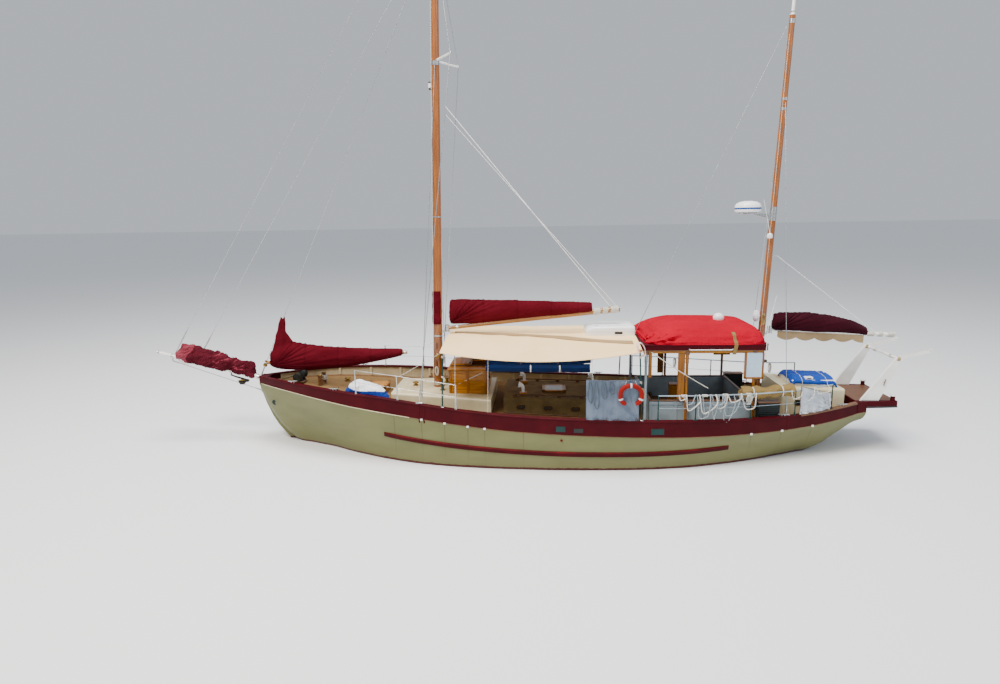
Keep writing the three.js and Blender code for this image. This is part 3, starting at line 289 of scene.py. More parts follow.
@dataclass(frozen=True)
class Canvas(Finish):
    """Woven acrylic or cotton canvas in two tones mixed in patches, sun-fading on most and painted shade on the red
    canopy, stretched or stowed in folds.
    """

    thread_mm: float = 14.0  # real threads are about 1 mm apart; drawn coarser so that the weave shows
    fold_mm: float = 260.0
    fold_depth: float = 0.010
    stretch: Point = (1.0, 1.0, 1.0)
    sheen: float = 0.05
    seam_mm: float = 0.0

    def paint_tree(self, tree: bpy.types.NodeTree) -> None:
        """Fills the node tree: patches of the second tone (sun-fading, on the red canopy painted shade), soft creases,
        a plain weave and sewn seams.
        """
        folds = self.mottle(tree, self.fold_mm, self.stretch, 0.25, 0.8, 3.0)
        tone = self.blend(tree, self.mottle(tree, 900, low=0.3, high=0.8), self.colour, self.wear_and_painted_light)
        weave = add_node(tree, "Math", {"operation": "ADD"}, i0=self.stripes(tree, self.thread_mm, "X"),
                         i1=self.stripes(tree, self.thread_mm, "Z")).outputs[0]
        relief = add_node(tree, "Math", {"operation": "MULTIPLY_ADD", 1: 0.06}, i0=weave, i2=folds).outputs[0]
        if self.seam_mm:
            line = add_node(tree, "MapRange", {1: 0.010, 2: 0.0, 3: 0.0, 4: 0.3},
                            i0=self.stripes(tree, self.seam_mm, "X"))
            tone = self.blend(tree, line.outputs[0], tone, "3a2a20")
        self.shader(tree, tone, relief, self.fold_depth, Sheen_Weight=self.sheen, Sheen_Roughness=0.5)


@dataclass(frozen=True)
class Metal(Finish):
    """Drawn, cast or galvanised metal."""

    metallic: float = 1.0

    def paint_tree(self, tree: bpy.types.NodeTree) -> None:
        """Fills the node tree: dull patches over brighter metal."""
        patches = self.mottle(tree, 30, low=0.4, high=0.75)
        self.shader(tree, self.blend(tree, patches, self.colour, self.wear_and_painted_light), patches, 0.0003)


@dataclass(frozen=True)
class Rope(Finish):
    """Laid or braided rope, drawn with strands coarse enough to show."""

    lay_mm: float = 26.0

    def paint_tree(self, tree: bpy.types.NodeTree) -> None:
        """Fills the node tree: slanting strands and grey weathering."""
        place = add_node(tree, "TexCoord")
        slant = add_node(tree, "Mapping", {"Rotation": (0.6, 0.7, 0.4)}, Vector=place.outputs["Object"])
        strands = add_node(tree, "TexWave", {"Scale": math.pi / 10 / (self.lay_mm * MM), "Distortion": 0.6},
                           Vector=slant.outputs[0]).outputs[1]
        self.shader(tree, self.blend(tree, strands, self.wear_and_painted_light, self.colour), strands, 0.003)


@dataclass(frozen=True)
class Glazing(Finish):
    """Tinted acrylic with nothing lit behind it."""

    def paint_tree(self, tree: bpy.types.NodeTree) -> None:
        """Fills the node tree: dark, nearly even and glossy."""
        tone = self.blend(tree, self.mottle(tree, 900, low=0.3, high=0.9), self.colour, self.wear_and_painted_light)
        self.shader(tree, tone, None, 0.0, Coat_Weight=1.0, Coat_Roughness=0.02)


# Scuppers along the sheer: where they are, and so where dirt runs down the topsides
SCUPPERS = (2.59, 2.01, 1.44, 1.03, -5.33, -6.12, -6.93)

# Cream marine enamel over planking, painted dark olive as painted shade with a painted green reflection of the water:
# satin, every seam shows faintly
SHADED_CREAM_ENAMEL = TopsidePaint("cream_enamel_on_planks_painted_shade", "6d6e46", "5f613c", 0.5, ior=1.3, streaks=SCUPPERS + (3.3, 0.1))
# The same enamel on cabin sides and mouldings, in its own cream, without the painted shade of the topsides
CABIN_ENAMEL = BrushedPaint("cream_enamel_brushed", "cfc4a0", "b3a884", 0.45)
# Maroon enamel on the bulwarks: deep colour with a dull shine
MAROON_ENAMEL = BrushedPaint("maroon_enamel_brushed", "3a0009", "46040f", 0.55, ior=1.2, coat=0.0)
# The same enamel on the strake's upper edge, scuffed by jetties to a chalky red
STRAKE_ENAMEL = BrushedPaint("maroon_enamel_scuffed", "4c0a0e", "6e141a", 0.6, ior=1.2, coat=0.0)
# White enamel on small mouldings and davits: bright, a little yellowed
WHITE_ENAMEL = BrushedPaint("white_enamel_brushed", "f2f2ee", "dedbcf", 0.32)
# Cream deck paint with grit in it: flat, and dirty in patches
DECK_PAINT = BrushedPaint("cream_deck_paint_sanded", "c0b28e", "978664", 0.75, coat=0.0)
# Brown-beige house paint on the mid cabin, flat, painted dark as painted shade under the awning, darker still in
# patches
SHADED_BEIGE_PAINT = BrushedPaint("beige_house_paint_painted_shade", "75633f", "4c3d28", 0.7, ior=1.2, coat=0.0)
# Pale grey-blue paint on the steering shelter's panels
GREY_BLUE_PAINT = BrushedPaint("grey_blue_paint_brushed", "93a4ae", "72838f", 0.5)
# Pale blue paint of the board at the roof's aft corner: clean and light
PALE_BLUE_PAINT = BrushedPaint("pale_blue_paint_brushed", "b7cfe0", "a2bccf", 0.45)
# Grey-green paint of the freeing ports and old poles
GREY_GREEN_PAINT = BrushedPaint("grey_green_paint_brushed", "1f3c3b", "182f2e", 0.6, ior=1.25, coat=0.0)
# Dark grey paint of the louvred locker
DARK_GREY_PAINT = BrushedPaint("dark_grey_paint_brushed", "232a2b", "181e1f", 0.6, ior=1.25, coat=0.0)
# Maroon antifouling on keel and rudder: matt, scuffed
ANTIFOULING = BrushedPaint("red_antifouling_rolled", "4a1a17", "351613", 0.85, coat=0.0)
# Varnished spruce of masts and booms: orange-gold under gloss, grain runs along the spar
SPRUCE_MAST = Varnish("spruce_mast_varnished", "a8601c", "76400e", 0.34, grain=(14.0, 14.0, 0.7))
SPRUCE_BOOM = Varnish("spruce_boom_varnished", "a8742a", "7c4c16", 0.34, grain=(0.7, 14.0, 14.0))
# Varnished teak of the deckhouse and posts: golden
TEAK_JOINERY = Varnish("teak_joinery_varnished", "bc7c10", "8e560a", 0.42, ior=1.3, grain=(1.2, 12.0, 12.0), coat=0.2)
TEAK_POSTS = Varnish("teak_posts_varnished", "a4680e", "724208", 0.42, ior=1.3, grain=(12.0, 12.0, 0.8), coat=0.2)
# Oiled teak rail and trim: brown and nearly matt
TEAK_RAIL = Varnish("teak_rail_oiled", "744a24", "4e2e14", 0.5, grain=(0.8, 12.0, 12.0), coat=0.15)
# Scrubbed teak deck: grey-brown planks, black seams
TEAK_DECK = BareTeak("teak_deck_scrubbed", "846842", "64492c", 0.8, ior=1.25)
# Red acrylic canvas over the steering shelter: fresh, bright, with broad creases, its darker second tone painted in
# patches as painted shade of the creases
RED_CANVAS = Canvas("red_acrylic_canvas", "b00426", "960a22", 0.9, ior=1.1, fold_mm=340, fold_depth=0.034,
                    stretch=(1.0, 0.7, 2.0), sheen=0.0)
# Maroon acrylic canvas of the sail covers: dark, pulled along the spars
MAROON_CANVAS = Canvas("maroon_acrylic_canvas", "4a0612", "5a101c", 0.9, ior=1.15, fold_mm=300, fold_depth=0.016,
                       stretch=(0.4, 1.0, 1.4), sheen=0.0)
# The mizzen's cover: the same maroon canvas, painted darker as painted shade
SHADED_MAROON_CANVAS = Canvas("maroon_acrylic_canvas_painted_shade", "2c0410", "380a18", 0.9, ior=1.15, fold_mm=300, fold_depth=0.012,
                     stretch=(0.4, 1.0, 1.4))
# The same canvas where it is bundled on the bowsprit, crumpled, its colour painted darker as painted shade, with
# lighter bleached patches
SHADED_BUNDLE_CANVAS = Canvas("maroon_canvas_bundled_painted_shade", "34060e", "6a2230", 0.9, ior=1.15, fold_mm=110, fold_depth=0.028,
                       stretch=(2.0, 1.0, 1.0), sheen=0.0)
# The headsail's fore lump, bleached pink by the sun and painted lighter as a highlight, and the painted highlights on
# its upward crests
PINK_BLEACH_AND_HIGHLIGHT_CANVAS = Canvas("maroon_canvas_bleached_and_highlit", "661624", "a04a58", 0.9, ior=1.15, fold_mm=120, fold_depth=0.026,
                     stretch=(2.0, 1.0, 1.0))
# Cream cotton awning: matt, with faint sewn seams across it
AWNING_CANVAS = Canvas("cream_cotton_awning", "fbdaa6", "f6d098", 0.9, ior=1.2, fold_mm=1300, fold_depth=0.010,
                       stretch=(0.6, 1.0, 1.0))
# The strip beside the awning's ridge: a lapped seam coloured brown as painted shade under the lap
SHADED_SEAM_CANVAS = Canvas("cream_cotton_seam_painted_shade", "a88a60", "92744e", 0.95, fold_mm=200, fold_depth=0.006)
# Brown binding tape of hems
BROWN_TAPE = Canvas("brown_binding_tape", "5d4330", "4a3424", 0.9, fold_mm=90, fold_depth=0.004)
# White dodger cloth: crinkled, bright
WHITE_CANVAS = Canvas("white_dodger_canvas", "dfe4ea", "97a4b4", 0.85, fold_mm=200, fold_depth=0.045,
                      stretch=(1.0, 1.0, 1.2))
# Grey-blue weather cloth: hangs in soft upright folds
GREY_CANVAS = Canvas("grey_blue_weather_canvas", "768598", "445062", 0.85, fold_mm=220, fold_depth=0.045,
                     stretch=(1.4, 1.0, 0.4))
# Blue polyester cover: strong and crumpled, and the darker one rolled under the awning
BLUE_CANVAS = Canvas("blue_polyester_cover", "042c80", "0c48a8", 0.8, ior=1.3, fold_mm=150, fold_depth=0.030)
NAVY_CANVAS = Canvas("navy_polyester_curtain", "02102c", "041e48", 0.85, ior=1.2, fold_mm=180, fold_depth=0.016)
# Tan sailcloth that hangs out under the mizzen's cover
TAN_SAILCLOTH = Canvas("tan_polyester_sailcloth", "a8906a", "86704e", 0.8, fold_mm=200, fold_depth=0.012,
                       stretch=(2.0, 1.0, 0.6))
# Khaki canvas rolled or strapped on
KHAKI_CANVAS = Canvas("khaki_cotton_canvas", "94783e", "5e4c2a", 0.9, fold_mm=110, fold_depth=0.024)
# Bleached cloth where awning and headsail are gathered up: white-pink
FOLD_CANVAS = Canvas("bleached_cotton_fold", "f4dcd8", "dcb4b0", 0.85, fold_mm=120, fold_depth=0.016)
# White nylon of the gear bag, with its blue foot
WHITE_NYLON = Canvas("white_nylon_bag", "eeeef4", "cfd2e2", 0.6, fold_mm=240, fold_depth=0.022)
# Red nylon over foam: the horseshoe buoy
RED_NYLON = Canvas("red_nylon_over_foam", "8e140c", "700e08", 0.8, ior=1.25, fold_mm=160, fold_depth=0.006)
# Stainless steel wire and tube: grey, with tea stains
STAINLESS = Metal("stainless_steel_drawn", "c9cdd0", "9a968c", 0.32)
# Galvanised iron of anchor and windlass: dull, dark
GALVANISED = Metal("galvanised_iron_cast", "4a4a48", "322e2a", 0.6)
# Cast bronze of propeller and fittings: brown-gold
BRONZE = Metal("bronze_cast", "a5803e", "6f5a2c", 0.42)
# White plastic sheath of wires: bright against the spars
SHEATHED_WIRE = BrushedPaint("white_sheathed_wire", "f4f4f2", "e2e2de", 0.4)
# Polyester rope, white gone grey, and tan manila
WHITE_ROPE = Rope("polyester_rope_white", "e9e6dc", "a8a496", 0.9)
GREY_ROPE = Rope("polyester_rope_grey", "a9b2b8", "7c868c", 0.9)
SHADE_ROPE = Rope("polyester_rope_dark", "4c565e", "39424a", 0.9)
TAN_ROPE = Rope("manila_rope_tan", "c2a56c", "8d7446", 0.9)
# Gelcoat of radome, domes and box: smooth white, and the radome's blue band
WHITE_GELCOAT = Finish("white_gelcoat_moulded", "f6f7f7", "e6e9ea", 0.22)
BLUE_GELCOAT = Finish("blue_gelcoat_band", "2a4f96", "234584", 0.3)
# Dark tinted acrylic windows
DARK_GLASS = Glazing("tinted_acrylic_window", "10161a", "1c262b", 0.06)
# Black rubber, and the painted shade of openings
BLACK_RUBBER_AND_SHADE = Finish("black_rubber_and_painted_shade", "17181a", "242527", 0.7)
# Freeing ports in the bulwarks: middle x, length, height and what the flap is made of; the black flap is painted shade
# of an open slot
PORTS = ((-0.78, 0.20, 0.12, GREY_GREEN_PAINT), (-1.20, 0.20, 0.085, BLACK_RUBBER_AND_SHADE),
         (-3.05, 0.29, 0.13, GREY_GREEN_PAINT))


# Shapes


def mix(a: float, b: float, t: float) -> float:
    """Goes from a at t = 0 to b at t = 1."""
    return a + (b - a) * t


def between(a: Point, b: Point, t: float) -> Vector:
    """Gives the point that lies t of the way from a to b."""
    return Vector(a).lerp(Vector(b), t)


def steps(start: float, end: float, spacing: float) -> list[float]:
    """Gives evenly spaced values from start to end, about that far apart."""
    n = max(1, math.ceil(abs(end - start) / spacing))
    return [mix(start, end, k / n) for k in range(n + 1)]


def circle(count: int, turns: float = 1.0, first: float = 0.0) -> list[tuple[float, float]]:
    """Gives the cosine and sine of evenly spaced angles round a circle or part of one."""
    return [(math.cos(a), math.sin(a)) for a in (2 * math.pi * (turns * (k + first) / count) for k in range(count))]


def spline(points: Sequence[Point], parts: int) -> list[Vector]:
    """Runs a smooth line through points, with that many parts between each pair."""
    pts = [Vector(p) for p in points]
    ends = [pts[0] * 2 - pts[1], *pts, pts[-1] * 2 - pts[-2]]
    line = []
    for i in range(len(pts) - 1):
        p0, p1, p2, p3 = ends[i:i + 4]
        line += [0.5 * (2 * p1 + (p2 - p0) * t + (2 * p0 - 5 * p1 + 4 * p2 - p3) * t ** 2
                        + (3 * p1 - p0 - 3 * p2 + p3) * t ** 3) for t in (k / parts for k in range(parts))]
    return [*line, pts[-1]]


def hanging(a: Point, b: Point, sag: float, parts: int = 12) -> list[Vector]:
    """Hangs a line between two points, its middle by sag under the straight line."""
    return [between(a, b, t) - Vector((0, 0, 4 * sag * t * (1 - t))) for t in (k / parts for k in range(parts + 1))]


def across(direction: Vector) -> tuple[Vector, Vector]:
    """Gives two unit vectors square to a direction and to each other."""
    side = Vector((0, 0, 1)) if abs(direction.z) < 0.9 else Vector((1, 0, 0))
    u = direction.cross(side).normalized()
    return u, direction.cross(u).normalized()


def mirrored(half: Sequence[Point]) -> Ring:
    """Joins a port half ring to its starboard mirror image."""
    return [*half, *[(x, -y, z) for x, y, z in reversed(half)]]


def outward(mesh: bpy.types.Mesh) -> None:
    """Joins the points of a mesh that coincide and turns every face outwards."""
    form = bmesh.new()
    form.from_mesh(mesh)
    bmesh.ops.remove_doubles(form, verts=form.verts, dist=1e-6)
    bmesh.ops.recalc_face_normals(form, faces=form.faces)
    form.to_mesh(mesh)
    form.free()
    mesh.update()


class Kit:
    """Gathers the faces of one piece, each part with its own finish, and makes one object of them."""

    def __init__(self, name: str) -> None:
        """Starts an empty piece of that name."""
        self.name = name
        self.points: list[Vector] = []
        self.faces: list[tuple[int, ...]] = []
        self.marks: list[int] = []
        self.finishes: list[Finish] = []

    def add(self, points: Sequence[Point], faces: Sequence[Sequence[int]], finish: Finish) -> None:
        """Adds faces, each given by the numbers of its corners."""
        if finish not in self.finishes:
            self.finishes.append(finish)
        start = len(self.points)
        self.points += [Vector(p) for p in points]
        self.faces += [tuple(start + i for i in face) for face in faces]
        self.marks += [self.finishes.index(finish)] * len(faces)

    @contextmanager
    def both_sides(self) -> Iterator[None]:
        """Adds to starboard the mirror image of what is added to port inside the block."""
        start, first = len(self.points), len(self.faces)
        yield
        shift = len(self.points) - start
        self.points += [Vector((p.x, -p.y, p.z)) for p in self.points[start:]]
        self.faces += [tuple(i + shift for i in reversed(face)) for face in self.faces[first:]]
        self.marks += self.marks[first:]

    def loft(self, rings: Sequence[Sequence[Point]], finish: Finish) -> None:
        """Adds a closed skin over rings with equal numbers of points."""
        n, last = len(rings[0]), (len(rings) - 1) * len(rings[0])
        faces = [(s + i, s + (i + 1) % n, s + n + (i + 1) % n, s + n + i)
                 for s in range(0, last, n) for i in range(n)]
        self.add([p for ring in rings for p in ring],
                 [*faces, tuple(range(n))[::-1], tuple(range(last, last + n))], finish)

    def pipe(self, path: Sequence[Point], finish: Finish, radius: float | Sequence[float],
             sides: int = 8) -> None:
        """Adds a tube along a line.

        Args:
            path: the line's points.
            finish: what it is made of.
            radius: one radius, or one for each point.
            sides: how many sides it has.
        """
        line = [Vector(p) for p in path]
        radii = [radius] * len(line) if isinstance(radius, (int, float)) else list(radius)
        headings = [(line[min(i + 1, len(line) - 1)] - line[max(i - 1, 0)]).normalized() for i in range(len(line))]
        u, v = across(headings[0])
        rings = []
        for i, (centre, heading) in enumerate(zip(line, headings)):
            if i:
                turn = headings[i - 1].rotation_difference(heading)
                u, v = turn @ u, turn @ v
            rings.append([centre + radii[i] * (c * u + s * v) for c, s in circle(sides)])
        self.loft(rings, finish)

    def rod(self, a: Point, b: Point, finish: Finish, r0: float, r1: float | None = None,
            sides: int = 10) -> None:
        """Adds a round bar from a, with radius r0, to b, with radius r1 or the same."""
        self.pipe([a, b], finish, [r0, r0 if r1 is None else r1], sides)

    def slab(self, low: Point, high: Point, finish: Finish, edge: float = 0.006) -> None:
        """Adds a box from its lowest to its highest corner, its edges cut off that wide."""
        (x0, y0, z0), (x1, y1, z1) = low, high
        e = min(edge, (x1 - x0) / 3, (y1 - y0) / 3, (z1 - z0) / 3)
        rings = []
        for z, inset in ((z0, e), (z0 + e, 0), (z1 - e, 0), (z1, e)):
            a, b, c, d = x0 + inset, x1 - inset, y0 + inset, y1 - inset
            rings.append([(a + e, c, z), (b - e, c, z), (b, c + e, z), (b, d - e, z), (b - e, d, z),
                          (a + e, d, z), (a, d - e, z), (a, c + e, z)])
        self.loft(rings, finish)

    def plate(self, outline: Sequence[tuple[float, float]], y0: float, y1: float, finish: Finish) -> None:
        """Adds a plate between two y, cut to the x and z of an outline."""
        self.loft([[(x, y, z) for x, z in outline] for y in (y0, y1)], finish)

    def turned(self, base: Point, profile: Sequence[tuple[float, float]], finish: Finish,
               axis: Point = (0, 0, 1), sides: int = 16) -> None:
        """Adds a turned form.

        Args:
            base: where the axis starts.
            profile: distance along the axis and radius, row by row.
            finish: what it is made of.
            axis: its direction.
            sides: how many sides it has.
        """
        heading = Vector(axis).normalized()
        u, v = across(heading)
        self.loft([[Vector(base) + heading * along + max(radius, 0.0005) * (c * u + s * v)
                    for c, s in circle(sides)] for along, radius in profile], finish)

    def ball(self, centre: Point, radius: float, finish: Finish, squash: float = 1.0, sides: int = 14) -> None:
        """Adds a ball, squashed to that share of its height."""
        half = circle(sides // 2 + 1, 0.5 * (sides // 2 + 1) / (sides // 2))
        self.turned(centre, [(-squash * radius * c, radius * s) for c, s in half], finish, sides=sides)

    def hoop(self, centre: Point, axis: Point, reach: float, radius: float, finish: Finish, turns: float = 1.0,
             sides: int = 6, parts: int = 24) -> None:
        """Adds a ring of round bar, or part of one.

        Args:
            centre: its middle.
            axis: what it goes round.
            reach: from its middle to the bar's middle.
            radius: the bar's radius.
            finish: what it is made of.
            turns: how much of a full turn it makes.
            sides: how many sides the bar has.
            parts: its parts.
        """
        u, v = across(Vector(axis).normalized())
        ring = circle(parts + 1, turns * (parts + 1) / parts)
        self.pipe([Vector(centre) + reach * (c * u + s * v) for c, s in ring], finish, radius, sides)

    def cloth(self, rows: Sequence[Sequence[Point]], finish: Finish, thick: float = 0.004) -> None:
        """Adds a sheet of cloth over a grid of points, with a little thickness."""
        grid = [[Vector(p) for p in row] for row in rows]
        rings = []
        for i, row in enumerate(grid):
            above, below = grid[min(i + 1, len(grid) - 1)], grid[max(i - 1, 0)]
            back = [p - (above[j] - below[j]).cross(row[min(j + 1, len(row) - 1)] - row[max(j - 1, 0)]).normalized()
                    * thick for j, p in enumerate(row)]
            rings.append([*row, *reversed(back)])
        self.loft(rings, finish)

    def whipped(self, a: Point, b: Point, radius: float, finish: Finish, turns: int, rope: float) -> None:
        """Adds a rope wound round a spar of that radius, so many turns from a to b."""
        u, v = across((Vector(b) - Vector(a)).normalized())
        n = turns * 12
        self.pipe([between(a, b, k / n) + (radius + rope) * (c * u + s * v)
                   for k, (c, s) in enumerate(circle(n + 1, turns * (n + 1) / n))], finish, rope, 5)

    def build(self, body: Body, slot: str, *nodes: str, sharp: float = 34.0) -> bpy.types.Object:
        """Makes the object, sets it on its body and hides the nodes that it stands for.

        Args:
            body: the body that it moves with.
            slot: the record's material slot; not used.
            nodes: the frame's nodes that it replaces.
            sharp: the angle in degrees over which an edge stays crisp.

        Returns:
            The object.
        """
        mesh = bpy.data.meshes.new(self.name)
        mesh.from_pydata([tuple(p) for p in self.points], [], self.faces)
        for finish in self.finishes:
            mesh.materials.append(finish.material())
        mesh.polygons.foreach_set("material_index", self.marks)
        mesh.polygons.foreach_set("use_smooth", [True] * len(self.faces))
        mesh.validate()
        outward(mesh)
        mesh.set_sharp_from_angle(angle=math.radians(sharp))
        piece = bpy.data.objects.new(self.name, mesh)
        bpy.context.scene.collection.objects.link(piece)
        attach(piece, body.value)
        if nodes:
            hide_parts(*nodes)
        LOG.info("%s: %d faces on %s", self.name, len(self.faces), body.value)
        return piece


def settle(piece: bpy.types.Object) -> None:
    """Makes what a piece's modifiers show its own mesh, and drops the modifiers."""
    bpy.context.view_layer.update()
    shown = piece.evaluated_get(bpy.context.evaluated_depsgraph_get())
    mesh = bpy.data.meshes.new_from_object(shown)
    piece.modifiers.clear()
    piece.data = mesh


def carve(body: bpy.types.Object, tool: Kit) -> None:
    """Cuts a piece with the solids of a kit, which are then thrown away."""
    cutter = tool.build(Body.YACHT, "topside_paint")
    cut = body.modifiers.new("Cut", "BOOLEAN")
    cut.operation, cut.solver, cut.object = "DIFFERENCE", "EXACT", cutter
    settle(body)
    bpy.data.objects.remove(cutter)


# Hull


class Lines:
    """The hull's lines, read off a table of stations from bow to stern."""

    COLUMNS = ("x", "sheer_z", "sheer_y", "turn_z", "turn_y", "garboard_z", "keel_y", "bottom_z", "rail_z", "full")
    ROWS = (
        (7.44, 1.59, 0.095, 1.55, 0.085, 1.5, 0.04, 1.455, 1.79, 0.6),
        (7.29, 1.584, 0.21, 1.28, 0.165, 1.08, 0.045, 0.99, 1.79, 0.6),
        (7.08, 1.578, 0.37, 0.93, 0.25, 0.62, 0.05, 0.5, 1.79, 0.6),
        (6.68, 1.565, 0.64, 0.48, 0.39, 0.14, 0.055, 0.0, 1.79, 0.62),
        (6.1, 1.53, 0.98, 0.16, 0.43, -0.34, 0.06, -0.5, 1.785, 0.66),
        (5.4, 1.47, 1.33, 0.0, 0.66, -0.64, 0.065, -0.85, 1.765, 0.7),
        (4.5, 1.365, 1.65, 0.0, 1.19, -0.9, 0.075, -1.15, 1.71, 0.72),
        (3.5, 1.255, 1.89, 0.0, 1.69, -1.08, 0.09, -1.4, 1.635, 0.74),
        (2.6, 1.165, 2.08, 0.0, 2.01, -1.2, 0.1, -1.6, 1.545, 0.75),
        (1.5, 1.05, 2.25, 0.0, 2.22, -1.29, 0.11, -1.643, 1.43, 0.76),
        (0.3, 0.955, 2.37, 0.0, 2.33, -1.33, 0.11, -1.69, 1.345, 0.76),
        (-1.0, 0.885, 2.42, 0.0, 2.375, -1.33, 0.11, -1.742, 1.285, 0.76),
        (-2.4, 0.835, 2.405, 0.0, 2.33, -1.28, 0.105, -1.797, 1.24, 0.75),
        (-3.6, 0.805, 2.31, 0.0, 2.18, -1.18, 0.1, -1.844, 1.205, 0.74),
        (-4.7, 0.79, 2.12, 0.0, 1.88, -1.01, 0.09, -1.887, 1.175, 0.72),
        (-5.6, 0.795, 1.905, 0.0, 1.53, -0.8, 0.08, -1.922, 1.155, 0.7),
        (-6.3, 0.815, 1.7, 0.0, 1.2, -0.6, 0.07, -1.95, 1.15, 0.68),
        (-6.9, 0.85, 1.51, 0.06, 0.98, -0.34, 0.066, -0.4, 1.175, 0.7),
        (-7.25, 0.88, 1.39, 0.17, 0.96, -0.06, 0.064, -0.12, 1.205, 0.7),
        (-7.8, 0.945, 1.18, 0.5, 0.88, 0.25, 0.062, 0.2, 1.255, 0.7),
        (-8.45, 1.03, 0.94, 0.83, 0.78, 0.59, 0.06, 0.54, 1.3, 0.7),
    )
    STRAIGHT = ("x", "garboard_z", "bottom_z")  # these run straight from station to station
    DECK_THICK = 0.0403

    @classmethod
    def slope(cls, i: int, column: int) -> float:
        """Gives a column's slope at a station, free of overshoot."""
        if i in (0, len(cls.ROWS) - 1):
            return 0.0
        before, here, after = cls.ROWS[i - 1:i + 2]
        a = (here[column] - before[column]) / (here[0] - before[0])
        b = (after[column] - here[column]) / (after[0] - here[0])
        return 2 * a * b / (a + b) if a * b > 0 else 0.0

    @classmethod
    def at(cls, x: float) -> dict[str, float]:
        """Reads every line at one place along the hull.

        Args:
            x: the place.

        Returns:
            Each column's value by its name.
        """
        i = next((k for k in range(len(cls.ROWS) - 1) if cls.ROWS[k + 1][0] <= x), len(cls.ROWS) - 2)
        fore, aft = cls.ROWS[i], cls.ROWS[i + 1]
        span = aft[0] - fore[0]
        t = min(max((x - fore[0]) / span, 0), 1)
        values = {}
        for c, name in enumerate(cls.COLUMNS):
            if name in cls.STRAIGHT:
                values[name] = mix(fore[c], aft[c], t)
            else:
                values[name] = (fore[c] * (2 * t ** 3 - 3 * t ** 2 + 1) + aft[c] * (3 * t ** 2 - 2 * t ** 3)
                                + span * (cls.slope(i, c) * (t ** 3 - 2 * t ** 2 + t)
                                          + cls.slope(i + 1, c) * (t ** 3 - t ** 2)))
        return values

    @classmethod
    def deck(cls, x: float) -> float:
        """Gives the deck's height."""
        return cls.at(x)["sheer_z"] + cls.DECK_THICK

    @classmethod
    def side(cls, x: float) -> float:
        """Gives the half-breadth at the sheer."""
        return cls.at(x)["sheer_y"]

    @classmethod
    def rail(cls, x: float) -> float:
        """Gives the height of the cap rail's top."""
        return cls.at(x)["rail_z"]

    @classmethod
    def half(cls, x: float) -> Ring:
        """Gives the port half of the section at x, from the sheer down to the keel's bottom."""
        s = cls.at(x)
        ring = [(x, s["sheer_y"], s["sheer_z"])]
        for k in range(1, 9):
            t = k / 8
            ring.append((x, mix(s["sheer_y"], s["turn_y"], t) + 0.018 * math.sin(math.pi * t),
                         mix(s["sheer_z"], s["turn_z"], t)))
        bend_y = mix(s["keel_y"], s["turn_y"], s["full"])
        bend_z = mix(s["turn_z"], s["garboard_z"], s["full"] * 0.92)
        for k in range(1, 11):
            t = k / 10
            ring.append((x, (1 - t) ** 2 * s["turn_y"] + 2 * t * (1 - t) * bend_y + t ** 2 * s["keel_y"],
                         (1 - t) ** 2 * s["turn_z"] + 2 * t * (1 - t) * bend_z + t ** 2 * s["garboard_z"]))
        return [*ring, (x, s["keel_y"], s["bottom_z"])]

    @classmethod
    def skin(cls, x: float, z: float) -> float:
        """Gives the half-breadth of the topside at a height."""
        ring = cls.half(x)
        for (_, y0, z0), (_, y1, z1) in zip(ring, ring[1:]):
            if z0 >= z >= z1 and z0 > z1:
                return mix(y0, y1, (z0 - z) / (z0 - z1))
        return ring[0][1]


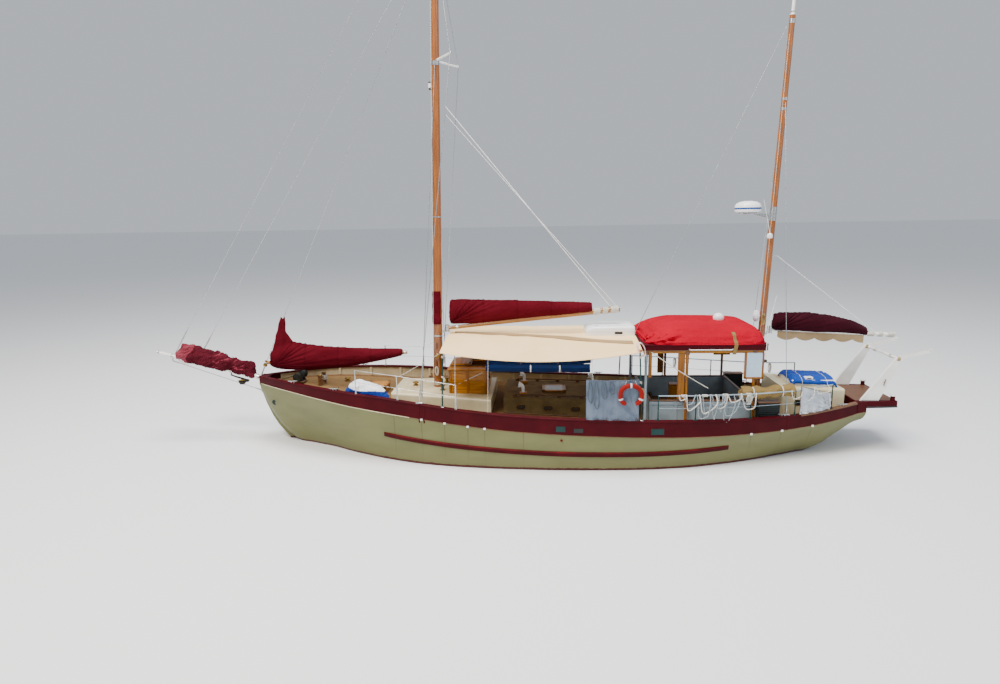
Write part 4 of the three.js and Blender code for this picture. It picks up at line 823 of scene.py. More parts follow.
@dataclass
class Hull:
    """The hull's skin with its strakes, mouldings, scuppers and freeing ports."""

    bow: float = 7.44
    stern: float = -8.45
    spacing: float = 0.15
    strake_fore: float = 3.6
    strake_aft: float = -4.8
    strake_depth: float = 0.118
    strake_proud: float = 0.038
    well: tuple[float, float, float, float] = (-5.3, -3.2, 0.9, 0.46)
    rudder_heel: tuple[float, float, float] = (-6.362, 0.0, -1.95)
    rudder_rake: float = math.atan2(0.6, 1.55)

    def strake_middle(self, x: float) -> float:
        """Gives the rubbing strake's height at x."""
        t = (x - self.strake_aft) / (self.strake_fore - self.strake_aft)
        return mix(0.47, 0.70, t) + 4 * t * (1 - t) * (0.43 - 0.585)

    def skin(self) -> None:
        """Builds the planked body, cut open for the cockpit well, the propeller and the rudder."""
        kit = Kit("hull_skin")
        kit.loft([mirrored(Lines.half(x)) for x in steps(self.bow, self.stern, self.spacing)], SHADED_CREAM_ENAMEL)
        body = kit.build(Body.YACHT, "topside_paint", "hull")
        tool = Kit("hull_cuts")
        aft, fore, side, sole = self.well
        tool.slab((aft, -side, sole), (fore, side, 1.2), DECK_PAINT, 0.0)
        tool.slab((-6.95, -0.4, -1.312), (-6.06, 0.4, -0.688), ANTIFOULING, 0.0)
        stock = Vector((-math.sin(self.rudder_rake), 0, math.cos(self.rudder_rake)))
        heel = Vector(self.rudder_heel)
        tool.rod(heel + stock * 1.38, heel + stock * 1.8, ANTIFOULING, 0.05, sides=20)
        tool.rod(heel - stock * 0.26, heel + stock * 0.09, ANTIFOULING, 0.1, sides=20)
        carve(body, tool)

    def strakes(self, kit: Kit) -> None:
        """Adds the two maroon rubbing strakes, scuffed to a lighter red along their upper edges."""
        places = steps(self.strake_fore, self.strake_aft, 0.2)
        with kit.both_sides():
            for rows, finish in ((((-1, -0.03), (-1, 0.55), (-0.62, 1.0), (0.5, 1.0), (0.5, -0.03)), MAROON_ENAMEL),
                                 (((0.5, -0.03), (0.5, 1.0), (0.7, 1.0), (1, 0.55), (1, -0.03)), STRAKE_ENAMEL)):
                rings = []
                for x in places:
                    end = min(abs(x - self.strake_fore), abs(x - self.strake_aft)) / 0.12
                    proud = self.strake_proud * min(0.2 + end, 1)
                    middle, half = self.strake_middle(x), self.strake_depth / 2
                    rings.append([(x, Lines.skin(x, middle + dz * half) + (dy * proud if dy > 0 else dy),
                                   middle + dz * half) for dz, dy in rows])
                kit.loft(rings, finish)

    def mouldings(self, kit: Kit) -> None:
        """Adds the slim half-round under the bulwarks, pale forward and of bare teak aft."""
        with kit.both_sides():
            for fore, aft, finish in ((7.40, 2.9, CABIN_ENAMEL), (2.9, -8.40, TEAK_RAIL)):
                kit.pipe([(x, Lines.side(x) + 0.002, Lines.at(x)["sheer_z"] + 0.002)
                          for x in steps(fore, aft, 0.2)], finish, 0.010, 6)

    def scuppers(self, kit: Kit) -> None:
        """Adds the white scupper lips under the bulwarks and the freeing ports in them."""
        with kit.both_sides():
            for x in SCUPPERS:
                y, z = Lines.side(x), Lines.at(x)["sheer_z"]
                kit.slab((x - 0.030, y - 0.01, z - 0.028), (x + 0.030, y + 0.018, z + 0.022), WHITE_ENAMEL, 0.008)
            for x, length, rise, finish in PORTS:
                self.port(kit, x, length, rise, finish)

    def port(self, kit: Kit, x: float, length: float, rise: float, finish: Finish) -> None:
        """Adds one freeing port: a flap let into the bulwark, in a black rim that is painted shade of the gap round it.

        Args:
            kit: the piece that it joins.
            x: its middle.
            length: its length.
            rise: its height.
            finish: what the flap is made of; black on the port whose open slot is painted shade.
        """
        low = Lines.at(x)["sheer_z"] + 0.085
        # a black rim, painted shade of the gap, then the flap
        for paint, grow, proud in ((BLACK_RUBBER_AND_SHADE, 0.010, 0.004), (finish, 0.0, 0.010)):
            kit.loft([[(px, Lines.side(px) - 0.02, low - grow), (px, Lines.side(px) + proud, low - grow),
                       (px, Lines.side(px) + proud, low + rise + grow), (px, Lines.side(px) - 0.02, low + rise + grow)]
                      for px in (x - length / 2 - grow, x + length / 2 + grow)], paint)

    def fittings(self, kit: Kit) -> None:
        """Adds the hawse rings, the bobstay's plate, the chainplates and a knob on the side."""
        with kit.both_sides():
            y, out = Lines.skin(6.93, 1.12), (0.35, 1, -0.25)
            kit.hoop((6.93, y + 0.004, 1.12), out, 0.060, 0.014, GREY_GREEN_PAINT)
            # a black disk inside the ring: painted shade of the hawse hole
            kit.turned((6.93, y - 0.02, 1.12), [(0.0, 0.055), (0.022, 0.055)], BLACK_RUBBER_AND_SHADE, axis=out)
            for px, long in ((2.64, 0.42), (2.52, 0.42), (-6.25, 0.30)):
                top = Lines.rail(px) - 0.04
                kit.slab((px - 0.018, Lines.side(px) - 0.004, top - long), (px + 0.018, Lines.side(px) + 0.010, top),
                         MAROON_ENAMEL, 0.004)
            kit.ball((-0.80, Lines.side(-0.80) + 0.012, Lines.at(-0.80)["sheer_z"] - 0.13), 0.030, STRAKE_ENAMEL)
        kit.slab((7.36, -0.03, 1.30), (7.445, 0.03, 1.50), STAINLESS, 0.006)

    def build(self) -> None:
        """Builds the hull's pieces."""
        self.skin()
        trim = Kit("hull_trim")
        self.strakes(trim)
        self.mouldings(trim)
        self.scuppers(trim)
        self.fittings(trim)
        trim.build(Body.YACHT, "maroon_paint")


@dataclass
class Bulwarks:
    """The maroon bulwarks and the rail that caps them."""

    thick: float = 0.09
    cap: float = 0.035
    inboard: float = 0.045
    outboard: float = 0.018
    stern: float = -8.19

    def wall(self, kit: Kit, fore: float, aft: float, outer: float, inner: float, low: Callable[[float], float],
             high: Callable[[float], float], finish: Finish) -> None:
        """Adds the same plank on both sides, joined across the stem where the sides meet.

        Args:
            kit: the piece that it joins.
            fore: where it starts.
            aft: where it ends.
            outer: its outer face, out from the sheer.
            inner: its inner face, in from the sheer.
            low: its lower edge's height by x.
            high: its upper edge's height by x.
            finish: what it is made of.
        """
        for side in (1, -1):
            rings = []
            for x in steps(fore, aft, 0.2):
                y = Lines.side(x)
                inside = max(y - inner, 0.0)
                rings.append([(x, side * (y + outer), low(x)), (x, side * (y + outer), high(x) - 0.008),
                              (x, side * (y + outer - 0.008), high(x)), (x, side * inside, high(x)),
                              (x, side * inside, low(x))])
            kit.loft(rings, finish)

    def build(self) -> None:
        """Builds the bulwarks, with timberheads inside, and the cap rail."""
        walls = Kit("bulwark_planking")
        self.wall(walls, 7.44, self.stern, 0.0, self.thick, lambda x: Lines.at(x)["sheer_z"],
                  lambda x: Lines.rail(x) - self.cap, MAROON_ENAMEL)
        self.wall(walls, 7.0, self.stern, -self.thick + 0.002, self.thick + 0.006,
                  lambda x: Lines.deck(x) + 0.002, lambda x: Lines.rail(x) - self.cap - 0.01, DECK_PAINT)
        for side in (1, -1):
            for x in steps(6.4, -7.9, 0.85):
                y = Lines.side(x) - self.thick
                walls.slab((x - 0.035, min(side * (y - 0.04), side * y), Lines.deck(x) + 0.004),
                           (x + 0.035, max(side * (y - 0.04), side * y), Lines.rail(x) - self.cap), DECK_PAINT, 0.01)
        walls.build(Body.YACHT, "maroon_paint", "bulwark")
        rail = Kit("cap_rail_planks")
        for fore, aft, finish in ((7.44, -6.6, MAROON_ENAMEL), (-6.6, self.stern, TEAK_RAIL)):
            self.wall(rail, fore, aft, self.outboard, self.thick + self.inboard,
                      lambda x: Lines.rail(x) - self.cap, Lines.rail, finish)
        rail.slab((7.15, -0.2, 1.757), (7.43, 0.2, 1.788), MAROON_ENAMEL, 0.008)
        for side in (1, -1):
            for x in (6.2, 4.9, -2.05, -6.15, -7.75):
                self.cleat(rail, x, side)
        rail.build(Body.YACHT, "teak", "cap_rail")

    def cleat(self, kit: Kit, x: float, side: int) -> None:
        """Adds a horned cleat on the cap rail.

        Args:
            kit: the piece that it joins.
            x: its middle.
            side: 1 for port, -1 for starboard.
        """
        y, z = side * (Lines.side(x) - 0.055), Lines.rail(x)
        for dx in (-0.035, 0.035):
            kit.rod((x + dx, y, z - 0.004), (x + dx, y, z + 0.04), STAINLESS, 0.014, sides=8)
        kit.pipe([(x - 0.13, y, z + 0.052), (x - 0.06, y, z + 0.045), (x + 0.06, y, z + 0.045),
                  (x + 0.13, y, z + 0.052)], STAINLESS, [0.007, 0.016, 0.016, 0.007])


@dataclass
class Deck:
    """The planked deck, its margin boards and the cockpit well."""

    well_fore: float = -3.2
    well_aft: float = -5.3
    well_side: float = 0.9
    sole: float = 0.4605
    margin: float = 0.16

    def edge(self, x: float) -> float:
        """Gives the deck's half-breadth inside the bulwarks."""
        return Lines.side(x) - 0.094

    def strip(self, kit: Kit, fore: float, aft: float, inner: float | None, finish: Finish) -> None:
        """Adds planking between two half-breadths.

        Args:
            kit: the piece that it joins.
            fore: where it starts.
            aft: where it ends.
            inner: its inner half-breadth, or None to run right across.
            finish: what it is made of.
        """
        for side in (1, -1) if inner is not None else (1,):
            rings = []
            for x in steps(fore, aft, 0.3):
                z, out = Lines.deck(x), self.edge(x)
                a, b = (-out, out) if inner is None else sorted((side * inner, side * out))
                rings.append([(x, a, z - 0.038), (x, a, z), (x, (a + b) / 2, z), (x, b, z), (x, b, z - 0.038)])
            kit.loft(rings, finish)

    def build(self) -> None:
        """Builds the deck and the well."""
        deck = Kit("deck_planking")
        for fore, aft, inner in ((7.1, self.well_fore, None), (self.well_fore, self.well_aft, self.well_side),
                                 (self.well_aft, -8.18, None)):
            self.strip(deck, fore, aft, inner, TEAK_DECK)
        for side in (1, -1):
            deck.loft([[(x, side * self.edge(x), Lines.deck(x) + dz) for dz in (-0.01, 0.004)]
                       + [(x, side * (self.edge(x) - self.margin), Lines.deck(x) + dz) for dz in (0.004, -0.01)]
                       for x in steps(6.6, -8.1, 0.3)], TEAK_RAIL)
        deck.build(Body.YACHT, "teak", "deck")
        well = Kit("cockpit_well_lining")
        a, f, y, s = self.well_aft, self.well_fore, self.well_side, self.sole
        top = Lines.deck(-4.2)
        for low, high in (((a + 0.001, -y + 0.001, s), (a + 0.025, y - 0.001, top)),
                          ((f - 0.025, -y + 0.001, s), (f - 0.001, y - 0.001, top)),
                          ((a + 0.001, -y + 0.001, s), (f - 0.001, -y + 0.025, top)),
                          ((a + 0.001, y - 0.025, s), (f - 0.001, y - 0.001, top))):
            well.slab(low, high, WHITE_ENAMEL, 0.004)
        for y0 in steps(-y + 0.03, y - 0.03, 0.08)[:-1]:  # teak slats of the sole's grating
            well.slab((a + 0.03, y0 + 0.006, s + 0.002), (f - 0.03, y0 + 0.066, s + 0.03), TEAK_RAIL, 0.005)
        for side in (1, -1):  # benches along the sides
            low, high = sorted((side * 0.52, side * 0.875))
            well.slab((a + 0.03, low, s + 0.03), (f - 0.03, high, s + 0.40), WHITE_ENAMEL, 0.01)
            well.slab((a + 0.03, low - 0.01, s + 0.40), (f - 0.03, high, s + 0.435), TEAK_RAIL, 0.008)
        well.build(Body.YACHT, "teak")


# Deck works


def roof_z(fore: tuple[float, float], aft: tuple[float, float], x: float) -> float:
    """Gives a roof's height at x, from the (x, z) of its two ends."""
    return mix(aft[1], fore[1], (x - aft[0]) / (fore[0] - aft[0]))


# Each roof line is the (x, z) of its fore end and of its aft end.
FORWARD_ROOF = ((3.6, 1.51), (0.95, 1.43))
MID_ROOF = ((0.64, 1.42), (-2.42, 1.33))
AFT_ROOF = ((-6.42, 1.64), (-8.0, 1.56))


@dataclass
class Coachroof:
    """A low cabin: rounded trunk, crowned roof, portlights and handrails."""

    name: str
    node: str
    fore: tuple[float, float]
    aft: tuple[float, float]
    fore_y: float
    aft_y: float
    side: Finish
    top: Finish
    lights: tuple[float, ...] = ()
    rails: tuple[float, float] | None = None
    shoulder: float = 0.06

    def half(self, x: float) -> float:
        """Gives the trunk's half-breadth at x."""
        return mix(self.aft_y, self.fore_y, (x - self.aft[0]) / (self.fore[0] - self.aft[0]))

    def top_z(self, x: float) -> float:
        """Gives the roof's height at x."""
        return roof_z(self.fore, self.aft, x)

    def section(self, x: float) -> Ring:
        """Gives the trunk's section at x."""
        y, top, r = self.half(x), self.top_z(x), self.shoulder
        port = [(x, y, Lines.deck(x) + 0.001)]
        port += [(x, y - r + r * math.cos(a), top - r + r * math.sin(a) - 0.004)
                 for a in (math.pi / 2 * k / 5 for k in range(6))]
        return mirrored(port)

    def build(self) -> None:
        """Builds the cabin with its lights, its rails and the trim at its foot."""
        kit = Kit(self.name)
        places = steps(self.fore[0], self.aft[0], 0.25)
        kit.loft([self.section(x) for x in places], self.side)
        kit.loft([[(x, y, self.top_z(x) - 0.006 + dz) for y, dz in
                   ((-self.half(x) + 0.07, 0.0), (-self.half(x) + 0.075, 0.006), (self.half(x) - 0.075, 0.006),
                    (self.half(x) - 0.07, 0.0))] for x in places[1:-1]], self.top)
        for side in (1, -1):
            kit.pipe([(x, side * (self.half(x) + 0.006), Lines.deck(x) + 0.018) for x in places], TEAK_RAIL, 0.016, 6)
            for x in self.lights:
                self.light(kit, x, side)
            if self.rails:
                self.handrail(kit, side)
        kit.build(Body.YACHT, "topside_paint", self.node)

    def light(self, kit: Kit, x: float, side: int) -> None:
        """Adds an oval portlight with a bronze frame.

        Args:
            kit: the piece that it joins.
            x: its middle.
            side: 1 for port, -1 for starboard.
        """
        middle = (Lines.deck(x) + self.top_z(x) - self.shoulder) / 2 + 0.01
        reach = min((self.top_z(x) - self.shoulder - Lines.deck(x)) * 0.36, 0.062)
        for finish, grow, proud in ((BRONZE, 0.014, 0.010), (DARK_GLASS, 0.0, 0.013)):
            ring = [(math.copysign(reach * 0.9, c) + (reach + grow) * c, (reach + grow) * s)
                    for c, s in circle(20, first=0.5)]
            kit.loft([[(x + dx, side * (self.half(x + dx) + out), middle + dz) for dx, dz in ring]
                      for out in (-0.01, proud)], finish)

    def handrail(self, kit: Kit, side: int) -> None:
        """Adds a teak grab rail on its blocks along the roof.

        Args:
            kit: the piece that it joins.
            side: 1 for port, -1 for starboard.
        """
        start, end = self.rails
        line = [(x, side * (self.half(x) - 0.16), self.top_z(x) + 0.055) for x in steps(start, end, 0.3)]
        kit.pipe(line, TEAK_RAIL, 0.017, 8)
        for x, y, z in line[::2]:
            kit.slab((x - 0.05, y - 0.014, z - 0.06), (x + 0.05, y + 0.014, z - 0.008), TEAK_RAIL, 0.01)


@dataclass
class Deckhouse:
    """The varnished house abaft the mainmast, with windows and a sliding hatch."""

    fore: float = 2.08
    aft: float = 1.08
    half: float = 0.72
    top: float = 2.12
    roof_fore: tuple[float, float] = (3.6, 1.51)
    roof_aft: tuple[float, float] = (0.95, 1.43)

    def foot(self, x: float) -> float:
        """Gives the height of the cabin roof that it stands on."""
        return roof_z(self.roof_fore, self.roof_aft, x)

    def build(self) -> None:
        """Builds the house and its hatch."""
        kit = Kit("deckhouse_joinery")
        low = self.foot(self.aft) + 0.003
        thick, y, ceiling = 0.04, self.half, self.top - 0.04
        for side in (1, -1):  # framed sides
            a, b = sorted((side * (y - thick), side * y))
            kit.slab((self.aft, a, low), (self.fore, b, ceiling), TEAK_JOINERY, 0.006)
            self.frame(kit, side)
        kit.slab((self.fore - thick, -y, low + 0.02), (self.fore, y, ceiling), TEAK_JOINERY, 0.006)
        for side in (1, -1):
            a, b = sorted((side * 0.28, side * y))
            kit.slab((self.aft, a, low), (self.aft + thick, b, ceiling), TEAK_JOINERY, 0.006)
        kit.slab((self.aft, -0.28, low), (self.aft + thick, 0.28, self.top - 0.485), TEAK_JOINERY, 0.004)
        for window_y in (-0.36, 0.36):  # forward windows
            kit.slab((self.fore - 0.01, window_y - 0.25, low + 0.20), (self.fore + 0.012, window_y + 0.25, low + 0.48),
                     TEAK_RAIL, 0.012)
            kit.slab((self.fore - 0.005, window_y - 0.21, low + 0.24), (self.fore + 0.016, window_y + 0.21, low + 0.44),
                     DARK_GLASS, 0.01)
        self.roof(kit)
        kit.build(Body.YACHT, "varnished_wood", "deckhouse")
        self.hatch()

    def frame(self, kit: Kit, side: int) -> None:
        """Adds stiles, rails and windows to one side.

        Args:
            kit: the piece that it joins.
            side: 1 for port, -1 for starboard.
        """
        low, face = self.foot(self.aft) + 0.02, side * self.half

        def board(x0: float, x1: float, z0: float, z1: float, proud: float, finish: Finish) -> None:
            """Adds one flat board or pane on the side."""
            a, b = sorted((face - side * 0.01, face + side * proud))
            kit.slab((x0, a, z0), (x1, b, z1), finish, 0.006)

        high = self.top - 0.05
        for x0, x1 in ((self.aft, self.aft + 0.07), (self.fore - 0.07, self.fore), (1.545, 1.615)):
            board(x0, x1, low, high, 0.014, TEAK_POSTS)
        for z0, z1 in ((low, low + 0.09), (high - 0.07, high), (low + 0.29, low + 0.34)):
            board(self.aft, self.fore, z0, z1, 0.012, TEAK_JOINERY)
        for x0, x1 in ((1.17, 1.53), (1.63, 1.99)):
            board(x0, x1, low + 0.35, high - 0.08, 0.004, TEAK_JOINERY)

    def roof(self, kit: Kit) -> None:
        """Adds the roof with its eave, open over the companionway.

        Args:
            kit: the piece that it joins.
        """
        reach, low, top = self.half + 0.05, self.top - 0.04, self.top
        kit.slab((self.aft + 0.47, -reach, low), (self.fore + 0.04, reach, top), TEAK_JOINERY, 0.012)
        for side in (1, -1):
            a, b = sorted((side * 0.33, side * reach))
            kit.slab((self.aft - 0.04, a, low), (self.aft + 0.47, b, top), TEAK_JOINERY, 0.012)
            a, b = sorted((side * 0.40, side * 0.43))
            kit.slab((self.aft - 0.02, a, top - 0.005), (self.fore - 0.02, b, top + 0.03), TEAK_RAIL, 0.006)

    def hatch(self) -> None:
        """Builds the sliding hatch with its battens and its grip."""
        kit = Kit("deckhouse_sliding_hatch")
        top = self.top
        kit.slab((self.fore - 0.52, -0.388, top + 0.001), (self.fore + 0.01, 0.388, top + 0.052), TEAK_JOINERY, 0.012)
        for x in (1.60, 1.70, 1.80, 1.90, 2.00):
            kit.slab((x - 0.04, -0.36, top + 0.045), (x + 0.04, 0.36, top + 0.06), TEAK_POSTS, 0.004)
        kit.slab((self.fore - 0.54, -0.30, top + 0.04), (self.fore - 0.49, 0.30, top + 0.085), TEAK_RAIL, 0.01)
        kit.build(Body.DECKHOUSE_HATCH, "varnished_wood", "deckhouse_hatch")


@dataclass
class Hatch:
    """A hinged lid in a teak frame."""

    name: str
    node: str
    body: Body
    fore: float
    aft: float
    half: float
    low: float
    thick: float
    glazed: bool

    def build(self) -> None:
        """Builds the lid."""
        kit = Kit(self.name)
        top = self.low + self.thick
        kit.slab((self.aft, -self.half, self.low + 0.001), (self.fore, self.half, top - 0.012), TEAK_POSTS, 0.01)
        rim = 0.075
        for low, high in (((self.aft, -self.half), (self.aft + rim, self.half)),
                          ((self.fore - rim, -self.half), (self.fore, self.half)),
                          ((self.aft, -self.half), (self.fore, -self.half + rim)),
                          ((self.aft, self.half - rim), (self.fore, self.half))):
            kit.slab((*low, top - 0.018), (*high, top - 0.002), TEAK_JOINERY, 0.006)
        inside = DARK_GLASS if self.glazed else TEAK_JOINERY
        kit.slab((self.aft + rim, -self.half + rim, top - 0.02), (self.fore - rim, self.half - rim, top - 0.007),
                 inside, 0.004)
        for y in steps(-self.half + 0.14, self.half - 0.14, 0.12):
            kit.rod((self.aft + 0.05, y, top - 0.008), (self.fore - 0.05, y, top - 0.008), BRONZE, 0.005, sides=6)
        for side in (1, -1):
            kit.slab((self.fore - 0.09, side * self.half * 0.6 - 0.03, top - 0.006),
                     (self.fore - 0.002, side * self.half * 0.6 + 0.03, top), BRONZE, 0.002)
        kit.build(self.body, "varnished_wood", self.node)


@dataclass
class Foredeck:
    """What stands on the foredeck: hatch frame, windlass, bitts and mushroom vents."""

    hatch_fore: float = 4.42
    hatch_aft: float = 3.88
    hatch_half: float = 0.28
    board: float = 0.04
    windlass_x: float = 6.31
    cheek_y: float = 0.10
    # how far ahead of the windlass's middle, and how high
    cheek: tuple[tuple[float, float], ...] = ((-0.12, 0.04), (0.12, 0.04), (0.07, 0.15), (0.05, 0.26), (-0.05, 0.26),
                                              (-0.07, 0.15))
    axle: float = 0.19
    barrel_y: float = -0.283
    # distance along the axle, and radius: one warping end, the drum, the other warping end
    barrel: tuple[tuple[float, float], ...] = (
        (0.0, 0.112), (0.014, 0.118), (0.03, 0.09), (0.09, 0.062), (0.13, 0.066), (0.165, 0.05),
        (0.20, 0.05), (0.205, 0.082), (0.36, 0.082), (0.365, 0.05),
        (0.40, 0.05), (0.435, 0.066), (0.475, 0.062), (0.535, 0.09), (0.552, 0.118), (0.566, 0.112))
    ratchet_r: float = 0.083
    teeth: int = 14
    link: float = 0.011
    bitts_x: float = 5.70
    bitts_y: float = 0.17
    vents: tuple[tuple[float, float], ...] = ((5.15, 0.55), (5.15, -0.55), (3.1, 0.0))
    vent: tuple[tuple[float, float], ...] = ((0, 0.07), (0.03, 0.06), (0.035, 0.04), (0.07, 0.04), (0.075, 0.085),
                                             (0.095, 0.08), (0.11, 0.05))

    def hatch_frame(self) -> None:
        """Builds the fore hatch's coaming, a box of four boards."""
        kit = Kit("fore_hatch_boards")
        low, top = Lines.deck(3.9) - 0.002, Lines.deck(self.hatch_fore) + 0.108
        aft, fore, half, board = self.hatch_aft, self.hatch_fore, self.hatch_half, self.board
        for x0, x1, y0, y1 in ((aft, aft + board, -half, half), (fore - board, fore, -half, half),
                               (aft, fore, -half, board - half), (aft, fore, half - board, half)):
            kit.slab((x0, y0, low), (x1, y1, top), TEAK_JOINERY)
        # a black plate across the opening: painted shade of the space below
        kit.slab((aft + 0.05, 0.05 - half, low - 0.02), (fore - 0.05, half - 0.05, low + 0.004), BLACK_RUBBER_AND_SHADE, 0.002)
        kit.build(Body.YACHT, "varnished_wood", "fore_hatch")

    def windlass(self) -> None:
        """Builds the windlass: a cast frame, a drum, warping ends and a ratchet wheel."""
        kit = Kit("windlass_ironwork")
        x, z = self.windlass_x, Lines.deck(6.45) + 0.001
        kit.slab((x - 0.135, -0.145, z - 0.004), (x + 0.135, 0.145, z + 0.05), TEAK_RAIL, 0.012)
        for y in (-self.cheek_y, self.cheek_y):
            kit.plate([(x + ahead, z + up) for ahead, up in self.cheek], y - 0.018, y + 0.018, GALVANISED)
        axle, tooth = z + self.axle, Vector((0.01, 0.045, 0.01))
        kit.turned((x, self.barrel_y, axle), self.barrel, GALVANISED, axis=(0, 1, 0), sides=22)
        for c, s in circle(self.teeth):
            centre = Vector((x + self.ratchet_r * c, 0, axle + self.ratchet_r * s))
            kit.slab(centre - tooth, centre + tooth, GALVANISED, 0.004)
        chain = hanging((x - 0.02, 0.0, axle + 0.09), (x + 0.55, 0.0, Lines.deck(6.8) + 0.06), 0.03, 14)
        for k, (a, b) in enumerate(zip(chain, chain[1:])):
            side = Vector((0, self.link, 0)) if k % 2 else Vector((0, 0, self.link))
            kit.pipe([a - side, a + side, b + side, b - side, a - side], GALVANISED, 0.005, 5)
        kit.build(Body.YACHT, "anchor_iron", "windlass")

    def bitts(self) -> None:
        """Builds the twin mooring posts with their crossbar, and the mushroom vents."""
        kit = Kit("foredeck_bitts")
        x, z = self.bitts_x, Lines.deck(self.bitts_x)
        for y in (self.bitts_y, -self.bitts_y):
            kit.slab((x - 0.05, y - 0.05, z), (x + 0.05, y + 0.05, z + 0.30), TEAK_RAIL, 0.014)
            kit.slab((x - 0.056, y - 0.056, z + 0.285), (x + 0.056, y + 0.056, z + 0.305), BRONZE, 0.008)
        kit.rod((x, -0.30, z + 0.18), (x, 0.30, z + 0.18), BRONZE, 0.018)
        kit.whipped((x, -0.16, z + 0.10), (x, -0.16, z + 0.24), 0.07, WHITE_ROPE, 5, 0.009)
        for x, y in self.vents:
            base = Lines.deck(x) if x > FORWARD_ROOF[0][0] else roof_z(*FORWARD_ROOF, x)
            kit.turned((x, y, base - 0.002), self.vent, BRONZE, sides=18)
        kit.build(Body.YACHT, "bronze")

    def build(self) -> None:
        """Builds the foredeck's pieces."""
        self.hatch_frame()
        self.windlass()
        self.bitts()


@dataclass
class DeckGear:
    """Deck fittings amidships: winches, cowl vents and the pin rails at the main shrouds."""

    # distance up the winch, and radius
    drum: tuple[tuple[float, float], ...] = ((0, 0.075), (0.02, 0.072), (0.03, 0.05), (0.07, 0.043), (0.11, 0.05),
                                             (0.13, 0.062), (0.145, 0.06))
    mast_winch: tuple[float, float] = (2.30, 0.42)
    cockpit_winch: tuple[float, float] = (-3.42, 1.10)
    cowls: tuple[float, ...] = (0.15, -1.75)
    cowl_y: float = 0.62
    pin_rail_fore: float = 3.05
    pin_rail_aft: float = 2.18
    pin: tuple[tuple[float, float], ...] = ((0, 0.009), (0.08, 0.009), (0.105, 0.015), (0.15, 0.017), (0.19, 0.009))

    def winch(self, kit: Kit, x: float, y: float, z: float) -> None:
        """Adds one bronze winch."""
        kit.turned((x, y, z - 0.002), self.drum, BRONZE, sides=20)

    def cowl(self, kit: Kit, x: float, y: float, z: float) -> None:
        """Adds a cowl ventilator that faces forward."""
        kit.slab((x - 0.09, y - 0.09, z - 0.002), (x + 0.09, y + 0.09, z + 0.07), TEAK_JOINERY, 0.01)
        path = spline([(x, y, z + 0.06), (x, y, z + 0.17), (x + 0.03, y, z + 0.24), (x + 0.12, y, z + 0.27)], 4)
        radii = [mix(0.042, 0.085, (k / (len(path) - 1)) ** 3) for k in range(len(path))]
        kit.pipe(path, WHITE_GELCOAT, radii, 14)
        kit.rod((x + 0.119, y, z + 0.269), (x + 0.124, y, z + 0.272), MAROON_ENAMEL, 0.072, 0.072, 14)

    def pin_rail(self, kit: Kit, side: int) -> None:
        """Adds the rail of belaying pins inside one bulwark, with a turn of rope on each pin."""
        aft, fore = self.pin_rail_aft, self.pin_rail_fore
        y = side * (Lines.side(fore) - 0.16)
        kit.slab((aft, y - 0.05, 1.30), (fore, y + 0.05, 1.325), TEAK_RAIL, 0.008)
        for x in steps(aft + 0.09, fore - 0.09, 0.17):
            kit.turned((x, y, 1.22), self.pin, TEAK_POSTS, sides=8)
            kit.hoop((x, y, 1.26), (0, 0, 1), 0.03, 0.008, WHITE_ROPE, 1.0, 5, 12)

    def build(self) -> None:
        """Builds the fittings."""
        kit = Kit("deck_fittings")
        for side in (1, -1):
            x, y = self.mast_winch
            self.winch(kit, x, side * y, roof_z(*FORWARD_ROOF, x) - 0.003)
            x, y = self.cockpit_winch
            self.winch(kit, x, side * y, Lines.deck(x))
            for x in self.cowls:
                self.cowl(kit, x, side * self.cowl_y, roof_z(*MID_ROOF, x) - 0.003)
            self.pin_rail(kit, side)
        kit.build(Body.YACHT, "bronze")


# Rig


MAIN_FOOT, MAIN_TOP = Vector((2.474, 0, 1.483)), Vector((2.152, 0, 14.9))
MIZZEN_FOOT, MIZZEN_HEAD = Vector((-5.99, 0, 0.846)), Vector((-6.39, 0, 10.63))


def mast_at(foot: Vector, top: Vector, z: float) -> Vector:
    """Gives the point on a mast's middle line at a height."""
    return between(foot, top, (z - foot.z) / (top.z - foot.z))


def main_at(z: float) -> Vector:
    """Gives the mainmast's middle at a height."""
    return mast_at(MAIN_FOOT, MAIN_TOP, z)


def mizzen_at(z: float) -> Vector:
    """Gives the mizzenmast's middle at a height."""
    return mast_at(MIZZEN_FOOT, MIZZEN_HEAD, z)


@dataclass
class Bowsprit:
    """The white bowsprit with its bobstay and end ring."""

    heel: Vector = Vector((7.19, 0, 1.664))
    tip: Vector = Vector((10.33, 0, 2.452))
    heel_r: float = 0.072
    tip_r: float = 0.042
    bands: tuple[tuple[float, float], ...] = ((9.90, 0.012), (8.26, 0.005), (7.5, 0.005), (10.28, 0.005))  # x, proud
    bobstay_foot: Vector = Vector((7.43, 0, 1.362))
    bobstay_head: Vector = Vector((9.9, 0, 2.2))

    def at(self, x: float) -> Vector:
        """Gives the sprit's middle at x."""
        return between(self.heel, self.tip, (x - self.heel.x) / (self.tip.x - self.heel.x))

    def build(self) -> None:
        """Builds the sprit, its bands and the bobstay with the fittings at its ends."""
        kit = Kit("bowsprit_spar")
        kit.rod(self.heel, self.tip, WHITE_ENAMEL, self.heel_r, self.tip_r, 20)
        for x, proud in self.bands:
            radius = mix(self.heel_r, self.tip_r, (x - self.heel.x) / (self.tip.x - self.heel.x))
            kit.rod(self.at(x - 0.03), self.at(x + 0.03), STAINLESS, radius + proud, radius + proud, 18)
        kit.rod(self.bobstay_foot, self.bobstay_head, STAINLESS, 0.009, sides=8)
        kit.rod(self.bobstay_foot, self.bobstay_foot + Vector((0.19, 0, 0.065)), STAINLESS, 0.02, 0.014, 8)
        kit.rod(self.bobstay_head - Vector((0.2, 0, 0.068)), self.bobstay_head, STAINLESS, 0.016, 0.02, 8)
        kit.rod((9.9, 0, 2.19), self.at(9.9), STAINLESS, 0.02, sides=10)
        kit.build(Body.YACHT, "white_paint", "bowsprit")


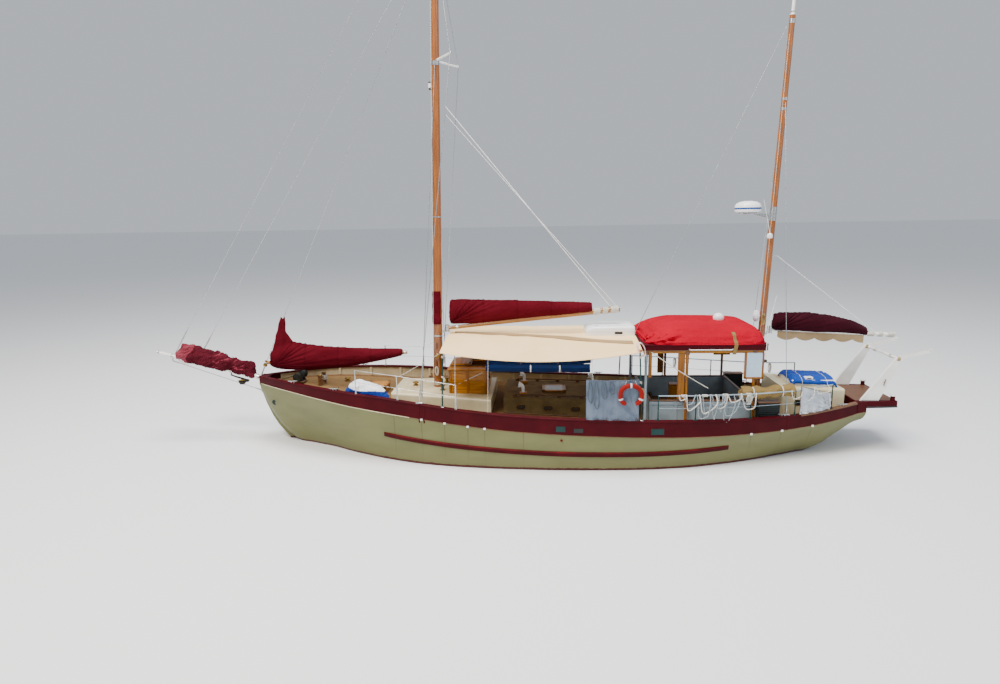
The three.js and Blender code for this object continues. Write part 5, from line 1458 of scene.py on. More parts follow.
@dataclass
class Anchor:
    """The plough anchor that hangs in its roller under the sprit."""

    shackle: Vector = Vector((8.26, 0, 1.80))
    shank: tuple[Point, ...] = ((8.255, 0, 1.79), (8.10, 0, 1.735), (7.93, 0, 1.685), (7.82, 0, 1.645))
    shank_r: tuple[float, ...] = (0.02, 0.026, 0.028, 0.03)
    # one share of the plough: three sections from the middle outwards, each of four corners
    share: tuple[tuple[Point, ...], ...] = (
        ((7.80, 0.002, 1.655), (8.09, 0.002, 1.640), (8.06, 0.002, 1.592), (7.86, 0.002, 1.590)),
        ((7.80, 0.075, 1.640), (8.05, 0.06, 1.605), (8.02, 0.06, 1.585), (7.85, 0.075, 1.575)),
        ((7.82, 0.146, 1.605), (7.98, 0.14, 1.565), (7.96, 0.14, 1.555), (7.86, 0.146, 1.558)))
    keel: tuple[tuple[float, float], ...] = ((7.81, 1.62), (7.96, 1.682), (8.09, 1.640), (7.90, 1.575))

    def build(self) -> None:
        """Builds the anchor with its shares and the shackle that holds it."""
        kit = Kit("plough_anchor")
        kit.pipe(self.shank, GALVANISED, self.shank_r, 8)
        kit.rod(self.shackle, self.shackle + Vector((0, 0, 0.125)), GALVANISED, 0.014, sides=8)
        kit.hoop(self.shackle, (0, 1, 0), 0.024, 0.009, GALVANISED, parts=14)
        for side in (1, -1):
            kit.loft([[(x, side * y, z) for x, y, z in section] for section in self.share], GALVANISED)
        kit.slab((7.775, -0.04, 1.61), (7.85, 0.04, 1.68), GALVANISED, 0.02)
        kit.plate(self.keel, -0.014, 0.014, BRONZE)
        kit.build(Body.YACHT, "anchor_iron", "anchor")


@dataclass
class Mast:
    """A varnished pole mast: bands, collars, cleats and lamps."""

    name: str
    node: str
    foot: Vector
    top: Vector
    foot_r: float
    top_r: float
    jaw_z: float
    jaw_back: float
    seat_half: float = 0.03

    def at(self, z: float) -> Vector:
        """Gives the mast's middle at a height."""
        return mast_at(self.foot, self.top, z)

    def radius(self, z: float) -> float:
        """Gives the mast's radius at a height."""
        return mix(self.foot_r, self.top_r, (z - self.foot.z) / (self.top.z - self.foot.z))

    def band(self, kit: Kit, z: float, high: float, finish: Finish, proud: float = 0.004) -> None:
        """Adds a band round the mast.

        Args:
            kit: the piece that it joins.
            z: its lower edge.
            high: its height.
            finish: what it is made of.
            proud: how far it stands out.
        """
        kit.rod(self.at(z), self.at(z + high), finish, self.radius(z) + proud, self.radius(z + high) + proud, 20)

    def seat(self, kit: Kit) -> None:
        """Adds the gooseneck bracket that the boom's jaw turns on.

        Args:
            kit: the piece that it joins.
        """
        axis = (self.top - self.foot).normalized()
        centre = self.at(self.jaw_z) - Vector((self.jaw_back, 0, 0))
        kit.rod(centre - axis * 0.095, centre - axis * 0.0605, STAINLESS, 0.066, sides=20)
        low = centre.z
        kit.plate([(centre.x, low - 0.090), (centre.x, low - 0.068), (centre.x + self.jaw_back, low - 0.068),
                   (centre.x + self.jaw_back, low - 0.176)], -self.seat_half, self.seat_half, STAINLESS)

    def fit_out(self, kit: Kit) -> None:
        """Adds what this mast carries; plain masts carry nothing."""

    def build(self) -> None:
        """Builds the mast."""
        kit = Kit(self.name)
        places = steps(self.foot.z, self.top.z, 0.8)
        for low, high in zip(places, places[1:]):
            kit.rod(self.at(low), self.at(high), SPRUCE_MAST, self.radius(low), self.radius(high), 24)
        kit.turned(self.top, [(0, self.top_r), (0.0, self.top_r + 0.004), (0.012, self.top_r)], WHITE_ENAMEL,
                   axis=self.top - self.foot, sides=20)
        self.seat(kit)
        self.fit_out(kit)
        kit.build(Body.YACHT, "varnished_wood", self.node)


@dataclass
class MainMast(Mast):
    """The mainmast with its bands, steaming lamp, winch and cleats."""

    # height of the lower edge, and how high
    bands: tuple[tuple[float, float], ...] = ((1.53, 0.06), (2.86, 0.04), (6.0, 0.03), (9.74, 0.10), (12.82, 0.10),
                                              (14.30, 0.08))
    lamp_z: float = 9.2
    winch_z: float = 2.35
    winch: tuple[tuple[float, float], ...] = ((0, 0.07), (0.02, 0.065), (0.03, 0.045), (0.09, 0.042), (0.11, 0.055))
    cleats: tuple[float, ...] = (1.95, 2.15, 2.62)
    horn: float = 0.09
    stand_off: float = 0.035

    def fit_out(self, kit: Kit) -> None:
        """Adds bands, the steaming lamp, a winch, cleats and a coil of rope."""
        for z, high in self.bands:
            self.band(kit, z, high, STAINLESS)
        front, shelf = self.at(self.lamp_z).x + self.radius(self.lamp_z), self.lamp_z + 0.01
        kit.slab((front - 0.02, -0.05, shelf - 0.05), (front + 0.07, 0.05, shelf), BLACK_RUBBER_AND_SHADE, 0.01)
        kit.turned((front + 0.035, 0, shelf), [(0, 0.05), (0.10, 0.052), (0.11, 0.045)], WHITE_GELCOAT, sides=16)
        kit.turned((front + 0.035, 0, shelf + 0.112), [(0, 0.055), (0.02, 0.05), (0.04, 0.02)], BLACK_RUBBER_AND_SHADE, sides=16)
        kit.turned((self.at(self.winch_z).x, self.radius(self.winch_z) - 0.004, self.winch_z), self.winch, BRONZE,
                   axis=(0, 1, 0), sides=18)
        for z in self.cleats:
            for side in (1, -1):
                centre = self.at(z) + Vector((0.02, side * self.radius(z), 0))
                out = centre.y + side * self.stand_off
                kit.slab((centre.x - 0.014, min(centre.y, out), z - 0.02),
                         (centre.x + 0.014, max(centre.y, out), z + 0.02), TEAK_RAIL, 0.004)
                kit.rod((centre.x, out, z - self.horn), (centre.x, out, z + self.horn), TEAK_RAIL, 0.012, sides=8)
        rope_coil(kit, self.at(2.05) + Vector((0.03, self.radius(2.0) + 0.045, 0)), 0.20, WHITE_ROPE, 4)


@dataclass
class MizzenMast(Mast):
    """The mizzenmast with its bands and cleats."""

    # height of the lower edge, and how high
    bands: tuple[tuple[float, float], ...] = ((0.87, 0.05), (2.78, 0.04), (5.78, 0.34), (8.45, 0.06), (8.68, 0.06),
                                              (10.44, 0.1))
    cleats: tuple[float, ...] = (1.75, 2.05)
    horn: float = 0.08
    stand_off: float = 0.03

    def fit_out(self, kit: Kit) -> None:
        """Adds bands, cleats and a coil of rope."""
        for z, high in self.bands:
            self.band(kit, z, high, STAINLESS)
        for z in self.cleats:
            for side in (1, -1):
                centre = self.at(z) + Vector((0, side * self.radius(z), 0))
                out = centre.y + side * self.stand_off
                kit.rod((centre.x, out, z - self.horn), (centre.x, out, z + self.horn), TEAK_RAIL, 0.012, sides=8)
                kit.rod(centre, (centre.x, out, z), TEAK_RAIL, 0.012, sides=8)
        rope_coil(kit, self.at(3.42) + Vector((0.02, self.radius(3.4) + 0.035, 0)), 0.24, TAN_ROPE, 5)


def rope_coil(kit: Kit, top: Point, drop: float, rope: Finish, loops: int) -> None:
    """Adds a coil of rope that hangs from a cleat.

    Args:
        kit: the piece that it joins.
        top: where it hangs.
        drop: how far it hangs down.
        rope: what it is made of.
        loops: how many turns it has.
    """
    spread = random.Random(loops + int(drop * 1000))
    for k in range(loops):
        width, lean = 0.022 + 0.007 * k, spread.uniform(-0.02, 0.02)
        path = []
        for j in range(19):
            a = 2 * math.pi * j / 18
            path.append(Vector(top) + Vector((width * math.sin(a) + lean, 0.006 * k - 0.01 + 0.004 * math.cos(a),
                                              -drop / 2 * (1 - math.cos(a)) * (1 + 0.06 * k))))
        kit.pipe(path, rope, 0.008, 5)
    kit.rod(Vector(top) + Vector((-0.03, 0, -0.03)), Vector(top) + Vector((0.03, 0, -0.03)), rope, 0.012, sides=6)


@dataclass
class Shrouds:
    """The wires that hold a mast sideways, with their chainplates and bottlescrews."""

    def wire(self, kit: Kit, foot: Point, head: Point, radius: float = 0.0085) -> None:
        """Adds a wire with a bottlescrew at its foot.

        Args:
            kit: the piece that it joins.
            foot: its lower end.
            head: its upper end.
            radius: its radius.
        """
        heading = (Vector(head) - Vector(foot)).normalized()
        kit.rod(foot, head, STAINLESS, radius, sides=8)
        kit.turned(foot, [(0.02, 0.011), (0.08, 0.013), (0.10, 0.019), (0.30, 0.019), (0.32, 0.013), (0.42, 0.012)],
                   STAINLESS, axis=heading, sides=10)

    def main(self) -> None:
        """Builds the mainmast's spreaders and shrouds."""
        kit = Kit("main_shroud_wires")
        level, span, sweep, foot_x = 9.85, 0.78, 0.48, 2.64
        root = main_at(level)
        foot_y, foot_z = Lines.side(foot_x) - 0.055, Lines.rail(foot_x)
        kit.ball(root, 0.028, WHITE_ENAMEL)
        for side in (1, -1):
            tip = Vector((root.x - sweep, side * span, level))
            kit.rod(root, tip, WHITE_ENAMEL, 0.028, 0.0225, 14)
            kit.ball(tip, 0.026, STAINLESS)
            kit.slab((foot_x - 0.088, side * foot_y - 0.026, foot_z + 0.003),
                     (foot_x + 0.088, side * foot_y + 0.026, foot_z + 0.032), STAINLESS, 0.006)
            self.wire(kit, (foot_x, side * foot_y, foot_z + 0.025), tip)
            self.wire(kit, (foot_x - 0.06, side * foot_y, foot_z + 0.025), (root.x, side * 0.125, level - 0.09))
            kit.rod(tip, (main_at(12.85).x, side * 0.112, 12.85), STAINLESS, 0.0085, sides=8)
            kit.rod((root.x, side * 0.127, level - 0.11), (root.x - 0.04, side * 0.147, level + 0.005), STAINLESS,
                    0.016, sides=10)
        kit.build(Body.YACHT, "steel_wire", "main_shrouds")

    def mizzen(self) -> None:
        """Builds the mizzenmast's shrouds and the bar that they hang from."""
        kit = Kit("mizzen_shroud_wires")
        level, foot_x = 8.6, -6.25
        head = mizzen_at(level)
        foot_y, foot_z = Lines.side(foot_x) - 0.09, Lines.rail(foot_x)
        kit.rod((head.x, -0.11, level), (head.x, 0.11, level), STAINLESS, 0.016, sides=12)
        for side in (1, -1):
            kit.slab((foot_x - 0.078, side * foot_y - 0.024, foot_z + 0.003),
                     (foot_x + 0.078, side * foot_y + 0.024, foot_z + 0.032), STAINLESS, 0.006)
            self.wire(kit, (foot_x, side * foot_y, foot_z + 0.025), (head.x, side * 0.104, level), 0.0075)
        kit.build(Body.YACHT, "steel_wire", "mizzen_shrouds")

    def build(self) -> None:
        """Builds both masts' shrouds."""
        self.main()
        self.mizzen()


@dataclass
class Stays:
    """The fore-and-aft wires, with bottlescrews at their feet."""

    def stay(self, name: str, node: str, foot: Point, head: Point, radius: float) -> None:
        """Builds one stay.

        Args:
            name: the piece's name.
            node: the frame's node.
            foot: its lower end.
            head: its upper end.
            radius: its radius.
        """
        kit = Kit(name)
        heading = (Vector(head) - Vector(foot)).normalized()
        kit.rod(foot, head, STAINLESS, radius, sides=8)
        kit.turned(foot, [(0.0, 0.010), (0.40, 0.012), (0.44, 0.018), (0.74, 0.018), (0.78, 0.012), (0.9, 0.011)],
                   STAINLESS, axis=heading, sides=10)
        kit.turned(head, [(0.0, 0.014), (0.09, 0.014), (0.12, 0.010)], STAINLESS, axis=-heading, sides=10)
        kit.build(Body.YACHT, "steel_wire", node)

    def build(self) -> None:
        """Builds the stays that run from the bow to the mainmast."""
        self.stay("forestay_wire", "forestay", SPRIT.at(9.2) + Vector((-0.03, 0, 0.06)),
                  main_at(12.95) + Vector((0.09, 0, -0.05)), 0.0075)
        self.stay("outer_stay_wire", "outer_stay", SPRIT.at(9.86) + Vector((-0.03, 0, 0.05)),
                  main_at(14.35) + Vector((0.085, 0, -0.05)), 0.0075)
        kit = Kit("mizzen_stay_wire")
        foot, head = Vector((-2.805, 0, 2.925)), mizzen_at(10.5) + Vector((0.075, 0, -0.03))
        kit.rod(foot, head, STAINLESS, 0.0065, sides=8)
        kit.slab((-2.819, -0.0085, 2.9125), (-2.791, 0.0085, 2.946), STAINLESS, 0.004)
        kit.build(Body.YACHT, "steel_wire", "mizzen_stay")


@dataclass
class Boom:
    """A boom with its jaw, sheaves, rope windings and end fitting."""

    name: str
    node: str
    body: Body
    mast: Mast
    end: Vector
    radius: float
    finish: Finish
    windings: tuple[tuple[float, int], ...] = ()

    def pivot(self) -> Vector:
        """Gives the point that the boom swings about."""
        return self.mast.at(self.mast.jaw_z) - Vector((self.mast.jaw_back, 0, 0))

    def at(self, x: float) -> Vector:
        """Gives the boom's middle at x."""
        jaw = self.pivot()
        return between(jaw, self.end, (x - jaw.x) / (self.end.x - jaw.x))

    def build(self) -> None:
        """Builds the boom."""
        kit = Kit(self.name)
        jaw, axis = self.pivot(), (self.mast.top - self.mast.foot).normalized()
        kit.rod(jaw - axis * 0.0595, jaw + axis * 0.088, STAINLESS, 0.060, sides=20)
        places = steps(0, 1, 0.08)
        kit.pipe([between(jaw, self.end, t) for t in places], self.finish,
                 [self.radius * mix(0.6, 1.0, t) for t in places], 20)
        span = (self.end - jaw).length
        for t in (0.06, 0.985):
            here = self.radius * mix(0.6, 1.0, t)
            reach = 0.03 / span
            kit.rod(between(jaw, self.end, t - reach), between(jaw, self.end, min(t + reach, 1.0)), STAINLESS,
                    here + 0.002, sides=20)
        for x, turns in self.windings:
            centre = self.at(x)
            heading = (self.end - jaw).normalized()
            rope = 0.010
            here = self.radius * mix(0.6, 1.0, (x - jaw.x) / (self.end.x - jaw.x))
            kit.whipped(centre - heading * turns * rope, centre + heading * turns * rope, here, WHITE_ROPE, turns, rope)
        kit.build(self.body, "varnished_wood", self.node)


@dataclass
class Electronics:
    """The radar on the mizzenmast, and the white topmast above it."""

    radar_x: float = -5.57
    radar_z: float = 6.13
    # height above the radome's joint, and radius
    lower: tuple[tuple[float, float], ...] = ((-0.128, 0.28), (-0.108, 0.318), (-0.058, 0.324))
    stripe: tuple[tuple[float, float], ...] = ((-0.058, 0.324), (-0.013, 0.3245))
    upper: tuple[tuple[float, float], ...] = ((-0.013, 0.3245), (0.037, 0.318), (0.087, 0.285), (0.127, 0.21),
                                              (0.15, 0.1))
    arm_half: float = 0.058
    topmast_top: float = 12.048
    topmast_bands: tuple[float, ...] = (0.04, 0.5, 0.93)

    def radar(self) -> None:
        """Builds the radome on its bracket."""
        kit = Kit("radome")
        x, z = self.radar_x, self.radar_z
        for profile, finish in ((self.lower, WHITE_GELCOAT), (self.stripe, BLUE_GELCOAT), (self.upper, WHITE_GELCOAT)):
            kit.turned((x, 0, z), profile, finish, sides=32)
        kit.slab((x - 0.18, -0.18, z - 0.168), (x + 0.18, 0.18, z - 0.125), STAINLESS, 0.01)
        face = mizzen_at(z - 0.15).x + 0.07
        kit.plate([(x + 0.118, z - 0.152), (face, z - 0.172), (face, z - 0.318), (x - 0.078, z - 0.172)],
                  -self.arm_half, self.arm_half, STAINLESS)
        kit.build(Body.YACHT, "white_plastic", "radar")

    def topmast(self) -> None:
        """Builds the white topmast with its bands."""
        kit = Kit("mizzen_topmast_pole")
        foot = MIZZEN_HEAD + (MIZZEN_HEAD - MIZZEN_FOOT).normalized() * 0.001
        top = mizzen_at(self.topmast_top)
        kit.rod(foot, top, WHITE_ENAMEL, 0.0415, 0.0215, 16)
        for share in self.topmast_bands:
            centre = between(foot, top, share)
            kit.rod(centre, centre + Vector((0, 0, 0.03)), STAINLESS, mix(0.0425, 0.0225, share), sides=14)
        kit.build(Body.YACHT, "white_paint", "mizzen_topmast")

    def build(self) -> None:
        """Builds both."""
        self.radar()
        self.topmast()


SPRIT = Bowsprit()
MAIN_MAST = MainMast("main_mast_pole", "main_mast", MAIN_FOOT, MAIN_TOP, 0.1245, 0.0845, 3.08, 0.25)
MIZZEN_MAST = MizzenMast("mizzen_mast_pole", "mizzen_mast", MIZZEN_FOOT, MIZZEN_HEAD, 0.0915, 0.0675, 2.99, 0.20)
MAIN_BOOM = Boom("main_boom_spar", "main_boom", Body.MAIN_BOOM, MAIN_MAST, Vector((-2.398, 0, 3.56)), 0.079,
                 SPRUCE_BOOM, ((-1.80, 9), (-2.02, 7), (-2.26, 10)))
MIZZEN_BOOM = Boom("mizzen_boom_spar", "mizzen_boom", Body.MIZZEN_BOOM, MIZZEN_MAST, Vector((-9.448, 0, 2.83)),
                   0.051, WHITE_ENAMEL, ((-8.85, 8), (-9.08, 6), (-9.34, 9)))
STAY_FOOT = Vector((7.4, 0, 1.812))
STAY_HEAD = main_at(12.9)
STAY_AXIS = (STAY_HEAD - STAY_FOOT).normalized()


class StaysailGear:
    """The staysail's stay on the stem head and the small boom that swings about it."""

    def build(self) -> None:
        """Builds both."""
        kit = Kit("staysail_stay_wire")
        kit.rod(STAY_FOOT - STAY_AXIS * 0.02, STAY_HEAD - STAY_AXIS * 0.10, STAINLESS, 0.0075, sides=8)
        kit.rod(STAY_FOOT + STAY_AXIS * 0.262, STAY_FOOT + STAY_AXIS * 0.2995, BRONZE, 0.054, sides=20)
        kit.turned(STAY_FOOT, [(0.0, 0.013), (0.03, 0.018), (0.24, 0.018)], STAINLESS, axis=STAY_AXIS, sides=12)
        kit.build(Body.YACHT, "steel_wire", "staysail_stay")
        boom = Kit("staysail_boom_spar")
        root, end = STAY_FOOT + STAY_AXIS * 0.36, Vector((3.302, 0, 2.42))
        for start, stop in ((0.301, 0.330), (0.385, 0.414)):  # the jaw's two rings round the stay
            self.ring(boom, STAY_FOOT + STAY_AXIS * start, stop - start)
        out = (end - root).normalized()
        boom.rod(root + out * 0.03, end, SPRUCE_BOOM, 0.0445, sides=20)
        for x in (7.0, 3.36, 3.5):
            centre = between(root, end, (root.x - x) / (root.x - end.x))
            boom.rod(centre - out * 0.02, centre + out * 0.02, STAINLESS, 0.0455, sides=20)
        boom.build(Body.STAYSAIL_BOOM, "varnished_wood", "staysail_boom")

    def ring(self, kit: Kit, start: Vector, height: float) -> None:
        """Adds a thick ring that turns on the stay.

        Args:
            kit: the piece that it joins.
            start: its lower middle.
            height: its height.
        """
        u, v = across(STAY_AXIS)
        outer, inner = 0.0505, 0.018
        rows = []
        for k in range(25):
            a = 2 * math.pi * k / 24
            side = math.cos(a) * u + math.sin(a) * v
            rows.append([start + side * inner, start + side * outer, start + side * outer + STAY_AXIS * height,
                         start + side * inner + STAY_AXIS * height])
        kit.loft(rows, BRONZE)


# Canvas


def creased(point: Point, size: float, stretch: Point, depth: float) -> float:
    """Gives the height of sharp-crested creases at a point.

    Args:
        point: where.
        size: the distance between two creases.
        stretch: how many times finer they are along each axis.
        depth: how tall they are.

    Returns:
        The height, from about -depth to depth / 2.
    """
    place = Vector(p * s / size for p, s in zip(point, stretch))
    return depth * (0.4 - 2 * abs(noise.noise(place)) + 0.35 * noise.noise(place * 2.3))


def fanned(point: Point, corner: Point, count: float, depth: float) -> float:
    """Gives the height of folds that spread out from a corner that the cloth is pulled to.

    Args:
        point: where.
        corner: the x and z of the corner.
        count: how many folds there are, about, in a right angle.
        depth: how tall they are at the corner.

    Returns:
        The height.
    """
    along, up = abs(point[0] - corner[0]) + 0.02, point[2] - corner[1]
    reach = math.hypot(along, up)
    fold = noise.noise(Vector((math.atan2(up, along) * count, reach * 0.5, 3.7 + 0.4 * math.copysign(1, point[1]))))
    return depth * (0.35 - 1.8 * abs(fold)) * math.exp(-reach / 1.3)


PRESSURE = 4.0  # what swells a stuffed piece
SWELL_FRAMES = 20  # how long it swells


def swell(piece: bpy.types.Object, held: Callable[[Vector], bool], voxel: float, reach: float) -> None:
    """Swells a stuffed piece with a short cloth simulation, so that its canvas bulges where it isn't held.

    Args:
        piece: a closed piece.
        held: says whether a point is tied down.
        voxel: the size of the even mesh that is simulated.
        reach: how far a point may move.
    """
    even = piece.modifiers.new("Even", "REMESH")
    even.mode, even.voxel_size, even.use_smooth_shade = "VOXEL", voxel, True
    settle(piece)
    rest = [v.co.copy() for v in piece.data.vertices]
    piece.vertex_groups.new(name="tied").add([v.index for v in piece.data.vertices if held(v.co)], 1.0, "REPLACE")
    cloth = piece.modifiers.new("Canvas", "CLOTH").settings
    cloth.vertex_group_mass = "tied"
    cloth.use_pressure, cloth.uniform_pressure_force = True, PRESSURE
    cloth.effector_weights.gravity = 0.0
    cloth.quality = 4
    for frame_number in range(1, SWELL_FRAMES + 1):
        bpy.context.scene.frame_set(frame_number)
    shown = piece.evaluated_get(bpy.context.evaluated_depsgraph_get())
    moved = [v.co.copy() for v in shown.data.vertices]
    piece.modifiers.clear()
    for vertex, start, end in zip(piece.data.vertices, rest, moved):
        shift = end - start
        vertex.co = start + (shift * (reach / shift.length) if shift.length > reach else shift)
    bpy.context.scene.frame_set(1)
    piece.vertex_groups.clear()
    finer = piece.modifiers.new("Finer", "SUBSURF")
    finer.levels = finer.render_levels = 1
    settle(piece)


def crease(piece: bpy.types.Object, height: Callable[[Vector], float]) -> None:
    """Moves every point of a piece along its normal by a height that depends on its place."""
    mesh = piece.data
    normals = [v.normal.copy() for v in mesh.vertices]
    for vertex, normal in zip(mesh.vertices, normals):
        vertex.co += normal * height(vertex.co)
    mesh.polygons.foreach_set("use_smooth", [True] * len(mesh.polygons))
    mesh.update()


def declare_sheet(piece: bpy.types.Object, width: float, length: float, held: str, *rests_on: str,
                  cut: float | None = None) -> None:
    """Logs a piece's cloth area beside the rectangle that it is cut from.

    Args:
        piece: the piece, a thin closed sheet.
        width: the rectangle's width.
        length: the rectangle's length.
        held: how the sheet is held; not used.
        rests_on: the nodes or pieces that carry it; not used.
        cut: the flat area of its cut, where that is less than the rectangle; not used.
    """
    area = sum(face.area for face in piece.data.polygons) / 2
    LOG.info("%s: %.2f m2 of cloth out of %.2f by %.2f m", piece.name, area, width, length)


@dataclass
class Bundle:
    """A stowed sail in its canvas cover, pulled tight over the spar that it lies on."""

    name: str
    node: str
    body: Body
    rows: tuple[tuple[float, float, float, float], ...]  # x, top, bottom and half-width
    ties: tuple[float, ...]
    finish: Finish
    corner: tuple[float, float] = (0.0, 0.0)
    tie: Finish = MAROON_CANVAS
    tie_r: float = 0.005
    ridge: float = 0.84
    waves: float = 1.0
    bulge: float = 0.012
    fin: tuple[tuple[float, float], ...] = ()

    def row(self, x: float) -> tuple[float, float, float]:
        """Gives the bundle's top, bottom and half-width at x."""
        line = spline([(*r[:3],) for r in self.rows], 6)
        wide = spline([(r[0], r[3], 0) for r in self.rows], 6)
        for (a, wa), (b, wb) in zip(zip(line, wide), zip(line[1:], wide[1:])):
            if b.x <= x <= a.x:
                t = (x - a.x) / (b.x - a.x)
                return mix(a.y, b.y, t), mix(a.z, b.z, t), mix(wa.y, wb.y, t)
        last, width = (line[0], wide[0]) if x > line[0].x else (line[-1], wide[-1])
        return last.y, last.z, width.y

    def ring(self, x: float, grow: float = 0.0, points: int = 40) -> Ring:
        """Gives the bundle's section at x, sharp along its ridge, grown all round by so much."""
        top, low, wide = self.row(x)
        pinch = min(sum(math.exp(-((x - tie) / 0.05) ** 2) for tie in self.ties), 1)
        middle, half = (top + low) / 2, (top - low) / 2
        return [(x, (wide * (1 - self.ridge * max(s, 0) ** 1.4) * (1 - 0.05 * pinch) + grow) * c,
                 middle + (half + grow) * s) for c, s in circle(points, first=0.5)]

    def foot(self, x: float) -> float:
        """Gives the height of the cover's laced foot at x."""
        return self.row(x)[1] - 0.002

    def held(self, place: Vector) -> bool:
        """Says whether the cover is tied or laced down at a place."""
        top, low, _ = self.row(place.x)
        return not low + 0.04 < place.z < top - 0.05 or any(abs(place.x - tie) < 0.045 for tie in self.ties)

    def relief(self, place: Vector) -> float:
        """Gives the height of the cover's folds at a place."""
        return (self.waves * (creased(place, 0.50, (0.4, 1.0, 1.6), 0.010)
                              + creased(place, 0.13, (1.2, 1.0, 0.8), 0.004))
                + fanned(place, self.corner, 9.0, 0.045))

    def build(self) -> None:
        """Builds the cover and what ties it."""
        kit = Kit(self.name)
        kit.loft([self.ring(x) for x in steps(self.rows[0][0], self.rows[-1][0], 0.04)], self.finish)
        if self.fin:
            kit.plate(self.fin, -0.038, 0.038, self.finish)
        cover = kit.build(self.body, "maroon_canvas", self.node)
        swell(cover, self.held, 0.026, self.bulge)
        crease(cover, self.relief)
        lash = Kit(self.name + "_ties")
        for tie in self.ties:
            ring = self.ring(tie, 0.010, 26)
            lash.pipe([*ring, ring[0]], self.tie, self.tie_r, 6)
            lash.ball(ring[19], self.tie_r * 2.2, self.tie, sides=8)
        lash.pipe([(x, 0.0, self.foot(x)) for x in steps(self.rows[0][0] - 0.05, self.rows[-1][0] + 0.05, 0.12)],
                  self.finish, 0.009, 6)
        lash.build(self.body, "maroon_canvas")


@dataclass
class Headsail(Bundle):
    """The headsail, dropped and tied in lumps along the bowsprit."""

    pale: Finish = MAROON_CANVAS

    def ring(self, x: float, grow: float = 0.0, points: int = 44) -> Ring:
        """Gives the bundle's section round the sprit at x, grown all round by so much."""
        up, down, wide = self.row(x)
        pinch = min(sum(math.exp(-((x - tie) / 0.07) ** 2) for tie in self.ties), 1)
        ring = []
        for k, (c, s) in enumerate(circle(points, first=0.5)):
            a = 2 * math.pi * (k + 0.5) / points
            reach = (1 - 0.07 * pinch) * (1 + 0.05 * math.sin(3 * a + 7 * x) + 0.03 * math.sin(5 * a - 11 * x))
            ring.append((x, (wide * reach * 0.96 + grow) * c,
                         SPRIT.at(x).z + ((up * reach if s > 0 else down) + grow) * s))
        return ring

    def foot(self, x: float) -> float:
        """Gives the height of the sail's underside at x."""
        return SPRIT.at(x).z - self.row(x)[1] * 0.8

    def held(self, place: Vector) -> bool:
        """Says whether the sail is tied down at a place."""
        return any(abs(place.x - tie) < 0.045 for tie in self.ties)

    def relief(self, place: Vector) -> float:
        """Gives the height of the sail's folds at a place."""
        drop = Vector((place.x * 0.9 + place.z * 1.6, place.y, place.z - place.x * 0.5))  # folds run down and aft
        return (creased(drop, 0.42, (1.0, 1.0, 1.2), 0.050) + creased(drop, 0.13, (1.6, 1.0, 0.8), 0.020)) * self.waves

    def build(self) -> None:
        """Builds the sail, its fore lump bleached pink with a painted highlight, painted highlights on the crests that
        face up, and the lines round it.
        """
        super().build()
        mesh = bpy.data.objects[self.name].data
        mesh.materials.append(self.pale.material())
        for face in mesh.polygons:
            x, _, z = face.center
            # crests amidships that face up get the pink finish: a painted highlight
            wear_and_painted_light = creased((x * 0.8 + z, face.center.y, z), 0.20, (1, 1, 1), 1.0) > 0.33 and 7.8 < x < 8.7
            if x > 9.33 + 0.10 * math.sin(9 * z) or wear_and_painted_light and face.normal.z > 0.1:
                face.material_index = 1


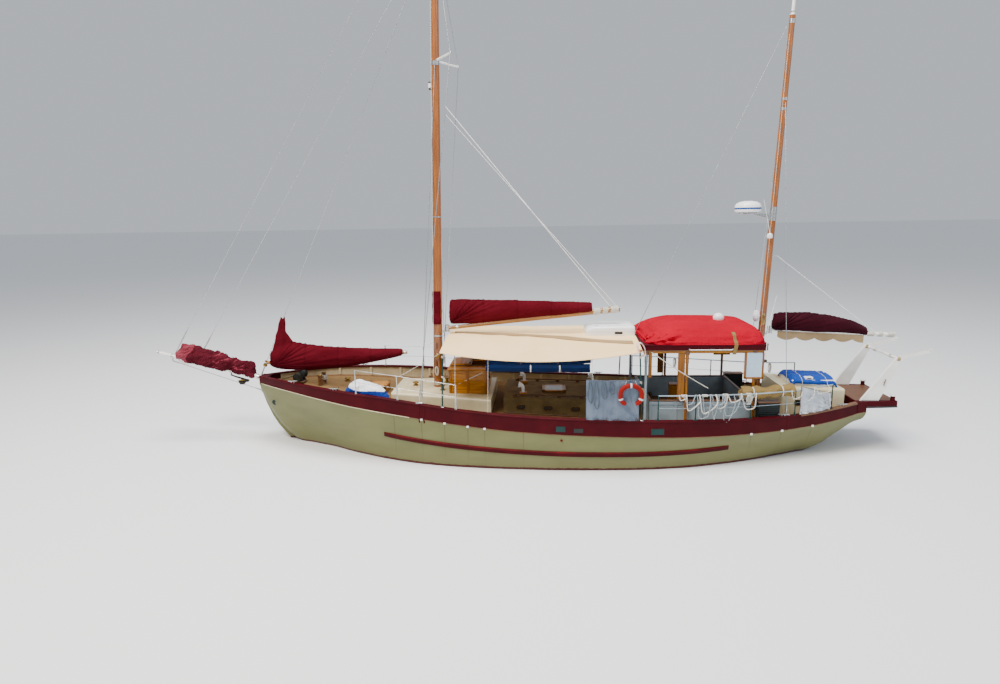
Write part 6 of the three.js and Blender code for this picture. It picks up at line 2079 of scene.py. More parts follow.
@dataclass
class Awning:
    """The cream cotton awning that is stretched over the waist on its two frames."""

    fore: float = 2.12
    aft: float = -2.74
    reach: float = 1.88
    ridge: float = 2.935
    flat: float = 0.62
    shoulder: tuple[float, float] = (1.25, 0.58)
    corner: tuple[float, float] = (2.79, 2.85)  # port, starboard
    sag: tuple[float, float] = (2.56, 2.81)

    def edge(self, x: float, side: int) -> float:
        """Gives the height of the awning's outer edge at x, on port (1) or starboard (-1)."""
        t = (x - self.aft) / (self.fore - self.aft)
        corner, sag = self.corner[side < 0], self.sag[side < 0]
        return corner - 4 * t * (1 - t) * (corner - sag)

    def height(self, x: float, y: float) -> float:
        """Gives the height of the cloth at a place."""
        out, edge = abs(y), self.edge(x, 1 if y > 0 else -1)
        knee, share = self.shoulder
        if out < self.flat:
            return self.ridge
        if out < knee:
            return mix(self.ridge, mix(edge, self.ridge, share), (out - self.flat) / (knee - self.flat))
        return mix(mix(edge, self.ridge, share), edge, (out - knee) / (self.reach - knee))

    def build(self) -> None:
        """Builds the cloth, its hems, the fold at its aft port corner and the frames under it."""
        kit = Kit("awning_cloth")
        rows = []
        for x in steps(self.fore, self.aft, 0.05):
            tight = max(min((self.fore - x) / 0.3, (x - self.aft) / 0.3, 1.0), 0.0)
            row = []
            for y in steps(-self.reach, self.reach, 0.05):
                ripple = creased((x, y, 0), 1.1, (1.5, 0.35, 1.0), 0.012) * tight
                smooth = (self.height(x, y - 0.06) + self.height(x, y + 0.06)) / 2 if abs(y) < self.reach - 0.07 \
                    else self.height(x, y)
                row.append((x, y, mix(self.height(x, y), smooth, 0.6) + ripple - 0.004))
            rows.append(row)
        kit.cloth(rows, AWNING_CANVAS, 0.004)
        cloth = kit.build(Body.YACHT, "awning_canvas", "awning")
        trim = Kit("awning_hems")
        for side in (1, -1):
            trim.pipe([(x, side * self.reach, self.edge(x, side) - 0.008) for x in steps(self.fore, self.aft, 0.1)],
                      AWNING_CANVAS, 0.009, 6)
            for x in (1.75, 0.95, 0.15, -0.75, -1.55):  # short lashings at the eyelets
                trim.rod((x, side * (self.reach - 0.01), self.edge(x, side) + 0.004),
                         (x + 0.02, side * (self.reach + 0.004), self.edge(x, side) - 0.075), BROWN_TAPE, 0.007,
                         sides=6)
        for x in (self.fore, self.aft):
            trim.pipe([(x, y, self.height(x, y) - 0.008) for y in steps(-self.reach, self.reach, 0.15)],
                      AWNING_CANVAS, 0.009, 6)
        trim.pipe([(-0.2, y, self.height(-0.2, y) - 0.003) for y in steps(-self.reach + 0.02, self.reach - 0.02, 0.12)],
                  AWNING_CANVAS, 0.006, 6)
        # the strip's brown is painted shade of the lap
        strip = []  # a lapped seam that runs aslant, from the ridge forward to the port side aft
        for x in steps(2.0, -2.6, 0.1):
            y = mix(-0.12, 1.18, (2.0 - x) / 4.6)
            wide = 0.13 + 0.03 * math.sin(1.7 * x + 1)
            across_it = [(x, y + wide * k, self.height(x, y + wide * k) + 0.017) for k in (-1, -0.4, 0.2, 0.8)]
            strip.append([*across_it, *[(a, b, c - 0.020) for a, b, c in reversed(across_it)]])
        trim.loft(strip, SHADED_SEAM_CANVAS)
        trim.build(Body.YACHT, "awning_canvas")
        declare_sheet(cloth, 3.95, 4.9, "stretched", "awning_frame_forward", "awning_frame_aft")
        self.fold()
        for x, name in ((self.fore - 0.06, "forward"), (self.aft + 0.06, "aft")):
            self.frame(x, name)

    def fold(self) -> None:
        """Builds the end of the awning's cloth that is gathered over the pole at the aft port corner."""
        kit = Kit("awning_corner_cloth")
        rows = []
        for k in range(25):
            a = 2 * math.pi * k / 24 * 0.86 - 0.4
            row = []
            for j in range(9):
                y = self.reach - 0.15 + 0.026 * j
                wave = 0.012 * math.sin(3 * a + j) + creased((a, y, 0), 0.3, (1, 1, 1), 0.010)
                row.append((self.aft + 0.03 + (0.075 + wave) * math.cos(a) + 0.05 * math.sin(a),
                            y + 0.01 * math.sin(4 * a),
                            self.edge(self.aft, 1) + 0.055 + (0.155 + wave) * math.sin(a)))
            rows.append(row)
        kit.cloth(rows, FOLD_CANVAS, 0.004)
        kit.build(Body.YACHT, "awning_canvas")

    def frame(self, x: float, name: str) -> None:
        """Builds one frame: two poles on the rail and a bar between them under the cloth.

        Args:
            x: where it stands.
            name: which one it is.
        """
        kit = Kit(f"awning_poles_{name}")
        kit.pipe([(x, y, self.height(x, y) - (0.037 if abs(y) < self.flat else 0.044))
                  for y in steps(-self.reach + 0.03, self.reach - 0.03, 0.15)], GREY_GREEN_PAINT, 0.018, 10)
        for side in (1, -1):
            foot = Vector((x, side * (Lines.side(x) - 0.06), Lines.rail(x) + 0.001))
            top = Vector((x, side * (self.reach - 0.03), self.height(x, side * (self.reach - 0.03)) - 0.044))
            kit.rod(foot, top, GREY_GREEN_PAINT, 0.019, sides=12)
            kit.slab(foot - Vector((0.04, 0.04, 0)), foot + Vector((0.04, 0.04, 0.016)), STAINLESS, 0.004)
            kit.ball(top, 0.022, GREY_GREEN_PAINT, sides=12)
            for share in (0.93, 0.55):
                centre = between(foot, top, share)
                kit.whipped(centre, centre + Vector((0, 0, 0.05)), 0.019, WHITE_ROPE, 4, 0.005)
        kit.build(Body.YACHT, "steel_wire", f"awning_frame_{name}")


@dataclass
class Canopy:
    """The red canvas cover that lies over the steering shelter's roof."""

    fore: float = -2.86
    aft: float = -5.82
    half: float = 1.50
    low: float = 2.8705
    top: float = 3.268
    layers: tuple[tuple[float, float], ...] = ((0.0, 0.0), (0.07, 0.006), (0.16, 0.015), (0.28, 0.055), (0.42, 0.11),
                                               (0.56, 0.18), (0.68, 0.26), (0.78, 0.345), (0.86, 0.45), (0.92, 0.565),
                                               (0.96, 0.70), (0.985, 0.84), (1.0, 0.98), (1.0, 1.15), (1.0, 1.32),
                                               (1.0, 1.47))  # share of the height, and how far in

    def ring(self, share: float, inset: float, inside: float) -> list[Vector]:
        """Gives one level of the canopy.

        Args:
            share: its height as a share of the crown's.
            inset: how far it lies in from the shelter's edge.
            inside: how far further in, for the canvas's inner face.

        Returns:
            The ring.
        """
        half_x = (self.fore - self.aft) / 2
        closing = 1 - max(inset - 0.98, 0) / 0.56
        reach_y = max(self.half - inset * 0.8 - inside, 0.02) * closing
        ring = []
        for c, s in circle(240, first=0.5):
            cx, cy = (math.copysign(abs(v) ** 0.26, v) for v in (c, s))
            reach_x = max(half_x - inset * (0.85 if cx > 0 else 0.30) - inside, 0.02) * closing
            p = Vector(((self.fore + self.aft) / 2 + cx * reach_x, cy * reach_y, 0))
            ahead = min(max((p.x - (self.fore - 0.95)) / 0.95, 0.0), 1.0)
            astern = min(max((self.aft + 1.3 - p.x) / 1.3, 0.0), 1.0)
            p.z = self.low + share * (self.top - self.low) * (1 - 0.45 * ahead ** 1.2 - 0.12 * astern) - inside
            loose = math.sin(math.pi * min(share * 1.1 + 0.05, 1)) ** 0.7
            slant = Vector((p.x * 0.8 + p.z * 1.2, p.y, p.z - p.x * 0.4))  # the creases run up and aft
            sag = creased(slant, 0.75, (0.7, 0.6, 1.4), 0.070) + creased(slant, 0.24, (1.0, 0.8, 1.6), 0.022)
            sag += ahead ** 0.6 * (creased(slant, 0.27, (1.3, 0.5, 1.6), 0.150)
                                   + creased(slant, 0.11, (1.0, 0.8, 1.4), 0.05))
            sag = (sag + fanned(p, (self.fore + 0.02, self.low), 8.0, 0.16)) * loose
            p -= Vector((cx * 0.7, cy * 0.9, 0.8)) * (abs(sag) * 0.6 - sag * 0.4)
            ring.append(p)
        return ring

    def build(self) -> None:
        """Builds the canopy, its hem, the strap over its edge and the dome on top."""
        kit = Kit("canopy_canvas")
        levels = [(between((*a, 0), (*b, 0), t)[:2]) for a, b in zip(self.layers, self.layers[1:])
                  for t in (0, 1 / 3, 2 / 3)] + [self.layers[-1]]
        outer = [self.ring(share, inset, 0.0) for share, inset in levels]
        inner = [self.ring(share, inset, 0.005) for share, inset in levels]
        inner[0] = [Vector((p.x, p.y, outer[0][0].z)) for p in inner[0]]
        kit.loft([*reversed(outer), *inner], RED_CANVAS)
        canvas = kit.build(Body.YACHT, "red_canvas", "canopy_cover", sharp=80)
        declare_sheet(canvas, 3.4, 3.7, "stretched", "doghouse_roof")
        trim = Kit("canopy_piping")
        hem = [p + Vector((0, 0, 0.008)) for p in outer[0]]
        trim.pipe([*hem, hem[0]], RED_CANVAS, 0.009, 6)
        band = [k for k, p in enumerate(outer[0]) if p.y > 1.2 and abs(p.x + 4.98) < 0.13]
        over = [[ring[k] + Vector((0, 0.008, 0.006)) for k in band] for ring in outer[19:0:-2]]
        hung = [[Vector((p.x + 0.01 * k, 1.512 + 0.003 * k, 2.87 - 0.045 * k)) for p in over[-1]] for k in range(6)]
        strap = [*over, *hung]
        trim.loft([[*line, *[p - Vector((0, 0.002, 0.004)) for p in reversed(line)]] for line in strap], KHAKI_CANVAS)
        trim.build(Body.YACHT, "red_canvas")
        dome = Kit("canopy_dome")
        shell = ((0.0, 0.12), (0.03, 0.14), (0.10, 0.14), (0.16, 0.11), (0.19, 0.06), (0.20, 0.0))  # height, radius
        dome.turned((-4.97, -0.05, self.top - 0.04), shell, WHITE_GELCOAT, sides=24)
        dome.build(Body.YACHT, "white_plastic")


@dataclass
class HungCloth:
    """A weather cloth laced between the rail and a line above it."""

    name: str
    node: str
    slot: str
    fore: float
    aft: float
    top: float
    finish: Finish
    pleats: float
    edging: Finish
    slope: float = 0.0
    depth: float = 0.024

    def place(self, x: float, t: float) -> Point:
        """Gives the cloth's point at a place along the rail and a share of its height."""
        middle = math.sin(math.pi * (x - self.aft) / (self.fore - self.aft))
        head = self.top - 0.022 * middle - self.slope * (self.fore - x) / (self.fore - self.aft)
        z = mix(Lines.rail(x) + 0.004, head, t)
        wave = 0.012 * math.sin(2 * math.pi * x / self.pleats + 1.7 * math.sin(3.1 * x) + 1.2 * (1 - t))
        fold = (creased((x, 0, z), self.pleats * 1.9, (1.3, 1, 0.5), 0.022)
                + creased((x + z * 0.8, 0, z), 0.34, (1, 1, 1), 0.022)
                + fanned((x, 0, z), (self.aft, Lines.rail(self.aft)), 6.0, 0.040))
        return (x, Lines.side(x) - 0.032 + self.depth * (0.65 + math.tanh((wave + fold) / 0.020)), z)

    def build(self) -> None:
        """Builds the cloth with its hems, eyelets and lacing."""
        kit = Kit(self.name)
        places = steps(self.fore, self.aft, 0.015)
        kit.cloth([[self.place(x, k / 26) for k in range(27)] for x in places], self.finish, 0.003)
        cloth = kit.build(Body.YACHT, self.slot, self.node, sharp=70)
        ends = self.top - Lines.rail(self.fore), self.top - self.slope - Lines.rail(self.aft)
        wide, high = (1.04 * size for size in (self.fore - self.aft, max(ends)))  # 4% goes into the folds
        cut = wide * 1.04 * sum(ends) / 2 if self.slope else None
        declare_sheet(cloth, wide, high, "hung", "cap_rail", cut=cut)
        trim = Kit(self.name + "_lacing")
        for t in (1.0, 0.0):
            trim.pipe([self.place(x, t) for x in [*places[::3], places[-1]]], self.edging, 0.008, 6)
        for x in (self.fore, self.aft):
            trim.pipe([self.place(x, k / 13) for k in range(14)], self.edging, 0.008, 6)
        for x in steps(self.fore - 0.04, self.aft + 0.04, 0.24):
            trim.hoop(self.place(x, 0.03), (0.3, 1, 0), 0.028, 0.005, BROWN_TAPE, parts=12)
        trim.build(Body.YACHT, self.slot)


# Steering shelter, stern and rails


@dataclass
class Shelter:
    """The open steering shelter: coaming, posts, roof, wheel and pedestal."""

    fore: float = -2.76
    aft: float = -5.82
    half: float = 1.50
    roof: float = 2.72
    thick: float = 0.15
    corner: float = 0.16
    post_y: float = 1.432
    posts: tuple[float, ...] = (-2.89, -3.88, -5.48)
    coaming_fore: float = -3.0
    coaming_aft: float = -5.56
    coaming_y: float = 1.34
    coaming_top: float = 1.45
    wheel_x: float = -4.06
    wheel_z: float = 1.42
    wheel_r: float = 0.40
    # distance from the wheel's middle, and radius: turned spoke and handle
    spoke: tuple[tuple[float, float], ...] = (
        (0.04, 0.014), (0.09, 0.014), (0.11, 0.010), (0.18, 0.0155), (0.27, 0.0115), (0.33, 0.010),
        (0.35, 0.015), (0.415, 0.014), (0.425, 0.010), (0.45, 0.0155), (0.475, 0.015), (0.489, 0.009))
    # distance aft along the wheel's axle, and radius
    hub: tuple[tuple[float, float], ...] = ((0, 0.054), (0.015, 0.055), (0.02, 0.042), (0.06, 0.042), (0.065, 0.05),
                                            (0.08, 0.045), (0.089, 0.02))
    pedestal_low: float = 0.461
    pedestal_top: float = 1.55
    panel_fore: float = -5.245
    panel_aft: float = -5.70
    panel_low: float = 2.06

    def coaming(self) -> None:
        """Builds the coaming round the cockpit, panelled and capped, with a doorway forward."""
        kit = Kit("cockpit_coaming")
        y, thick, top, cap = self.coaming_y, 0.058, self.coaming_top - 0.03, self.coaming_top
        fore, aft = self.coaming_fore, self.coaming_aft
        with kit.both_sides():
            kit.loft([[(x, y, Lines.deck(x) + 0.001), (x, y, top), (x, y - thick, top),
                       (x, y - thick, Lines.deck(x) + 0.001)] for x in steps(fore, aft, 0.3)], GREY_BLUE_PAINT)
            for x in steps(fore - 0.04, aft + 0.04, 0.62):
                kit.slab((x - 0.035, y - 0.004, Lines.deck(x) + 0.01), (x + 0.035, y + 0.014, top - 0.004),
                         GREY_BLUE_PAINT)
            for low in (Lines.deck(-4.2) + 0.03, top - 0.09):
                kit.slab((aft, y - 0.004, low), (fore, y + 0.012, low + 0.07), GREY_BLUE_PAINT)
            kit.slab((aft, y - thick - 0.02, top), (fore, y + 0.014, cap), TEAK_RAIL, 0.01)
            kit.slab((fore - thick, 0.33, Lines.deck(-3.0) + 0.001), (fore, y, top), GREY_BLUE_PAINT)
            kit.slab((fore - thick - 0.012, 0.33, top), (fore, y, cap), TEAK_RAIL, 0.01)
        kit.slab((aft, -y, Lines.deck(-5.5) + 0.001), (aft + thick, y, top), GREY_BLUE_PAINT)
        kit.slab((aft, -y - 0.01, top), (aft + thick + 0.02, y + 0.01, cap), TEAK_RAIL, 0.01)
        kit.build(Body.YACHT, "beige_paint", "doghouse_coaming")

    def rim(self, grow: float, z: float) -> Ring:
        """Gives the roof's outline at a height, its corners rounded."""
        x, y, r = (self.fore + self.aft) / 2, self.half - self.corner, self.corner + grow
        reach = (self.fore - self.aft) / 2 - self.corner
        return [(x + math.copysign(reach, c) + r * c, math.copysign(y, s) + r * s, z)
                for c, s in circle(24, first=0.5)]

    def frame(self) -> None:
        """Builds the roof, its deep maroon fascia edged in golden wood, and the posts."""
        kit = Kit("shelter_roof_and_posts")
        low, top = self.roof, self.roof + self.thick
        courses = ((low, low + 0.020, -0.004, TEAK_RAIL),  # lower edge, upper edge, how far out, finish
                   (low + 0.019, top - 0.030, -0.008, MAROON_ENAMEL),
                   (top - 0.031, top - 0.0005, -0.001, MAROON_ENAMEL))
        for z0, z1, grow, finish in courses:
            kit.loft([self.rim(grow, z0), self.rim(grow, z1)], finish)
        kit.slab((-2.835, -0.016, top - 0.012), (-2.775, 0.016, top + 0.042), STAINLESS, 0.004)
        with kit.both_sides():
            for x, finish in zip(self.posts, (GREY_BLUE_PAINT, TEAK_POSTS, TEAK_POSTS)):
                foot = Lines.deck(x) + 0.001
                kit.turned((x, self.post_y, foot), [(0, 0.041), (0.10, 0.041), (0.115, 0.034), (1.55, 0.034),
                                                    (1.57, 0.041), (low - foot + 0.01, 0.041)], finish)
                kit.slab((x - 0.055, self.post_y - 0.042, low - 0.10), (x + 0.055, self.post_y + 0.042, low + 0.004),
                         TEAK_RAIL, 0.012)
            kit.slab((-3.03, self.post_y - 0.02, 2.05), (-2.945, self.post_y + 0.02, low), TEAK_POSTS)
            kit.slab((-3.83, self.post_y - 0.03, 1.50), (-3.66, self.post_y + 0.01, low), TEAK_POSTS, 0.010)
            kit.slab((self.aft + 0.12, self.post_y - 0.03, low - 0.06),
                     (self.fore - 0.06, self.post_y + 0.03, low + 0.003), TEAK_JOINERY, 0.01)  # the roof's side beam
            self.panel(kit)
            kit.pipe([(-3.9, self.half - 0.012, low + 0.045), (-3.93, self.half - 0.004, low + 0.030),
                      (-4.92, self.half - 0.004, low + 0.030), (-4.95, self.half - 0.012, low + 0.045)], WHITE_GELCOAT,
                     0.011)
        for x in steps(self.fore - 0.25, self.aft + 0.25, 0.48):
            kit.slab((x - 0.02, -self.post_y, low - 0.045), (x + 0.02, self.post_y, low + 0.003), TEAK_JOINERY, 0.008)
        kit.build(Body.YACHT, "varnished_wood", "doghouse_roof")

    def panel(self, kit: Kit) -> None:
        """Adds the pale-blue board with wooden edges that fills the roof's aft corner."""
        y, low, high, fore, aft = self.post_y, self.panel_low, self.roof - 0.05, self.panel_fore, self.panel_aft
        kit.slab((aft + 0.04, y - 0.016, low), (fore - 0.035, y + 0.046, high), PALE_BLUE_PAINT, 0.008)
        for x0, x1, z0, z1 in ((aft, aft + 0.045, low - 0.03, high), (fore - 0.045, fore, low - 0.03, high),
                               (aft, fore, low - 0.04, low + 0.01)):
            kit.slab((x0, y - 0.024, z0), (x1, y + 0.056, z1), TEAK_POSTS, 0.008)

    def console(self) -> None:
        """Builds the instrument board ahead of the wheel, with its dark dials."""
        kit = Kit("cockpit_console")
        low = Lines.deck(-3.1)
        kit.slab((-3.20, -0.86, low - 0.30), (-3.155, 0.86, low + 0.02), TEAK_JOINERY)
        for y in (-0.5, -0.2, 0.2, 0.5):
            kit.turned((-3.16, y, low - 0.12), [(0.04, 0.055), (0.055, 0.058), (0.06, 0.05)], BLACK_RUBBER_AND_SHADE,
                       axis=(-1, 0, 0))
        kit.build(Body.YACHT, "varnished_wood")

    def wheel(self) -> None:
        """Builds the wheel: laminated rim, turned spokes with handles, bronze hub."""
        kit = Kit("ships_wheel")
        x, z = self.wheel_x, self.wheel_z
        kit.hoop((x, 0, z), (1, 0, 0), self.wheel_r, 0.018, TEAK_POSTS, sides=12, parts=56)
        kit.hoop((x + 0.012, 0, z), (1, 0, 0), self.wheel_r, 0.008, BRONZE, sides=8, parts=56)
        kit.turned((x + 0.0445, 0, z), self.hub, BRONZE, axis=(-1, 0, 0), sides=24)
        for c, s in circle(6, first=0.5):
            kit.turned((x, 0, z), self.spoke, TEAK_POSTS, axis=(0, c, s), sides=12)
        kit.build(Body.HELM, "varnished_wood", "helm_wheel")
        pedestal = Kit("wheel_pedestal")
        low, top = self.pedestal_low, self.pedestal_top
        pedestal.slab((-3.95, -0.148, low), (-3.732, 0.148, low + 0.08), TEAK_RAIL, 0.008)
        pedestal.slab((-3.94, -0.138, low + 0.07), (-3.742, 0.138, top - 0.03), TEAK_JOINERY, 0.010)
        pedestal.slab((-3.95, -0.149, top - 0.035), (-3.731, 0.149, top - 0.0005), TEAK_POSTS, 0.012)
        pedestal.rod((-3.945, 0, z), (-4.0145, 0, z), BRONZE, 0.059, sides=24)
        for dz in (0.30, 0.62):
            pedestal.slab((-3.948, -0.10, low + dz), (-3.938, 0.10, low + dz + 0.22), TEAK_POSTS, 0.004)
        pedestal.build(Body.YACHT, "varnished_wood", "helm_pedestal")

    def build(self) -> None:
        """Builds the shelter."""
        self.coaming()
        self.frame()
        self.console()
        self.wheel()


@dataclass
class RoofBox:
    """The white locker that stands on the awning's ridge, abaft the main boom's end."""

    low: float = 2.936
    rows: tuple[tuple[float, float, float], ...] = ((-1.482, 0.075, 0.10), (-1.50, 0.045, 0.155), (-1.56, 0.02, 0.205),
                                                    (-1.70, 0.012, 0.228), (-2.60, 0.004, 0.238), (-2.70, 0.006, 0.236),
                                                    (-2.733, 0.02, 0.215))  # x, inset, height

    def build(self) -> None:
        """Builds the box with a rounded front, a lip and its fittings."""
        kit = Kit("roof_locker")
        rings = []
        for x, inset, up in self.rows:
            half, high = 0.518 - inset - 0.075, self.low + up - 0.075
            rings.append(mirrored([(x, half + 0.075, self.low),
                                   *[(x, half + 0.075 * c, high + 0.075 * s) for c, s in circle(5, 0.3125)]]))
        kit.loft(rings, WHITE_GELCOAT)
        with kit.both_sides():
            kit.pipe([(x, 0.518 - inset, self.low + 0.125) for x, inset, _ in self.rows[2:]], WHITE_GELCOAT, 0.008, 6)
            kit.slab((-2.42, 0.510, self.low + 0.04), (-2.22, 0.5185, self.low + 0.10), BLACK_RUBBER_AND_SHADE, 0.003)
        for x in (-1.75, -2.05, -2.35):
            kit.slab((x - 0.05, 0.33, self.low + 0.226), (x + 0.05, 0.37, self.low + 0.2385), STAINLESS, 0.003)
        kit.build(Body.YACHT, "white_plastic", "roof_box")


@dataclass
class GuardRail:
    """Stanchions on the cap rail with a pipe or wires through them."""

    name: str
    node: str
    places: tuple[float, ...]
    side: int
    pipe_r: float
    finish: Finish
    post: Finish
    rise: float = 0.60
    lower: float = 0.30

    def foot(self, x: float) -> Vector:
        """Gives a stanchion's foot."""
        return Vector((x, self.side * (Lines.side(x) - 0.06), Lines.rail(x)))

    def build(self) -> None:
        """Builds the rail."""
        kit = Kit(self.name)
        up = Vector((0, 0, 1))
        for x in self.places:
            foot = self.foot(x)
            kit.turned(foot, [(0.001, 0.037), (0.010, 0.036), (0.014, 0.020), (0.06, 0.018), (0.065, 0.0135),
                              (self.rise - 0.01, 0.0135), (self.rise, 0.006)], self.post, sides=14)
            for z in (self.lower, self.rise - 0.012):
                kit.rod(foot + up * (z - 0.012), foot + up * (z + 0.012), self.post, 0.017, sides=12)
        for a, b in zip(self.places, self.places[1:]):
            kit.rod(self.foot(a) + up * self.rise, self.foot(b) + up * self.rise, self.finish, self.pipe_r, sides=12)
            kit.pipe(hanging(self.foot(a) + up * self.lower, self.foot(b) + up * self.lower, 0.006, 6), self.finish,
                     0.0055, 6)
        kit.build(Body.YACHT, "steel_wire", self.node)


@dataclass
class Davits:
    """The white davits on the stern: cranked legs, arms, a crossbar and small lashings."""

    half: float = 0.82
    thick: float = 0.073
    platform: float = 1.301
    joint: tuple[float, float] = (-9.20, 2.36)
    leg: tuple[tuple[float, float], ...] = ((-8.322, 1.301), (-8.758, 1.301), (-9.248, 2.33), (-9.218, 2.422),
                                            (-9.132, 2.422), (-9.102, 2.378))
    arm: tuple[tuple[float, float], ...] = ((-9.142, 2.318), (-9.938, 2.533), (-9.948, 2.617), (-9.142, 2.423))
    bolts: tuple[tuple[float, float], ...] = ((-8.50, 1.40), (-8.66, 1.40), (-9.90, 2.575))
    falls: tuple[tuple[tuple[float, float], tuple[float, float]], ...] = (
        ((-9.90, 2.612), (-9.22, 2.446)), ((-9.17, 2.30), (-8.72, 1.50)))
    cleat: tuple[float, float] = (-8.86, 1.78)

    def build(self) -> None:
        """Builds both davits."""
        kit = Kit("stern_davits")
        y0, y1, (jx, jz) = self.half - self.thick / 2, self.half + self.thick / 2, self.joint
        with kit.both_sides():
            kit.plate(self.leg, y0, y1, WHITE_ENAMEL)
            kit.plate(self.arm, y0 + 0.010, y1 - 0.010, WHITE_ENAMEL)
            kit.slab((-8.75, y0 - 0.001, self.platform), (-8.33, y1 + 0.001, self.platform + 0.022), STAINLESS, 0.004)
            kit.rod((jx, y0 - 0.001, jz), (jx, y1 + 0.001, jz), STAINLESS, 0.020, sides=12)
            for x, z in self.bolts:
                kit.rod((x, y0 + 0.004, z), (x, y1 - 0.004, z), STAINLESS, 0.012, sides=8)
            for start, end in self.falls:
                kit.rod((start[0], self.half, start[1]), (end[0], self.half, end[1]), WHITE_ROPE, 0.006)
            for k in range(4):  # tan lashings at the joint
                kit.hoop((jx + 0.015 + 0.018 * k, self.half, jz + 0.01), (1, 0, 0.1 * k), 0.058, 0.007, TAN_ROPE,
                         parts=12)
            cleat = Vector((self.cleat[0], y1 - 0.004, self.cleat[1]))
            kit.rod(cleat, cleat + Vector((0, 0.030, 0)), TEAK_RAIL, 0.014, sides=8)
            kit.rod(cleat + Vector((0.02, 0.030, -0.08)), cleat + Vector((-0.02, 0.030, 0.08)), TEAK_RAIL, 0.011,
                    sides=8)
        kit.rod((jx, -self.half, jz), (jx, self.half, jz), WHITE_ENAMEL, 0.035, sides=18)
        for y in (-0.4, 0.4):
            kit.whipped((jx, y - 0.05, jz), (jx, y + 0.05, jz), 0.034, WHITE_ROPE, 7, 0.007)
        kit.build(Body.YACHT, "white_paint", "davits")


@dataclass
class SternPlatform:
    """The maroon platform over the stern, planked on top, with its two capped posts."""

    rows: tuple[tuple[float, float], ...] = ((-8.203, 1.0), (-8.45, 0.935), (-8.9, 0.905), (-9.218, 0.87))
    low: float = 1.131
    top: float = 1.30

    def section(self, x: float, y: float, low: float) -> Ring:
        """Gives the platform's section, its upper edges eased."""
        return mirrored([(x, y, low), (x, y, self.top - 0.014), (x, y - 0.012, self.top - 0.002)])

    def build(self) -> None:
        """Builds the platform."""
        kit = Kit("stern_platform_planks")
        kit.loft([self.section(x, y, Lines.at(x)["sheer_z"] + 0.001) for x, y in self.rows[:2]], MAROON_ENAMEL)
        kit.loft([self.section(x, y, self.low) for x, y in self.rows[1:]], MAROON_ENAMEL)
        for y in steps(-0.80, 0.80, 0.115)[:-1]:
            kit.slab((-9.19, y + 0.006, self.top - 0.012), (-8.22, y + 0.103, self.top - 0.0003), TEAK_RAIL, 0.004)
        with kit.both_sides():
            kit.pipe([(x, y + 0.001, self.low + 0.03) for x, y in self.rows[1:]], BLACK_RUBBER_AND_SHADE, 0.016)
            kit.turned((-9.13, 0.8, self.top - 0.003), [(0, 0.062), (0.015, 0.055), (0.118, 0.054)], MAROON_ENAMEL,
                       sides=20)
            kit.turned((-9.13, 0.8, self.top + 0.117), [(0, 0.068), (0.006, 0.0745), (0.024, 0.0745), (0.0325, 0.066)],
                       WHITE_GELCOAT, sides=20)
        kit.build(Body.YACHT, "maroon_paint", "stern_platform")


class Underwater:
    """The rudder with its stock, and the propeller."""

    HEEL = Vector((-6.362, 0, -1.95))
    RAKE = math.atan2(0.6, 1.55)
    BLADE = ((-0.006, 0.078), (-0.33, 0.063), (-0.637, 0.143), (-0.797, 0.461), (-0.807, 0.90), (-0.697, 1.418),
             (-0.464, 1.786), (-0.25, 1.688), (-0.006, 1.498))  # x and z in the rudder's own frame
    FACES = ((-0.031, 0.80), (-0.027, 0.93), (-0.012, 1.0), (0.012, 1.0), (0.027, 0.93), (0.031, 0.80))  # y, share
    SCREW = ((0.032, 0.088, 62), (0.06, 0.12, 55), (0.09, 0.148, 48), (0.16, 0.178, 36), (0.225, 0.148, 28),
             (0.25, 0.10, 25), (0.262, 0.05, 24))  # radius, chord, pitch in degrees
    FOIL = ((-0.5, 0.0), (-0.3, 0.7), (0.0, 1.0), (0.3, 0.7), (0.5, 0.0), (0.3, -0.5), (0.0, -0.7), (-0.3, -0.5))

    def on_stock(self, x: float, y: float, z: float) -> Vector:
        """Turns a point of the rudder's own frame, where z runs up the stock, into the yacht's."""
        c, s = math.cos(self.RAKE), math.sin(self.RAKE)
        return self.HEEL + Vector((x * c - z * s, y, x * s + z * c))

    def rudder(self) -> None:
        """Builds the blade, faired towards its edges, and the stock with its straps."""
        kit = Kit("rudder_blade")
        kit.loft([[self.on_stock(mix(-0.34, x, share) if x < -0.01 else x, y, mix(0.9, z, share))
                   for x, z in self.BLADE] for y, share in self.FACES], ANTIFOULING)
        kit.rod(self.on_stock(0, 0, 0), self.on_stock(0, 0, 1.79), BRONZE, 0.0445, sides=20)
        for z in (0.35, 0.9, 1.38):
            kit.rod(self.on_stock(0, 0, z - 0.035), self.on_stock(0, 0, z + 0.035), BRONZE, 0.047, sides=20)
            with kit.both_sides():
                kit.rod(self.on_stock(-0.02, 0.029, z), self.on_stock(-0.36, 0.027, z), BRONZE, 0.010, sides=6)
        kit.build(Body.RUDDER, "maroon_paint", "rudder")

    def propeller(self) -> None:
        """Builds the three-bladed bronze propeller."""
        kit = Kit("propeller_bronze")
        hub = Vector((-6.06, 0, -1.0))
        kit.turned(hub - Vector((0.0005, 0, 0)), [(0, 0.052), (0.03, 0.052), (0.19, 0.041), (0.205, 0.036),
                                                  (0.222, 0.024), (0.23, 0.010)], BRONZE, axis=(-1, 0, 0), sides=24)
        for k in range(3):
            turn = Quaternion((1, 0, 0), 2 * math.pi * k / 3)
            rings = []
            for radius, chord, pitch in self.SCREW:
                a, thick = math.radians(pitch), mix(0.009, 0.004, radius / 0.262)
                rings.append([hub + turn @ Vector((-0.115 + c * chord * math.sin(a) + n * thick * math.cos(a),
                                                   c * chord * math.cos(a) - n * thick * math.sin(a), radius))
                              for c, n in self.FOIL])
            kit.loft(rings, BRONZE)
        kit.build(Body.PROPELLER, "bronze", "propeller")

    def build(self) -> None:
        """Builds the moving gear."""
        self.rudder()
        self.propeller()


